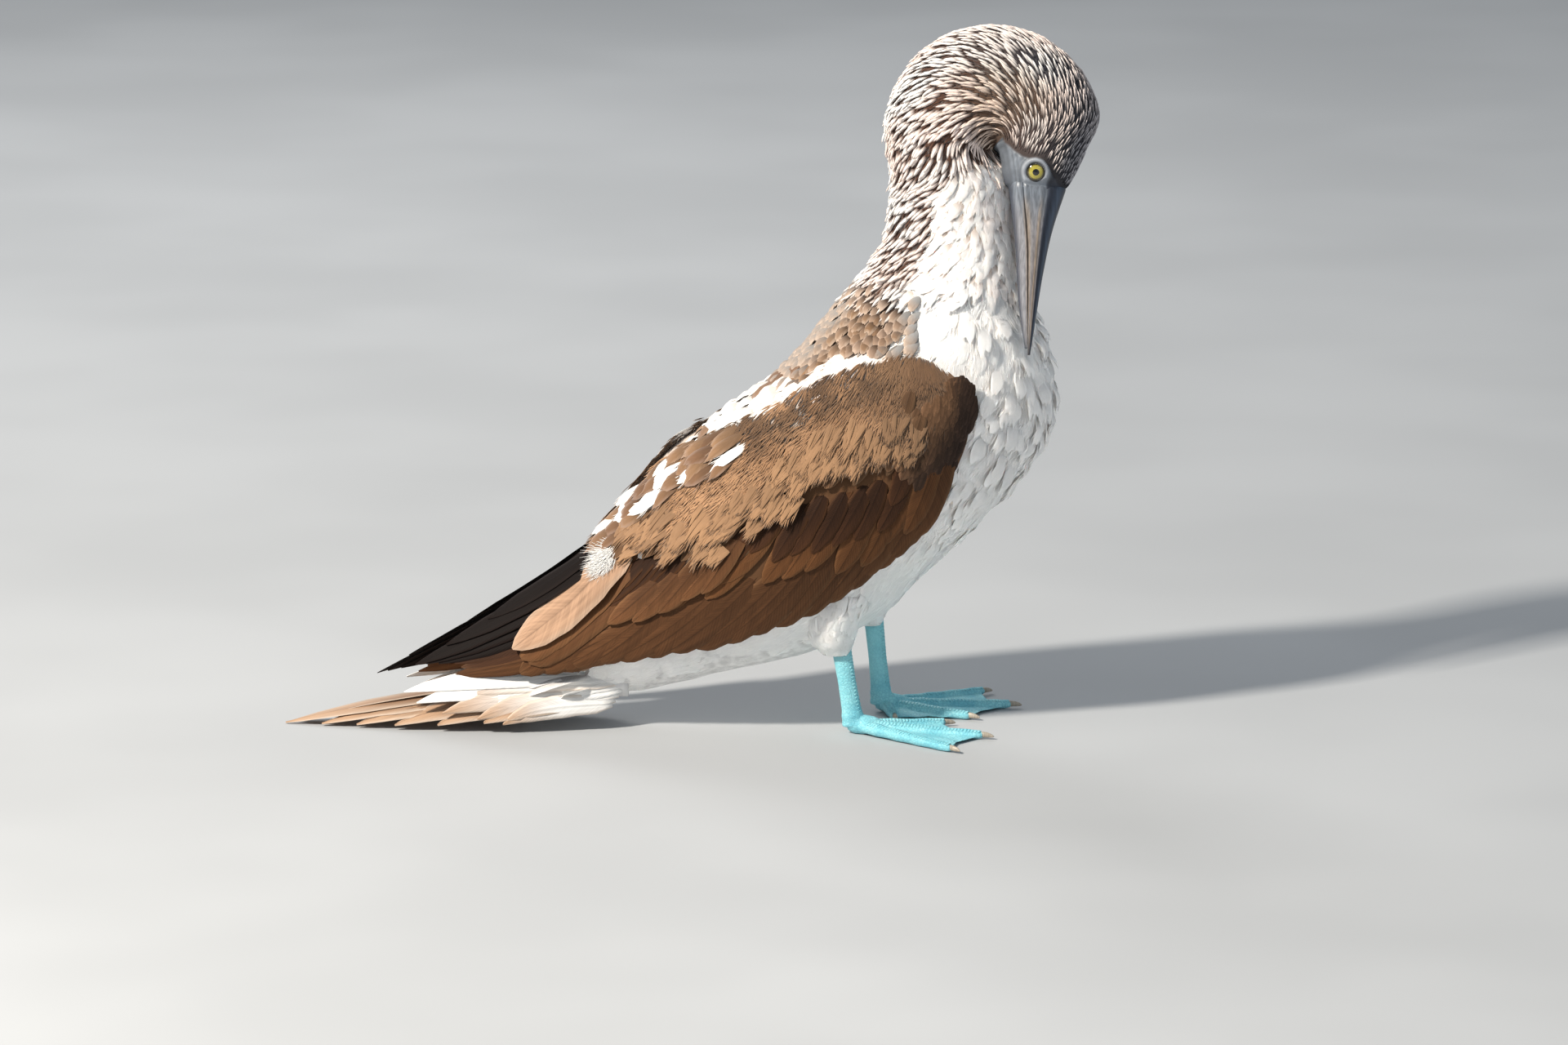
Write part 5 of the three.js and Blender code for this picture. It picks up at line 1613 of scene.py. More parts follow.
class Wing:
    """A folded wing: its flesh and its tiers of feathers."""

    soft_line = [
        (0.0, 1.0), (0.6, 0.97), (1.4, 0.86), (2.16, 0.58), (2.68, 0.58), (3.0, 0.48), (3.43, 0.5), (3.7, 0.4),
        (4.36, 0.46), (4.91, 0.44), (5.41, 0.47), (5.89, 0.5), (6.46, 0.44), (6.91, 0.35), (7.33, 0.27), (7.9, 0.14),
    ]
    greater_tips = [
        (2.84, 0.95), (3.68, 0.93), (4.41, 0.82), (5.08, 0.7), (5.58, 0.65), (6.16, 0.66), (6.62, 0.67),
        (7.24, 0.70), (7.9, 0.62), (8.4, 0.62),
    ]

    def __init__(self, side: Side) -> None:
        """Keeps the side and the form."""
        self.side = side
        self.form = WingForm(side)
        self.rng = np.random.default_rng(31 + side.value)
        self.short = 0.45 if side is Side.RIGHT else 0.0

    def front(self, b: Array) -> Array:
        """Where the wing's rounded front begins, before its first station."""
        return -0.4 * np.sin(np.pi * np.clip(b, 0.0, 1.0)) ** 0.6

    def flesh(self, material: bpy.types.Material) -> bpy.types.Object:
        """The wing's core under the feathers."""
        rows, columns, end = 90, 40, 9.4
        share = np.linspace(0, 1, columns)[None, :]
        begun = self.front(share)
        a = begun + (end - begun) * np.linspace(0, 1, rows)[:, None]
        edge = 1 - 0.1 * smooth(a, 1, 3)
        b = edge * share
        point, out, _, _ = self.form.frames(a, b)
        depth = np.interp(a, range(13), self.form.depths) * np.minimum(1, 0.25 + 4 * np.minimum(b, edge - b))
        bed = 1 - smooth(b - self.edge_line(a), -0.2, -0.08)
        level = (self.form.core_height(a, b) - 0.5) * (1 - bed) - (2.4 - 0.8 * (1 - smooth(b, 0, 0.1))) * bed
        outer = point + out * level[..., None]
        inner = point + out * (level - depth)[..., None]
        rings = np.concatenate([outer, inner[:, ::-1]], axis=1)
        points, faces = capped_tube(rings)
        made = mesh_object(f"wing_{self.side.label}_flesh", points, faces)
        dark = smooth(np.concatenate([a, a], axis=1), 7.4, 8.2).ravel()
        tints = blend(np.broadcast_to(BROWN * 0.7, (len(dark), 3)), paint(0.12, 0.09, 0.08), dark)
        upper = 1 - smooth(np.concatenate([b, b[:, ::-1]], axis=1), 0.08, 0.2).ravel()
        tints = blend(tints, blend(TAN, WHITE, np.array(0.45)) * 1.1, upper * (1 - dark))
        tints = np.vstack([tints, tints[:1], tints[-1:]])
        keep_tints(made, tints)
        keep_attribute(made, "strand", np.zeros((len(points), 3)))
        chart = self.form.chart(a, b)
        both = np.concatenate([chart, chart[:, ::-1]], axis=1).reshape(-1, 2)
        keep_map(made, np.vstack([both, (0.01, 0.5), (0.99, 0.5)]))
        made.data.materials.append(material)
        return made

    def tier(self, coat: Coat, count: int, tips: Array, lengths: tuple[float, float], half: float, lift: float,
             colours: tuple[Array, Array, Array], shape: VaneShape, turn: float = 0.0, scatter: float = 0.012,
             ragged: float = 0.1, sink: float = 1.5, lean: float = 0.95) -> None:
        """Lays one tier of vanes whose tips follow a line.

        Args:
            coat: Where the vanes are kept.
            count: How many there are.
            tips: Rows of places along and down the wing that the tips follow.
            lengths: The first and the last one's length.
            half: Half their width.
            lift: How high their tips lie over the flesh.
            colours: The colours of root, tip and edge.
            shape: Their outline.
            turn: Degrees steeper than the lie.
            scatter: How unevenly the tips end.
            ragged: How deep the edges are split.
            sink: How deep the roots are sunk.
            lean: How far each vane is tilted over its neighbour.
        """
        tips = np.asarray(tips, float)
        share = np.linspace(0, 1, count)
        place = share * (len(tips) - 1)
        a = np.interp(place, range(len(tips)), tips[:, 0])
        b = np.interp(place, range(len(tips)), tips[:, 1]) + self.rng.normal(0, scatter, count)
        vary = self.rng.uniform(0.88, 1.1, (count, 1))
        base, tip, edge = (np.broadcast_to(colour, (count, 3)) * vary for colour in colours)
        length = np.interp(share, [0, 1], lengths) * self.rng.uniform(0.94, 1.06, count)
        length = self.below_edge(a, b, length, turn)
        vanes = Vanes(
            a, b, length, np.full(count, half) * self.rng.uniform(0.92, 1.08, count),
            lift + self.rng.uniform(-0.15, 0.15, count), np.full(count, lean), base, tip, edge,
            turn + self.rng.normal(0, 2.0, count), sink, 1.2, 0.24, ragged,
        )
        lay_vanes(self.form, vanes, shape, coat, self.rng)

    def below_edge(self, a: Array, b: Array, length: Array, turn: float = 0.0) -> Array:
        """Shortens feathers whose roots would stand over the wing's top edge.

        Args:
            a: Places of the tips along the wing.
            b: Places of the tips down the wing.
            length: Their lengths.
            turn: Degrees steeper than the lie.

        Returns:
            The lengths that fit.
        """
        _, root = self.form.walk(a, b, self.form.way(a, b, turn), -length, np.zeros(len(a)))
        fits = np.clip((b - 0.01) / np.maximum(b - root, 1e-3), 0.15, 1.0)
        return np.where(root < 0.01, length * fits, length)

    def flight(self, coat: Coat) -> None:
        """Primaries, secondaries, tertials and the larger coverts."""
        umber, edge = paint(0.39, 0.255, 0.155), paint(0.54, 0.39, 0.26)
        black, black_edge = paint(0.065, 0.03, 0.02), paint(0.12, 0.065, 0.045)
        dusk, dusk_edge = paint(0.28, 0.175, 0.11), paint(0.44, 0.32, 0.225)
        for i, (root, tip, shades) in enumerate([
            ((6.9, 0.86), (11.5, 0.80), (umber * 0.8, umber * 0.8, dusk)),
            ((7.2, 0.72), (11.4, 0.66), (dusk, dusk, dusk_edge)),
            ((7.4, 0.58), (11.5, 0.54), (dusk * 0.8, dusk * 0.8, dusk)),
            ((7.5, 0.46), (11.7, 0.45), (black, black, black_edge)),
            ((7.6, 0.35), (11.85, 0.36), (black, black, black_edge)),
            ((7.65, 0.25), (11.97, 0.30), (black, black, black_edge)),
            ((7.7, 0.16), (11.6, 0.16), (black, black, black_edge)),
            ((7.7, 0.08), (11.0, 0.08), (black, black, black_edge)),
        ]):
            self.primary(coat, root, tip, 9.0 - 0.3 * i, 0.3 + 0.32 * i, shades)
        self.tier(coat, 21, [(2.75, 0.97), (4.2, 1.0), (6.2, 1.0), (8.2, 1.0), (9.9, 0.93)], (66, 104), 10.0, 0.8,
                  (umber * 0.7, umber, edge * 0.85), ROUNDED, turn=-4, scatter=0.006, ragged=0.03)
        pale, pale_edge = paint(0.70, 0.56, 0.455), paint(0.84, 0.74, 0.65)
        self.tier(coat, 1, [(9.75, 0.82)] * 2, (100, 100), 11, 2.0, (umber, umber * 1.1, edge), ROUNDED, ragged=0)
        self.tier(coat, 1, [(9.9, 0.72)] * 2, (98, 98), 11, 2.6, (umber * 1.2, umber * 1.4, edge), ROUNDED, 2,
                  ragged=0.05)
        self.tier(coat, 5, [(6.2, 0.66), (7.0, 0.69), (7.9, 0.68)], (50, 54), 7.4, 3.3,
                  (umber * 0.7, umber * 1.15, edge), COVERT, scatter=0.02, ragged=0.02)
        self.tier(coat, 1, [(10.05, 0.6)] * 2, (98, 98), 15.5, 5.8, (pale * 0.9, pale, pale_edge), TERTIAL, 3,
                  ragged=0.02, lean=1.0)
        mid, mid_edge = paint(0.42, 0.27, 0.155), paint(0.53, 0.37, 0.235)
        self.tier(coat, 17, self.greater_tips, (58, 68), 8.6, 1.4, (mid * 0.6, mid, mid_edge), COVERT, turn=-3,
                  scatter=0.03, ragged=0.12)
        # Painted shade: the tier just under the soft points is a darker brown than the coverts' own, for the shadow
        # those points cast.
        deep = paint(0.27, 0.165, 0.095)
        self.tier(coat, 20, [(a, b - 0.13) for a, b in self.greater_tips], (44, 54), 7.2, 1.9,
                  (deep * 0.5, deep, mid * 0.95), COVERT, turn=-3, scatter=0.035, ragged=0.2)

    def primary(self, coat: Coat, root: tuple[float, float], tip: tuple[float, float], half: float, lift: float,
                colours: tuple[Array, Array, Array]) -> None:
        """Lays one primary straight from its root to its tip.

        Args:
            coat: Where it is kept.
            root: Its root's place along and down the wing.
            tip: Its tip's place.
            half: Half its width.
            lift: How high its tip lies.
            colours: The colours of root, tip and edge.
        """
        ends = np.array([root, (tip[0] - self.short, tip[1])])
        start, end = self.form.at(ends[:, 0], ends[:, 1])
        length = np.array([np.linalg.norm(end - start)])
        base, point, edge = (np.broadcast_to(colour, (1, 3)) for colour in colours)
        vanes = Vanes(ends[1:, 0], ends[1:, 1], length, np.array([half]), np.array([lift]), np.array([0.5]),
                      base, point, edge, np.zeros(1), 0.6, 0.8, 0.3, 0.02, toward=unit(end - start)[None])
        lay_vanes(self.form, vanes, POINTED, coat, self.rng)

    def coverts(self, coat: Coat) -> None:
        """The bed of broad coverts under the soft ones, with their own softness over it."""
        mid, rim = paint(0.50, 0.37, 0.265), paint(0.60, 0.47, 0.35)
        for back, length, half, lift in ((0.0, 34, 5.4, 1.9), (0.09, 30, 5.0, 1.4)):
            tips = [(a, max(b - back, 0.12)) for a, b in self.soft_line if a > 1.9]
            self.tier(coat, 24, tips, (length, length * 1.1), half, lift, (mid * 0.5, mid * 0.7, rim * 0.7), COVERT,
                      turn=-6, scatter=0.04, ragged=0.3, lean=0.4)
        self.shoulder(coat)

    def shoulder(self, coat: Coat) -> None:
        """The little round feathers of the shoulder and the wing's front."""
        a, b = np.meshgrid(np.arange(-0.2, 3.8, 0.16), np.arange(0.4, 1.02, 0.055), indexing="ij")
        a = a.ravel() + self.rng.uniform(-0.06, 0.06, a.size)
        b = b.ravel() + self.rng.uniform(-0.02, 0.02, b.size)
        keep = (b < np.interp(a, [0, 1.5, 2.2, 2.9], [1.02, 0.98, 0.84, 0.5])) & (a > self.front(b) + 0.25)
        keep &= b > np.interp(a, [0, 1, 2, 3], [0.5, 0.5, 0.42, 0.40])
        a, b = a[keep], b[keep]
        count = len(a)
        # Towards the lower rim and the front the feathers darken: partly their own darker brown, mostly painted shade
        # of the wing's bend.
        dim = np.clip(smooth(b, 0.46, 0.86) + 0.8 * (1 - smooth(a, 0.0, 0.9)), 0, 1)
        shade = blend(np.broadcast_to(paint(0.52, 0.385, 0.28), (count, 3)), paint(0.245, 0.18, 0.145), dim)
        vary = self.rng.uniform(0.8, 1.2, (count, 1))
        level = self.form.core_height(a, b)
        length = self.below_edge(a, b, self.rng.uniform(12, 16, count))
        vanes = Vanes(
            a, b, length, self.rng.uniform(3.2, 4.4, count), -0.4 - 0.62 * level,
            np.full(count, 0.3), shade * vary * 0.7, shade * vary, shade * vary * 1.5,
            self.rng.normal(-4, 8, count), 0.8, 0.6, 0.16, 0.3, 0.04,
        )
        lay_vanes(self.form, vanes, LITTLE, coat, self.rng)

    def edge_line(self, a: Array) -> Array:
        """How far down the wing the soft feathers reach."""
        knots = np.array(self.soft_line)
        return np.interp(a, knots[:, 0], knots[:, 1])

    def soft(self, coat: Coat) -> None:
        """The soft light-brown feathers over the upper wing, ending in ragged points."""
        ground = Sunk(self.form, lambda a, b: 1.5 - 0.6 * (1 - smooth(b, 0.0, 0.12)) + 0 * a)
        a, b = np.meshgrid(np.arange(-0.35, 8.1, 0.10), np.arange(-0.01, 0.8, 0.036), indexing="ij")
        a = a.ravel() + self.rng.uniform(-0.05, 0.05, a.size)
        b = b.ravel() + self.rng.uniform(-0.016, 0.016, b.size)
        short = 10 / np.interp(a, [0, 2, 4, 7, 8], [60, 95, 110, 90, 85])
        limit = np.where(a < 1.9, 0.99, self.edge_line(a) - short)
        limit = np.minimum(limit, np.interp(a, [-0.4, 1.0, 1.9, 2.1, 9], [0.66, 0.62, 0.56, 0.52, 0.52]))
        keep = (b < limit) & (a > self.front(b))
        a, b = a[keep], b[keep]
        count = len(a)
        wave = ripple(*np.moveaxis(self.form.at(a, b), -1, 0), 8.0)
        light = blend(np.broadcast_to(paint(0.58, 0.43, 0.30), (count, 3)), paint(0.74, 0.57, 0.42),
                      np.clip(0.35 + 0.6 * wave + smooth(a, 3, 7) * 0.4, 0, 1))
        light = light * self.rng.uniform(0.88, 1.06, (count, 1))
        top = (1 - smooth(b, 0.07, 0.19)) * (1 - smooth(a, 4.8, 5.6)) * smooth(a, 1.2, 2.2)
        top = top * (0.55 if self.side is Side.RIGHT else 0.15)
        light = light * (1 - top * (self.rng.random(count) < 0.8))[:, None]
        # Painted shade: the soft feathers darken towards the wing's front and lower front, the shadow of its bend.
        front = (1 - smooth(a, 1.2, 2.9)) * smooth(b, 0.12, 0.5)
        light = light * (1 - 0.5 * front)[:, None] * (1 - 0.5 * (1 - smooth(a, 0.8, 4.0)))[:, None]
        lie = self.form.way(a, b, -9.0) + self.rng.normal(0, 0.16, count)
        lift = (self.rng.uniform(0.7, 1.2, count) + 0.6 * np.maximum(wave, 0)) * (0.4 + 0.6 * smooth(b, 0.0, 0.1))
        grow_fans(ground, Plume(a, b, lie, self.rng.uniform(11, 15, count), lift, light * 0.8, light, 6, 4.4, 0.3,
                                0.3, 0.62, (0.1, 0.6), self.rng.uniform(-0.5, 0.1, count)), coat, self.rng)
        self.lappets(ground, coat)
        a, b = np.meshgrid(np.arange(4.5, 7.5, 0.26), (-0.01, 0.045, 0.1), indexing="ij")
        a = a.ravel() + self.rng.uniform(-0.12, 0.12, a.size)
        b = b.ravel() + self.rng.uniform(-0.012, 0.012, b.size)
        count = len(a)
        white = (self.rng.random(count) < 0.45)[:, None]
        tip = np.where(white, WHITE, blend(np.broadcast_to(BROWN, (count, 3)), TAN, self.rng.random(count)))
        lie = self.form.way(a, b, -26.0) + self.rng.normal(0, 0.14, count)
        lay_sheets(ground, Sheets(a, b, lie, self.rng.uniform(22, 30, count), self.rng.uniform(3.6, 5.4, count),
                                  self.rng.uniform(2.4, 3.4, count) * np.where(b < 0.03, 0.4, 1.0),
                                  tip * np.where(white, 0.8, 0.6), tip,
                                  blend(tip, ROSY, np.full(count, 0.22)), -0.6, 0.16, 0.12, turning=(0.3, 0.8),
                                  hairs=6), coat, self.rng, LITTLE)
        spots = self.rng.uniform(-1, 1, (60, 2))
        ra, rb = 7.75 + 0.16 * spots[:, 0], 0.18 + 0.06 * spots[:, 1]
        tip = np.broadcast_to(WHITE, (60, 3))
        grow_fans(ground, Plume(ra, rb, self.form.way(ra, rb, -8) + self.rng.normal(0, 0.4, 60),
                                self.rng.uniform(10, 18, 60), self.rng.uniform(3.5, 7.0, 60), tip * 0.94, tip, 9, 4.5,
                                0.5, 0.4, 0.24), coat, self.rng)

    def lappets(self, ground: Surface, coat: Coat) -> None:
        """The ragged points that the soft feathers end in, each a clump of narrow barbs drawn together."""
        for many, long, wide, back in ((24, (17, 27), 4.6, 0.0), (26, (24, 34), 5.6, 0.09)):
            middle = np.linspace(2.0, 7.85, many) + self.rng.uniform(-0.1, 0.1, many)
            reach = self.edge_line(middle) - back + self.rng.uniform(-0.05, 0.06, many)
            length = self.rng.uniform(*long, many) * np.interp(middle, [2.0, 3.4], [0.6, 1])
            shade = paint(0.64, 0.49, 0.355) * self.rng.uniform(0.78, 1.08, (many, 1))
            # Painted shade: the points are darker towards the wing's front.
            shade = shade * np.interp(middle, [2.0, 3.8], [0.6, 1])[:, None]
            aside = np.tile(np.linspace(-1, 1, 7), many) + self.rng.uniform(-0.12, 0.12, 7 * many)
            middle, reach, length, shade = (np.repeat(x, 7, axis=0) for x in (middle, reach, length, shade))
            count = len(middle)
            run = length * (1 - 0.3 * np.abs(aside)) * self.rng.uniform(0.9, 1.08, count)
            lie = self.form.way(middle, reach, -3.0)
            a, b = self.form.walk(middle, reach, lie, -length, wide * aside)
            b = np.maximum(b, 0.03)
            lie = self.form.way(a, b, -3.0) - 0.85 * wide * aside / length
            lay_sheets(ground, Sheets(a, b, lie, run, self.rng.uniform(1.2, 1.9, count),
                                      self.rng.uniform(2.0, 3.0, count), shade * 0.86, shade * 0.95, shade * 1.04, -0.6,
                                      0.06, 0.05, turning=(0.2, 0.8), hairs=5, hair=0.5, hairs_from=(0.1, 0.6)),
                       coat, self.rng, LAPPET)

    def build(self) -> list[bpy.types.Object]:
        """Makes the wing's pieces."""
        vane = PlumageFinish(f"wing_vane_{self.side.label}", 0.66, 0.03, 90.0, 16.0, 0.34, 0.3, gloss=0.12).build()
        plume = PlumageFinish(f"wing_soft_{self.side.label}", 0.8, 0.2, 14.0, 4.0, 0.16, 0.2).build()
        flight, coverts, soft = Coat(softness=0.45), Coat(softness=0.35), Coat(softness=0.45, upward=0.8)
        self.flight(flight)
        self.coverts(coverts)
        self.soft(soft)
        name = f"wing_{self.side.label}"
        made = [self.flesh(vane), flight.build(f"{name}_flight", vane), coverts.build(f"{name}_coverts", vane),
                soft.build(f"{name}_soft", plume)]
        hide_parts(name)
        return made


def tube(points: Array, radii: Array, sides: int = 20, flatten: float = 1.0) -> tuple[Array, Array]:
    """A round bar along a line of points.

    Args:
        points: Rows of drawn millimetres.
        radii: The radius at each.
        sides: Points round each ring.
        flatten: Share of the radius sideways.

    Returns:
        Points and triangles.
    """
    points, radii = np.asarray(points, float), np.asarray(radii, float)
    way = unit(np.gradient(points, axis=0))
    guide = np.where(np.abs(way[:, 1:2]) > 0.9, [[1.0, 0, 0]], [[0, 1.0, 0]])
    up = unit(np.cross(way, guide))
    across = np.cross(up, way)
    angle = 2 * np.pi * np.arange(sides) / sides
    rings = (points[:, None] + up[:, None] * (np.cos(angle)[None, :, None] * radii[:, None, None])
             + across[:, None] * (np.sin(angle)[None, :, None] * radii[:, None, None] * flatten))
    return capped_tube(rings)


@dataclass(frozen=True)
class BlueSkinFinish:
    """Scaled sky-blue skin of the legs and feet."""

    name: str = "blue_foot_skin"

    def build(self) -> bpy.types.Material:
        """Makes the material."""
        material, draw, shader = new_material(self.name)
        scales = draw.node("ShaderNodeGroup", node_tree=group("scales"))
        scales.inputs["Scales"].default_value = 480.0
        scales.inputs["Creases"].default_value = 120.0
        mottle = draw.ramp(scales.outputs["Mottle"], 0.3, 0.7)
        colour = draw.mix(mottle, paint(0.48, 0.79, 0.85), paint(0.62, 0.89, 0.92))
        # Painted shade: the skin is darker in the grooves between its scales.
        colour = draw.mix(draw.maths("MULTIPLY", scales.outputs["Crease"], 0.35), colour, paint(0.30, 0.63, 0.73))
        place = draw.node("ShaderNodeTexCoord").outputs["Object"]
        height = draw.node("ShaderNodeSeparateXYZ")
        draw.link(place, height.inputs[0])
        low = draw.ramp(height.outputs[2], 0.008, 0.03)
        colour = draw.mix(low, colour, draw.mix(0.5, colour, paint(0.58, 0.85, 0.88)))
        draw.link(colour, shader.inputs["Base Color"])
        draw.emboss(shader, scales.outputs["Height"], 0.5, 0.0006)
        shader.inputs["Roughness"].default_value = 0.48
        shader.inputs["Subsurface Weight"].default_value = 0.12
        shader.inputs["Subsurface Radius"].default_value = (0.3, 0.8, 1.0)
        shader.inputs["Subsurface Scale"].default_value = 0.002
        return material


@dataclass(frozen=True)
class HornFinish:
    """Horn of the bill or the claws, painted on its points."""

    name: str
    roughness: float = 0.38
    streaks: float = 1.0

    def build(self) -> bpy.types.Material:
        """Makes the material."""
        material, draw, shader = new_material(self.name)
        tint = draw.node("ShaderNodeAttribute", attribute_name="tint")
        place = draw.node("ShaderNodeTexCoord").outputs["Object"]
        stretch = draw.node("ShaderNodeMapping")
        stretch.inputs["Scale"].default_value = (1.0, 1.0, 0.08)
        draw.link(place, stretch.inputs["Vector"])
        grain = draw.noise(stretch.outputs[0], 900.0, 4.0)
        tone = draw.ramp(grain, 0.3, 0.7, 0.75, 1.2)
        draw.tinted(shader, tint, tone)
        draw.emboss(shader, grain, 0.3 * self.streaks, 0.0003)
        shader.inputs["Roughness"].default_value = self.roughness
        return material


@dataclass
class Toe:
    """One toe of a foot."""

    name: str
    length: float
    turn: float
    joints: int


@dataclass(frozen=True)
class Scutes:
    """Rows of small plates wrapped round lines, such as a toe's, made by Geometry Nodes."""

    spacing: float = 0.0021
    wrap: float = 0.95
    rise: float = 0.075
    unevenness: float = 0.12
    seed: int = 7

    def tree(self) -> bpy.types.NodeTree:
        """Builds the tree, which takes a mesh of lines with the attributes size and facing."""
        tree = bpy.data.node_groups.new("scute_rows", "GeometryNodeTree")
        for label, kind in (("Geometry", "Geometry"), ("Spacing", "Float"), ("Wrap", "Float"), ("Rise", "Float"),
                            ("Unevenness", "Float"), ("Seed", "Int"), ("Material", "Material")):
            tree.interface.new_socket(label, in_out="INPUT", socket_type=f"NodeSocket{kind}")
        tree.interface.new_socket("Geometry", in_out="OUTPUT", socket_type="NodeSocketGeometry")
        draw = Shade(tree)
        given, result = draw.node("NodeGroupInput"), draw.node("NodeGroupOutput")
        lines = draw.node("GeometryNodeMeshToCurve")
        draw.link(given.outputs["Geometry"], lines.inputs["Mesh"])
        steps = draw.node("GeometryNodeResampleCurve", mode="LENGTH")
        draw.link(lines.outputs[0], steps.inputs["Curve"])
        draw.link(given.outputs["Spacing"], steps.inputs["Length"])
        ball = draw.node("GeometryNodeMeshUVSphere")
        for label, value in (("Segments", 10), ("Rings", 6), ("Radius", 1.0)):
            ball.inputs[label].default_value = value
        place = draw.node("ShaderNodeSeparateXYZ")
        draw.link(draw.node("GeometryNodeInputPosition").outputs[0], place.inputs[0])
        turn = draw.maths("MULTIPLY", place.outputs[1], given.outputs["Wrap"])
        reach = draw.maths("ADD", draw.maths("MULTIPLY", place.outputs[2], given.outputs["Rise"]), 1.0)
        bent = draw.node("ShaderNodeCombineXYZ")
        draw.link(place.outputs[0], bent.inputs[0])
        draw.link(draw.maths("MULTIPLY", reach, draw.maths("SINE", turn)), bent.inputs[1])
        draw.link(draw.maths("MULTIPLY", reach, draw.maths("COSINE", turn)), bent.inputs[2])
        plate = draw.node("GeometryNodeSetPosition")
        draw.link(ball.outputs["Mesh"], plate.inputs["Geometry"])
        draw.link(bent.outputs[0], plate.inputs["Position"])
        named = {}
        for label in ("size", "facing"):
            named[label] = draw.node("GeometryNodeInputNamedAttribute", data_type="FLOAT_VECTOR")
            named[label].inputs["Name"].default_value = label
        axes = draw.node("FunctionNodeAxesToRotation", primary_axis="Z", secondary_axis="X")
        draw.link(named["facing"].outputs["Attribute"], axes.inputs[0])
        draw.link(draw.node("GeometryNodeInputTangent").outputs[0], axes.inputs[1])
        chance = draw.node("FunctionNodeRandomValue", data_type="FLOAT")
        draw.link(draw.maths("SUBTRACT", 1.0, given.outputs["Unevenness"]), chance.inputs[2])
        draw.link(given.outputs["Seed"], chance.inputs["Seed"])
        long = draw.node("ShaderNodeCombineXYZ")
        draw.link(draw.maths("MULTIPLY", given.outputs["Spacing"], chance.outputs[1]), long.inputs[0])
        long.inputs[1].default_value = long.inputs[2].default_value = 1.0
        scale = draw.node("ShaderNodeVectorMath", operation="MULTIPLY")
        draw.link(named["size"].outputs["Attribute"], scale.inputs[0])
        draw.link(long.outputs[0], scale.inputs[1])
        placed = draw.node("GeometryNodeInstanceOnPoints")
        draw.link(steps.outputs[0], placed.inputs["Points"])
        draw.link(plate.outputs[0], placed.inputs["Instance"])
        draw.link(axes.outputs[0], placed.inputs["Rotation"])
        draw.link(scale.outputs[0], placed.inputs["Scale"])
        real = draw.node("GeometryNodeRealizeInstances")
        draw.link(placed.outputs[0], real.inputs[0])
        smoothed = draw.node("GeometryNodeSetShadeSmooth")
        draw.link(real.outputs[0], smoothed.inputs["Geometry"])
        dressed = draw.node("GeometryNodeSetMaterial")
        draw.link(smoothed.outputs[0], dressed.inputs["Geometry"])
        draw.link(given.outputs["Material"], dressed.inputs["Material"])
        draw.link(dressed.outputs[0], result.inputs["Geometry"])
        return tree

    def build(self, name: str, lines: list[tuple[Array, Array, Array]],
              material: bpy.types.Material) -> bpy.types.Object:
        """Lays the plates along lines and turns them into a plain mesh.

        Args:
            name: The piece's name.
            lines: For each line its points, the size of its plates and the way that they face, as rows.
            material: Their finish.

        Returns:
            The plates.
        """
        mesh = bpy.data.meshes.new(name)
        starts = np.cumsum([0] + [len(points) for points, _, _ in lines])
        edges = [(i, i + 1) for k in range(len(lines)) for i in range(starts[k], starts[k + 1] - 1)]
        mesh.from_pydata(LAYOUT.place(np.vstack([line[0] for line in lines])).tolist(), edges, [])
        made = bpy.data.objects.new(name, mesh)
        bpy.context.collection.objects.link(made)
        keep_attribute(made, "size", np.vstack([line[1] for line in lines]))
        keep_attribute(made, "facing", np.vstack([line[2] for line in lines]))
        modifier = made.modifiers.new("scutes", "NODES")
        modifier.node_group = self.tree()
        values = {"Spacing": self.spacing, "Wrap": self.wrap, "Rise": self.rise, "Unevenness": self.unevenness,
                  "Seed": self.seed, "Material": material}
        for item in modifier.node_group.interface.items_tree:
            if item.in_out == "INPUT" and item.name in values:
                modifier[item.identifier] = values[item.name]
        source = made.evaluated_get(bpy.context.evaluated_depsgraph_get())
        made.data = bpy.data.meshes.new_from_object(source)
        made.modifiers.clear()
        if not made.data.materials:
            made.data.materials.append(material)
        log.info("%s: %d faces", name, len(made.data.polygons))
        return made


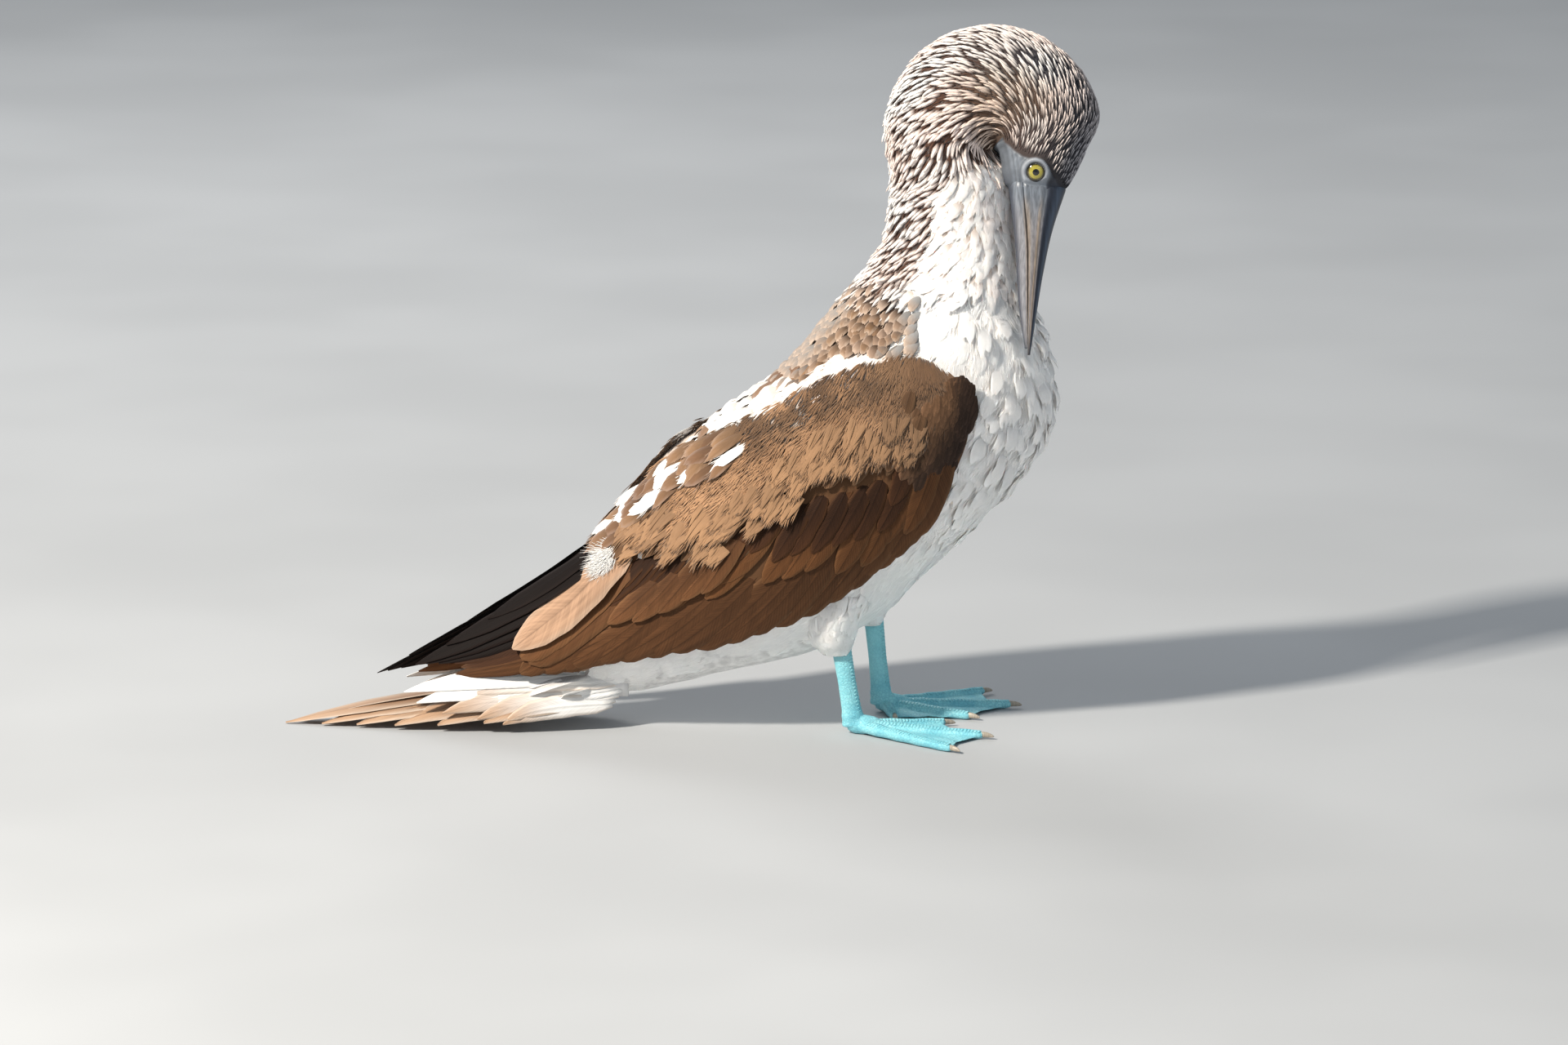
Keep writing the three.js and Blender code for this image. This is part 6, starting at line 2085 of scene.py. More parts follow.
class Leg:
    """A blue leg and webbed foot with its claws."""

    toes = (Toe("hind", 26, 84, 2), Toe("inner", 58, 31, 3), Toe("middle", 80, 1, 4), Toe("outer", 78, -29, 5))
    toe_radius = 4.4
    web_thick = 1.5
    claw_length = 7.0
    web_hollow = 0.09

    def __init__(self, side: Side, x: float, y: float, heading: float, top_x: float, top_z: float) -> None:
        """Keeps the foot's place and the ankle's."""
        self.side, self.x, self.y, self.heading = side, x, y, heading
        self.top = np.array([top_x, y, top_z])

    def direction(self, toe: Toe) -> Array:
        """The way that a toe points."""
        angle = math.radians(self.heading - self.side.value * toe.turn)
        return np.array([math.cos(angle), math.sin(angle), 0.0])

    def toe_line(self, toe: Toe, shares: Array) -> Array:
        """Points along a toe's middle."""
        radius = self.toe_radius * (1 - 0.34 * shares)
        high = 0.87 * radius + 1.2 * (1 - shares) ** 2 - 0.2
        line = np.array([self.x, self.y, 0.0]) + self.direction(toe) * (toe.length * shares)[:, None]
        line[:, 2] = high
        return line

    def toe_tube(self, toe: Toe) -> tuple[Array, Array]:
        """A toe with its knuckles."""
        shares = np.linspace(0, 1, 40)
        knuckle = 1 - 0.1 * np.abs(np.sin(np.pi * shares * (toe.joints - 0.5)))
        radius = self.toe_radius * (1 - 0.34 * shares) * knuckle
        radius[-2:] *= (0.92, 0.7)
        return tube(self.toe_line(toe, shares), radius, 16)

    def web(self, first: Toe, second: Toe) -> tuple[Array, Array]:
        """The web between two toes, with soft folds that fan from the ankle."""
        rows, columns = 26, 22
        t = np.linspace(0, 1, columns)
        ends = np.array([self.toe_line(toe, np.array([0.97]))[0] for toe in (first, second)])
        centre = np.array([self.x, self.y, 4.0])
        rim = ends[0] + (ends[1] - ends[0]) * t[:, None]
        sag = 1 - self.web_hollow * np.sin(np.pi * t)
        edge = centre + (rim - centre) * sag[:, None]
        top, under = [], []
        for share in np.linspace(0.05, 1, rows):
            line = centre + (edge - centre) * share
            folds = 0.5 * np.sin(5 * np.pi * t + 1.2 * np.sin(4 * share)) * np.sin(np.pi * t) * share
            lift = 0.9 + 3.0 * (1 - share) + np.maximum(folds, -0.5)
            thick = self.web_thick * (1 - 0.35 * share)
            line_top, line_under = line.copy(), line.copy()
            line_top[:, 2], line_under[:, 2] = lift + thick, lift
            top.append(line_top)
            under.append(line_under[::-1])
        rings = np.concatenate([np.array(top), np.array(under)], axis=1)
        return capped_tube(rings)

    def build(self, material: bpy.types.Material, horn: bpy.types.Material) -> list[bpy.types.Object]:
        """Makes the leg with its foot, and the claws."""
        parts = [self.toe_tube(toe) for toe in self.toes]
        parts += [self.web(self.toes[i], self.toes[i + 1]) for i in range(3)]
        x, y = self.x, self.y
        parts.append(tube([(x - 6, y, 5), (x - 2, y, 5.2), (x + 4, y, 5.2), (x + 10, y, 4.8), (x + 15, y, 4)],
                          [3.2, 5.4, 6.4, 5.6, 4], 20))
        shares = np.linspace(0, 1, 50)
        line = np.array([x - 2, y, 5.0]) + (self.top + [0, 0, 4] - np.array([x - 2, y, 5.0])) * shares[:, None]
        radius = np.interp(shares, [0, 0.08, 0.2, 0.5, 0.85, 1], [7.2, 7.0, 6.0, 5.5, 5.9, 6.4])
        radius = radius + 0.28 * np.sin(shares * 62) * np.exp(-((shares - 0.07) / 0.09) ** 2)
        parts.append(tube(line, radius, 24, 0.74))
        points, faces, count = [], [], 0
        for part_points, part_faces in parts:
            points.append(part_points)
            faces.append(part_faces + count)
            count += len(part_points)
        made = mesh_object(f"leg_{self.side.label}_skin", np.vstack(points), np.vstack(faces))
        self.fuse(made)
        made.data.materials.append(material)
        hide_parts(f"foot_{self.side.label}", f"leg_{self.side.label}")
        lines = []
        for toe in self.toes:
            shares = np.linspace(0.12, 0.97, 30)
            knuckle = 1 - 0.1 * np.abs(np.sin(np.pi * shares * (toe.joints - 0.5)))
            wide = self.toe_radius * (1 - 0.34 * shares) * knuckle * 0.001
            lines.append((self.toe_line(toe, shares), np.stack([0.6 + 0 * wide, wide, wide], axis=-1),
                          np.broadcast_to([0.0, 0.0, 1.0], (30, 3))))
        shin = line[8:44]
        wide = radius[8:44] * 0.001
        lines.append((shin, np.stack([0.6 + 0 * wide, 0.74 * wide, wide], axis=-1),
                      np.broadcast_to([1.0, 0.0, 0.0], shin.shape)))
        return [made, self.claws(horn), Scutes().build(f"leg_{self.side.label}_scutes", lines, material)]

    def fuse(self, made: bpy.types.Object) -> None:
        """Joins the leg's parts into one skin, smooths it and rests it on the floor."""
        remesh = made.modifiers.new("fuse", "REMESH")
        remesh.mode = "VOXEL"
        remesh.voxel_size = 0.0007
        soften = made.modifiers.new("soften", "SMOOTH")
        soften.factor, soften.iterations = 0.5, 4
        source = made.evaluated_get(bpy.context.evaluated_depsgraph_get())
        mesh = bpy.data.meshes.new_from_object(source)
        made.modifiers.clear()
        made.data = mesh
        places = np.empty(len(mesh.vertices) * 3, np.float32)
        mesh.vertices.foreach_get("co", places)
        places[2::3] = np.maximum(places[2::3], 0.0)
        mesh.vertices.foreach_set("co", places)
        mesh.shade_smooth()
        mesh.update()

    def claws(self, material: bpy.types.Material) -> bpy.types.Object:
        """The four claws, curved and blunt."""
        points, faces, count = [], [], 0
        for toe in self.toes:
            way = self.direction(toe)
            root = self.toe_line(toe, np.array([1.0]))[0]
            shares = np.linspace(-0.12, 1, 18)
            line = root + way * (self.claw_length * shares)[:, None]
            line[:, 2] += -1.1 * np.clip(shares, 0, 1) ** 2 + 0.3
            radius = 1.85 * np.sqrt(np.clip(1 - np.clip(shares, 0, 1) ** 1.6, 0.02, 1))
            more, turned = tube(line, radius, 14, 0.75)
            points.append(more)
            faces.append(turned + count)
            count += len(more)
        made = mesh_object(f"claws_{self.side.label}", np.vstack(points), np.vstack(faces))
        horn = np.append(paint(0.68, 0.64, 0.58), 1)
        keep_attribute(made, "tint", np.broadcast_to(horn, (count, 4)))
        made.data.materials.append(material)
        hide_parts(*(f"claw_{self.side.label}_{toe.name}" for toe in self.toes))
        return made


class Bill:
    """The long bill, as an upper and a lower mandible with a groove and a hooked ridge."""

    face_z = 339.0
    tip_z = 236.0
    culmen = Spline(np.array([(119.6,), (111.2,), (105.6,), (101.3,), (97.2,)]))
    mouth = Spline(np.array([(93.0,), (95.6,), (95.8,), (95.6,)]))
    chin = Spline(np.array([(84.4,), (88.2,), (90.0,), (94.4,)]))

    def edge(self, line: Spline, t: Array) -> Array:
        """Reads a line of the bill at shares of its length."""
        return line.at(np.asarray(t) * line.last)[..., 0]

    def mandible(self, name: str, is_upper: bool) -> bpy.types.Object:
        """Makes one mandible.

        Args:
            name: The CAD node that it replaces.
            is_upper: Whether it is the upper one.

        Returns:
            The mandible, painted in bands.
        """
        rows, around = 90, 64
        end = 1.0 if is_upper else 0.96
        t = np.linspace(-0.05, end, rows)
        inside = np.clip(t, 0, 1)
        z = self.face_z - 0.3 - t * (self.face_z - self.tip_z - 0.3)
        ridge = self.edge(self.culmen if is_upper else self.chin, inside)
        mouth = self.edge(self.mouth, inside) + (0.15 if is_upper else -0.15)
        half = self.half_width(inside)
        shrink = 1 - 0.09 * (np.minimum(t, 0) / 0.05) ** 2
        angle = np.linspace(0, np.pi, around)
        fullness = 0.8 if is_upper else 0.7
        rise = np.maximum(np.sin(angle), 0)[None, :] ** fullness
        across = np.cos(angle)[None, :] * (half * shrink)[:, None]
        x = mouth[:, None] + rise * ((ridge - mouth) * shrink)[:, None]
        share = (x - mouth[:, None]) / (ridge - mouth)[:, None]
        if is_upper:
            groove = np.exp(-(((share - 0.56 + 0.1 * inside[:, None]) / 0.05) ** 2))
            groove *= (1 - smooth(inside, 0.7, 0.85))[:, None]
            across = across * (1 - 0.07 * groove)
            lip = np.exp(-((share / 0.1) ** 2)) * 0.03
            across = across * (1 + lip)
        flat = np.stack([x, across, np.broadcast_to(z[:, None], x.shape)], axis=-1)
        points = self.lean(flat)
        made_points, faces = capped_tube(points)
        made = mesh_object(name + "_horn", made_points, faces)
        tints = self.bands(share, np.broadcast_to(inside[:, None], x.shape), is_upper)
        # Painted shade: the bill's root is darker in the creases that go on from the face.
        creased = 0.75 * face_creases(x, z[:, None]) * (1 - smooth(inside, 0.04, 0.3))[:, None]
        tints = blend(tints, SLATE * 0.42, creased * (1 - smooth(share, 0.48, 0.58)))
        flat_tints = np.vstack([tints.reshape(-1, 3), tints[0].mean(axis=0), tints[-1].mean(axis=0)])
        keep_tints(made, flat_tints)
        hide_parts(name)
        return made

    @classmethod
    def section(cls, t: float) -> Array:
        """The bill's outline at a share of its length, from above, as rows of x and y."""
        mouth = cls.mouth.at(np.array(t * cls.mouth.last))[0]
        half = cls.half_width(np.array(t))
        angle = np.linspace(0, np.pi, 60)
        rise = np.maximum(np.sin(angle), 0)
        upper, lower = (line.at(np.array(t * line.last))[0] for line in (cls.culmen, cls.chin))
        rows = [np.stack([mouth + rise**full * (ridge - mouth), np.cos(angle) * half], axis=-1)
                for ridge, full in ((upper, 0.8), (lower, 0.7))]
        return np.vstack(rows)

    @staticmethod
    def half_width(t: Array) -> Array:
        """Half the bill's width at shares of its length."""
        return 0.8 + 12.4 * (1 - t) ** 0.85 + 0.7 * np.exp(-((t / 0.12) ** 2))

    @staticmethod
    def lean(points: Array, way: float = 1.0) -> Array:
        """Tilts points of the bill as the head is tilted, or back with a way of -1."""
        y, z = points[..., 1], points[..., 2] - BODY_FORM.tilt_height
        cos, sin = math.cos(BODY_FORM.tilt), way * math.sin(BODY_FORM.tilt)
        return np.stack([points[..., 0], y * cos + z * sin, z * cos - y * sin + BODY_FORM.tilt_height], axis=-1)

    @staticmethod
    def bands(share: Array, t: Array, is_upper: bool) -> Array:
        """Colours of a mandible, in bands along it.

        Args:
            share: From the line of the mouth, 0, to the ridge, 1.
            t: From the face, 0, to the tip, 1.
            is_upper: Whether it is the upper mandible.

        Returns:
            Linear colours.
        """
        shape = (*share.shape, 3)
        grey = blend(np.broadcast_to(SLATE * 0.8, shape), paint(0.53, 0.53, 0.55), smooth(t, 0.0, 0.25))
        sand = paint(0.74, 0.64, 0.52)
        begun = smooth(t, 0.02, 0.2)
        colour = blend(grey, sand, 0.8 * begun * np.exp(-((share / 0.12) ** 2)))
        if is_upper:
            colour = blend(colour, paint(0.46, 0.41, 0.38), 0.6 * smooth(share, 0.1, 0.3) * smooth(t, 0.1, 0.5))
            colour = blend(colour, sand, 0.6 * begun * np.exp(-(((share - 0.46 + 0.1 * t) / 0.05) ** 2)))
            # The ridge side is dark navy: partly the horn's own blue-grey, partly painted shade on the side turned from
            # the light.
            colour = blend(colour, NAVY, smooth(share, 0.52, 0.62))
            # Painted highlight: a lighter blue-grey sheen along the ridge.
            colour = blend(colour, paint(0.36, 0.42, 0.50), 0.6 * np.exp(-(((share - 0.86) / 0.09) ** 2)))
        else:
            colour = blend(colour, NAVY * 1.7, 0.8 * smooth(share, 0.55, 0.95))
        colour = blend(colour, NAVY, 0.75 * smooth(t, 0.85, 1.0))
        # Painted shade: a dark line along the mouth, where the mandibles meet.
        return blend(colour, paint(0.10, 0.09, 0.10), 0.85 * begun * np.exp(-((share / 0.022) ** 2)))

    @staticmethod
    def bands_at(x: Array, t: Array) -> Array:
        """Colours where the bill meets the face, by their place from front to back.

        Args:
            x: Drawn millimetres forward.
            t: Share of the bill's length.

        Returns:
            Linear colours.
        """
        upper = Bill.bands(np.clip((x - 93.0) / 26.6, 0, 1), t, True)
        lower = Bill.bands(np.clip((93.0 - x) / 8.6, 0, 1), t, False)
        return np.where((x > 93.0)[..., None], upper, lower)

    def build(self) -> list[bpy.types.Object]:
        """Makes both mandibles."""
        horn = HornFinish("bill_horn", 0.36).build()
        made = [self.mandible("bill_upper", True), self.mandible("bill_lower", False)]
        for piece in made:
            piece.data.materials.append(horn)
        return made


class Eye:
    """An eyeball with its yellow iris and black pupil."""

    radius = 8.5
    forward = math.radians(18)

    def __init__(self, side: Side) -> None:
        """Finds the eye's seat in the head."""
        self.side = side
        box = [np.array(corner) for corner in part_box(f"eye_{side.label}")]
        self.centre = (box[0] + box[1]) / 2
        out = np.array([0, side.value * math.cos(self.forward), -math.sin(self.forward)])
        cos, sin = math.cos(BODY_FORM.tilt), math.sin(BODY_FORM.tilt)
        self.out = np.array([out[0], out[1] * cos + out[2] * sin, out[2] * cos - out[1] * sin])

    def material(self) -> bpy.types.Material:
        """Wet eye: pupil, iris with fine rays, and a dark rim."""
        material, draw, shader = new_material(f"eye_{self.side.label}_iris")
        place = draw.node("ShaderNodeAttribute", attribute_name="gaze").outputs["Vector"]
        apart = draw.node("ShaderNodeSeparateXYZ")
        draw.link(place, apart.inputs[0])
        reach, turn = apart.outputs[0], apart.outputs[1]
        rays = draw.node("ShaderNodeCombineXYZ")
        draw.link(draw.maths("MULTIPLY", turn, 9.0), rays.inputs[0])
        draw.link(draw.maths("MULTIPLY", reach, 0.5), rays.inputs[1])
        fibres = draw.ramp(draw.noise(rays.outputs[0], 3.0, 4.0), 0.3, 0.7)
        iris = draw.mix(fibres, paint(0.50, 0.46, 0.15), paint(0.78, 0.73, 0.30))
        iris = draw.mix(draw.ramp(reach, 3.6, 5.0), iris, paint(0.22, 0.19, 0.09))
        colour = draw.mix(draw.ramp(reach, 1.95, 2.2), paint(0.01, 0.01, 0.012), iris)
        colour = draw.mix(draw.ramp(reach, 5.4, 5.7), colour, paint(0.03, 0.03, 0.03))
        draw.link(colour, shader.inputs["Base Color"])
        shader.inputs["Roughness"].default_value = 0.12
        shader.inputs["Coat Weight"].default_value = 1.0
        shader.inputs["Coat Roughness"].default_value = 0.02
        return material

    def build(self) -> bpy.types.Object:
        """Makes the eyeball."""
        rows, columns = 40, 48
        bend = np.linspace(0.02, np.pi - 0.02, rows)
        turn = 2 * np.pi * np.arange(columns) / columns
        guide = np.array([0.0, 0.0, 1.0])
        right = unit(np.cross(self.out, guide))
        up = np.cross(right, self.out)
        ring = (np.cos(turn)[None, :, None] * right + np.sin(turn)[None, :, None] * up)
        balls = self.out * np.cos(bend)[:, None, None] + ring * np.sin(bend)[:, None, None]
        rings = self.centre + balls * self.radius * 0.001
        points, faces = capped_tube(rings)
        made = mesh_object(f"eye_{self.side.label}_ball", points, faces, is_placed=True)
        reach = np.broadcast_to((self.radius * np.sin(bend))[:, None], (rows, columns)).copy()
        reach[bend > np.pi / 2] = 9.0
        gaze = np.stack([reach, np.broadcast_to(np.abs(turn - np.pi), reach.shape), 0 * reach], axis=-1).reshape(-1, 3)
        keep_attribute(made, "gaze", np.vstack([gaze, (0, 0, 0), (9, 0, 0)]))
        made.data.materials.append(self.material())
        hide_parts(f"eye_{self.side.label}")
        return made


class Tail:
    """The pointed tail: pairs of long vanes, and the coverts over and under their roots."""

    tips = [(-364, 3.5, 0.5), (-341, 10, 1.6), (-319, 16, 2.4), (-295, 22, 3.2), (-268, 27, 4.4), (-239, 31, 6.5)]
    half = 11.0

    def __init__(self) -> None:
        """Starts the source of chance."""
        self.rng = np.random.default_rng(71)

    def vane(self, coat: Coat, root: Array, tip: Array, half: float, roll: float, curve: float,
             colours: tuple[Array, Array, Array], shape: VaneShape, ragged: float = 0.12) -> None:
        """Adds one vane from a root to a tip.

        Args:
            coat: Where it is kept.
            root: Its root.
            tip: Its tip.
            half: Half its width.
            roll: Degrees that it is rolled about its length.
            curve: How far it bows upwards.
            colours: The colours of root, tip and edge.
            shape: Its outline.
            ragged: How deep its edges are split.
        """
        root, tip = np.asarray(root, float), np.asarray(tip, float)
        run = unit(tip - root)
        level = unit(np.array([0.0, 1.0, 0.0]) - run * run[1])
        up = np.cross(level, run)
        up = up if up[2] > 0 else -up
        turn = math.radians(roll)
        across = level * math.cos(turn) + np.cross(run, level) * math.sin(turn)
        out = up * math.cos(turn) + np.cross(run, up) * math.sin(turn)
        shares, widths, columns = shape.shares(), shape.widths(), np.array(shape.columns)
        middle = root + (tip - root) * shares[:, None] + up * (4 * curve * shares * (1 - shares))[:, None]
        middle[:, 2] += 0.75 * half * abs(math.sin(turn)) * shares * widths
        notch = np.where(self.rng.random((len(shares), 2)) < 0.2, self.rng.uniform(0.3, 1, (len(shares), 2)), 0)
        cut = np.ones((len(shares), len(columns)))
        cut[:, 0] -= notch[:, 0] * ragged
        cut[:, -1] -= notch[:, 1] * ragged
        reach = half * widths[:, None] * columns[None, :] * cut
        ridge = 0.4 * (np.abs(columns) < 0.05)[None, :] * (1 - 0.7 * shares)[:, None]
        sag = -0.06 * half * (columns**2)[None, :] + ridge
        thick = 0.4 * (1 - 0.5 * np.abs(columns))[None, :] * np.ones((len(shares), 1))
        flat = middle[:, None] + across * reach[..., None]
        top = flat + out * (sag + thick / 2)[..., None]
        under = flat + out * (sag - thick / 2)[..., None]
        points = np.concatenate([top.reshape(-1, 3), under.reshape(-1, 3)])
        points[:, 2] = np.maximum(points[:, 2], 0.02)
        share = np.tile(np.repeat(shares, len(columns)), 2)
        side = np.tile(np.tile(columns, len(shares)), 2)
        base, end, edge = colours
        tints = blend(np.broadcast_to(base, points.shape), end, smooth(share, 0.45, 1.0))
        tints = blend(tints, edge, 0.7 * smooth(np.abs(side), 0.55, 1.0))
        shaft = 0.6 if np.mean(base) < 0.6 else 0.05
        tints = blend(tints, base * 0.5, shaft * (np.abs(side) < 0.05))
        strands = np.stack([share, side, np.full(len(share), self.rng.random())], axis=-1)
        patch = np.stack([share - 0.5, side * 0.5], axis=-1) * 0.003
        spot = np.array([(root[0] + tip[0]) / 2 / -380.0 * 0.9, 0.5 + (root[1] + tip[1]) / 160])
        faces = shape.faces()
        coat.add(points[None], faces, tints[None], strands[None], (spot + patch)[None])

    def build(self) -> bpy.types.Object:
        """Makes the tail."""
        coat = Coat()
        tan, pale, cream = paint(0.46, 0.34, 0.25), paint(0.72, 0.585, 0.47), paint(0.88, 0.81, 0.74)
        for side in (-1, 1):
            for pair, (x, y, z) in enumerate(self.tips):
                uneven = side * 0.3
                root = (-164, side * (2 + 2.6 * pair), 33 - 2.1 * pair + uneven)
                tip = (x + 3 * side, side * y, z + (uneven if pair else 0))
                self.vane(coat, root, tip, self.half, side * (12 + 7.5 * pair), 2.4, (tan, pale, cream), POINTED)
            for i, (tip_x, is_white) in enumerate(((-292, True), (-272, False), (-284, True), (-258, True),
                                                   (-268, False), (-246, False), (-230, False))):
                root = (-150 - 2 * i, side * (17 + 0.8 * i), 34 - 2.9 * i)
                tip = (tip_x, side * (22 + 1.8 * i), 24 - 3.1 * i)
                shades = (WHITE * 0.92, WHITE, WHITE) if is_white else (WHITE * 0.9, pale, cream)
                self.vane(coat, root, tip, 7.5, side * (52 + 4 * i), 2.0, shades, POINTED, 0.05)
            for layer, root_z, tip_x, tip_z, drop, curve in ((1, 40, -250, 28, 1.8, 3), (-1, 21, -228, 12.5, -1.8, -2)):
                for i in range(5):
                    y = 3 + 5 * i
                    root = (-166 - 2 * i, side * y * 0.6, root_z - drop * i * 0.6)
                    tip = (tip_x + 9 * i + 3 * side, side * y, tip_z - drop * 0.9 * i)
                    shade = WHITE if layer < 0 else blend(WHITE, tan, np.array(0.35))
                    colours = (np.asarray(shade) * 0.9, np.asarray(shade), WHITE)
                    shape = COVERT if layer > 0 else ROUNDED
                    self.vane(coat, root, tip, 10, side * (4 + 5 * i) * layer, curve, colours, shape, 0.03)
        core_rows = np.linspace(0, 1, 12)
        wide = np.interp(core_rows, [0, 0.5, 1], [21, 18, 9])
        deep = np.interp(core_rows, [0, 0.5, 1], [12, 9, 2.4])
        angle = 2 * np.pi * np.arange(24) / 24
        rings = np.stack([
            np.broadcast_to((-152 - 48 * core_rows)[:, None], (12, 24)),
            wide[:, None] * np.cos(angle)[None],
            29 - 6 * core_rows[:, None] + deep[:, None] * np.sin(angle)[None],
        ], axis=-1)
        points, faces = capped_tube(rings)
        tints = np.broadcast_to(SHADE, points.shape)
        coat.add(points[None], faces, tints[None], np.zeros((1, len(points), 3)), np.full((1, len(points), 2), 0.5))
        finish = PlumageFinish("tail_vane", 0.6, 0.1, 90.0, 14.0, 0.2, 0.3).build()
        made = coat.build("tail_vanes", finish)
        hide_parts("tail")
        return made


class Studio:
    """The plain floor, the soft lights and the camera at the photograph's angle."""

    elevation = math.radians(12)
    distance = 6.0
    aim = (-54.6, 0.0, 127.7)
    width_shown = 979.2

    def lamp(self, name: str, place: tuple[float, float, float], size: float, power: float,
             colour: tuple[float, float, float]) -> None:
        """Adds one soft light aimed at the bird."""
        data = bpy.data.lights.new(name, "AREA")
        data.size, data.energy, data.color = size, power, colour
        made = bpy.data.objects.new(name, data)
        made.location = place
        target = Vector(LAYOUT.place(np.array([0.0, 0.0, 180.0])).tolist())
        made.rotation_euler = (target - made.location).to_track_quat("-Z", "Y").to_euler()
        bpy.context.collection.objects.link(made)

    def build(self) -> None:
        """Makes the stage."""
        scene = bpy.context.scene
        aim = Vector(LAYOUT.place(np.array(self.aim)).tolist())
        data = bpy.data.cameras.new("photo_camera")
        data.sensor_width = 36.0
        data.lens = 36.0 * self.distance * 1000 / self.width_shown
        camera = bpy.data.objects.new("photo_camera", data)
        camera.location = aim + self.distance * Vector((0, -math.cos(self.elevation), math.sin(self.elevation)))
        camera.rotation_euler = (aim - camera.location).to_track_quat("-Z", "Y").to_euler()
        bpy.context.collection.objects.link(camera)
        scene.camera = camera
        points = np.array([(-9.0, -9.0, -0.0005), (9.0, -9.0, -0.0005), (9.0, 9.0, -0.0005), (-9.0, 9.0, -0.0005)])
        mesh = bpy.data.meshes.new("floor")
        mesh.from_pydata([tuple(p) for p in points], [], [(0, 1, 2, 3)])
        floor = bpy.data.objects.new("floor", mesh)
        bpy.context.collection.objects.link(floor)
        material, draw, shader = new_material("floor_paint")
        place = draw.node("ShaderNodeTexCoord").outputs["Object"]
        tone = draw.ramp(draw.noise(place, 3.0, 2.0), 0.3, 0.7)
        draw.link(draw.mix(tone, paint(0.70, 0.71, 0.72), paint(0.73, 0.74, 0.75)), shader.inputs["Base Color"])
        shader.inputs["Roughness"].default_value = 0.9
        floor.data.materials.append(material)
        world = bpy.data.worlds.new("studio")
        world.use_nodes = True
        backdrop = world.node_tree.nodes["Background"]
        backdrop.inputs["Color"].default_value = (0.78, 0.86, 0.95, 1)
        backdrop.inputs["Strength"].default_value = 0.35
        scene.world = world
        self.lamp("sun_side", (-1.9, -1.7, 2.3), 0.3, 165, (1.0, 0.93, 0.83))
        self.lamp("sky_fill", (1.8, -2.4, 1.2), 2.2, 6.5, (0.86, 0.93, 1.0))
        self.lamp("rim", (-0.8, 2.2, 1.9), 1.2, 28, (1.0, 0.98, 0.95))
        scene.view_settings.view_transform = "Standard"


SLOTS = (
    ("wing", "brown_feathers"), ("coat_back", "brown_feathers"), ("coat_mantle", "brown_feathers"),
    ("coat_streaks", "streaked_feathers"), ("tail", "tail_feathers"), ("bill", "bill_horn"), ("leg", "blue_skin"),
    ("claws", "claw_horn"), ("eye", "iris"), ("", "white_feathers"),
)


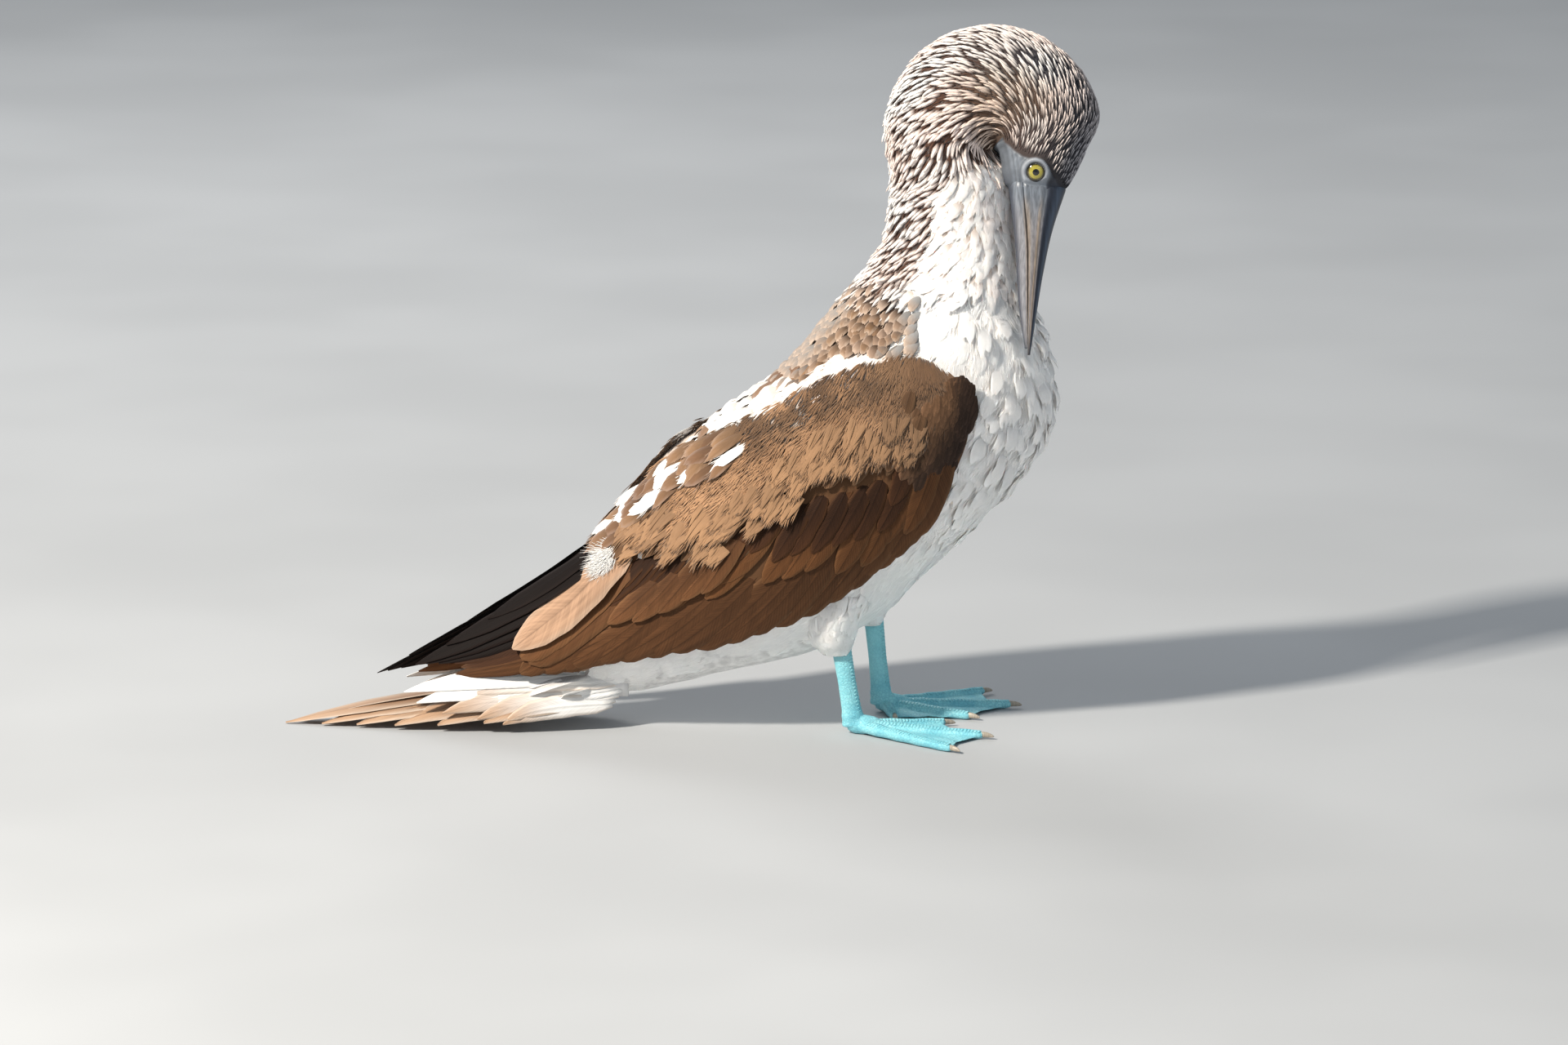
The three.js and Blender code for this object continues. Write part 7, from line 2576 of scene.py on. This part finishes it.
class Booby:
    """The whole bird."""

    legs = {
        Side.RIGHT: (-9.0, -30.0, -13.0, -20.0, 56.0),
        Side.LEFT: (9.0, 30.0, 7.0, 1.0, 62.0),
    }

    def thighs(self) -> list[ThighForm]:
        """The two thighs."""
        return [ThighForm(side, top_x, y, top_z) for side, (_, y, _, top_x, top_z) in self.legs.items()]

    def thigh_coat(self, thighs: list[ThighForm], coat: Coat) -> None:
        """The thighs' soft white tufts."""
        rng = np.random.default_rng(17)
        for thigh in thighs:
            a, b = np.meshgrid(np.arange(0.5, 3.75, 0.22), np.arange(0, 2 * np.pi, 0.24), indexing="ij")
            a = (a + rng.uniform(-0.09, 0.09, a.shape)).ravel()
            b = (b + rng.uniform(-0.1, 0.1, b.shape)).ravel()
            count = len(a)
            sunk = Sunk(thigh, lambda p, q: np.full(np.shape(p), 3.4))
            tip = blend(np.broadcast_to(WHITE, (count, 3)), SHADE, 0.3 * rng.random(count))
            lie = rng.normal(0, 0.15, count)
            lay_sheets(sunk, Sheets(a, b, lie, rng.uniform(11, 15, count), rng.uniform(2.8, 4.0, count),
                                    rng.uniform(2.8, 4.4, count), tip * 0.95, tip, tip, -1.2, 0.05, 0.2, hairs=5),
                       coat, rng)

    def build(self) -> None:
        """Builds every piece in order and rides it on the body."""
        pieces = []
        thighs = self.thighs()
        skin = Skin(thighs).build()
        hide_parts("head", "neck", "torso", "thigh_left", "thigh_right")
        pieces.append(skin)
        fine = PlumageFinish("small_feathers", 0.85, 0.2, 12.0, 3.0, 0.12, 0.2).build()
        snow = PlumageFinish("white_down", 0.9, 0.25, 12.0, 3.0, 0.05, 0.1, 0.6).build()
        body = BodyCoat()
        streaks, legs = Coat(), Coat(softness=0.7)
        throat, breast, belly, rump = (Coat(softness=0.8) for _ in range(4))
        mantle, back, stripe = (Coat(softness=0.3) for _ in range(3))
        body.streaks(streaks)
        body.throat(throat)
        body.down(throat, 9.6, 14.0)
        body.down(breast, 14.0, 18.0)
        body.down(belly, 18.0, 21.6, 5)
        body.down(rump, 21.6, BODY_FORM.last - 0.3, 5)
        body.mantle(mantle)
        body.back(back)
        body.stripe(stripe)
        self.thigh_coat(thighs, legs)
        pieces.append(streaks.build("coat_streaks", fine))
        for coat, name in ((throat, "throat"), (breast, "breast"), (belly, "belly"), (rump, "rump"), (legs, "thighs")):
            pieces.append(coat.build(f"coat_{name}", snow))
        for coat, name in ((mantle, "mantle"), (back, "back"), (stripe, "stripe")):
            pieces.append(coat.build(f"coat_{name}", fine))
        for side in Side:
            pieces += Wing(side).build()
        pieces.append(Tail().build())
        pieces += Bill().build()
        blue, horn = BlueSkinFinish().build(), HornFinish("claw_horn", 0.4, 0.6).build()
        for side, sizes in self.legs.items():
            pieces += Leg(side, *sizes).build(blue, horn)
            pieces.append(Eye(side).build())
        for piece in pieces:
            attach(piece, BODY)
            slot = next(slot for start, slot in SLOTS if piece.name.startswith(start))
            log.info("%s rides on %s in %s", piece.name, BODY, slot)


def main() -> None:
    """Loads the frame, builds the bird and its stage."""
    logging.basicConfig(level=logging.INFO, format="%(message)s")
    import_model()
    LAYOUT.measure()
    Booby().build()
    Studio().build()


if __name__ == "__main__":
    main()
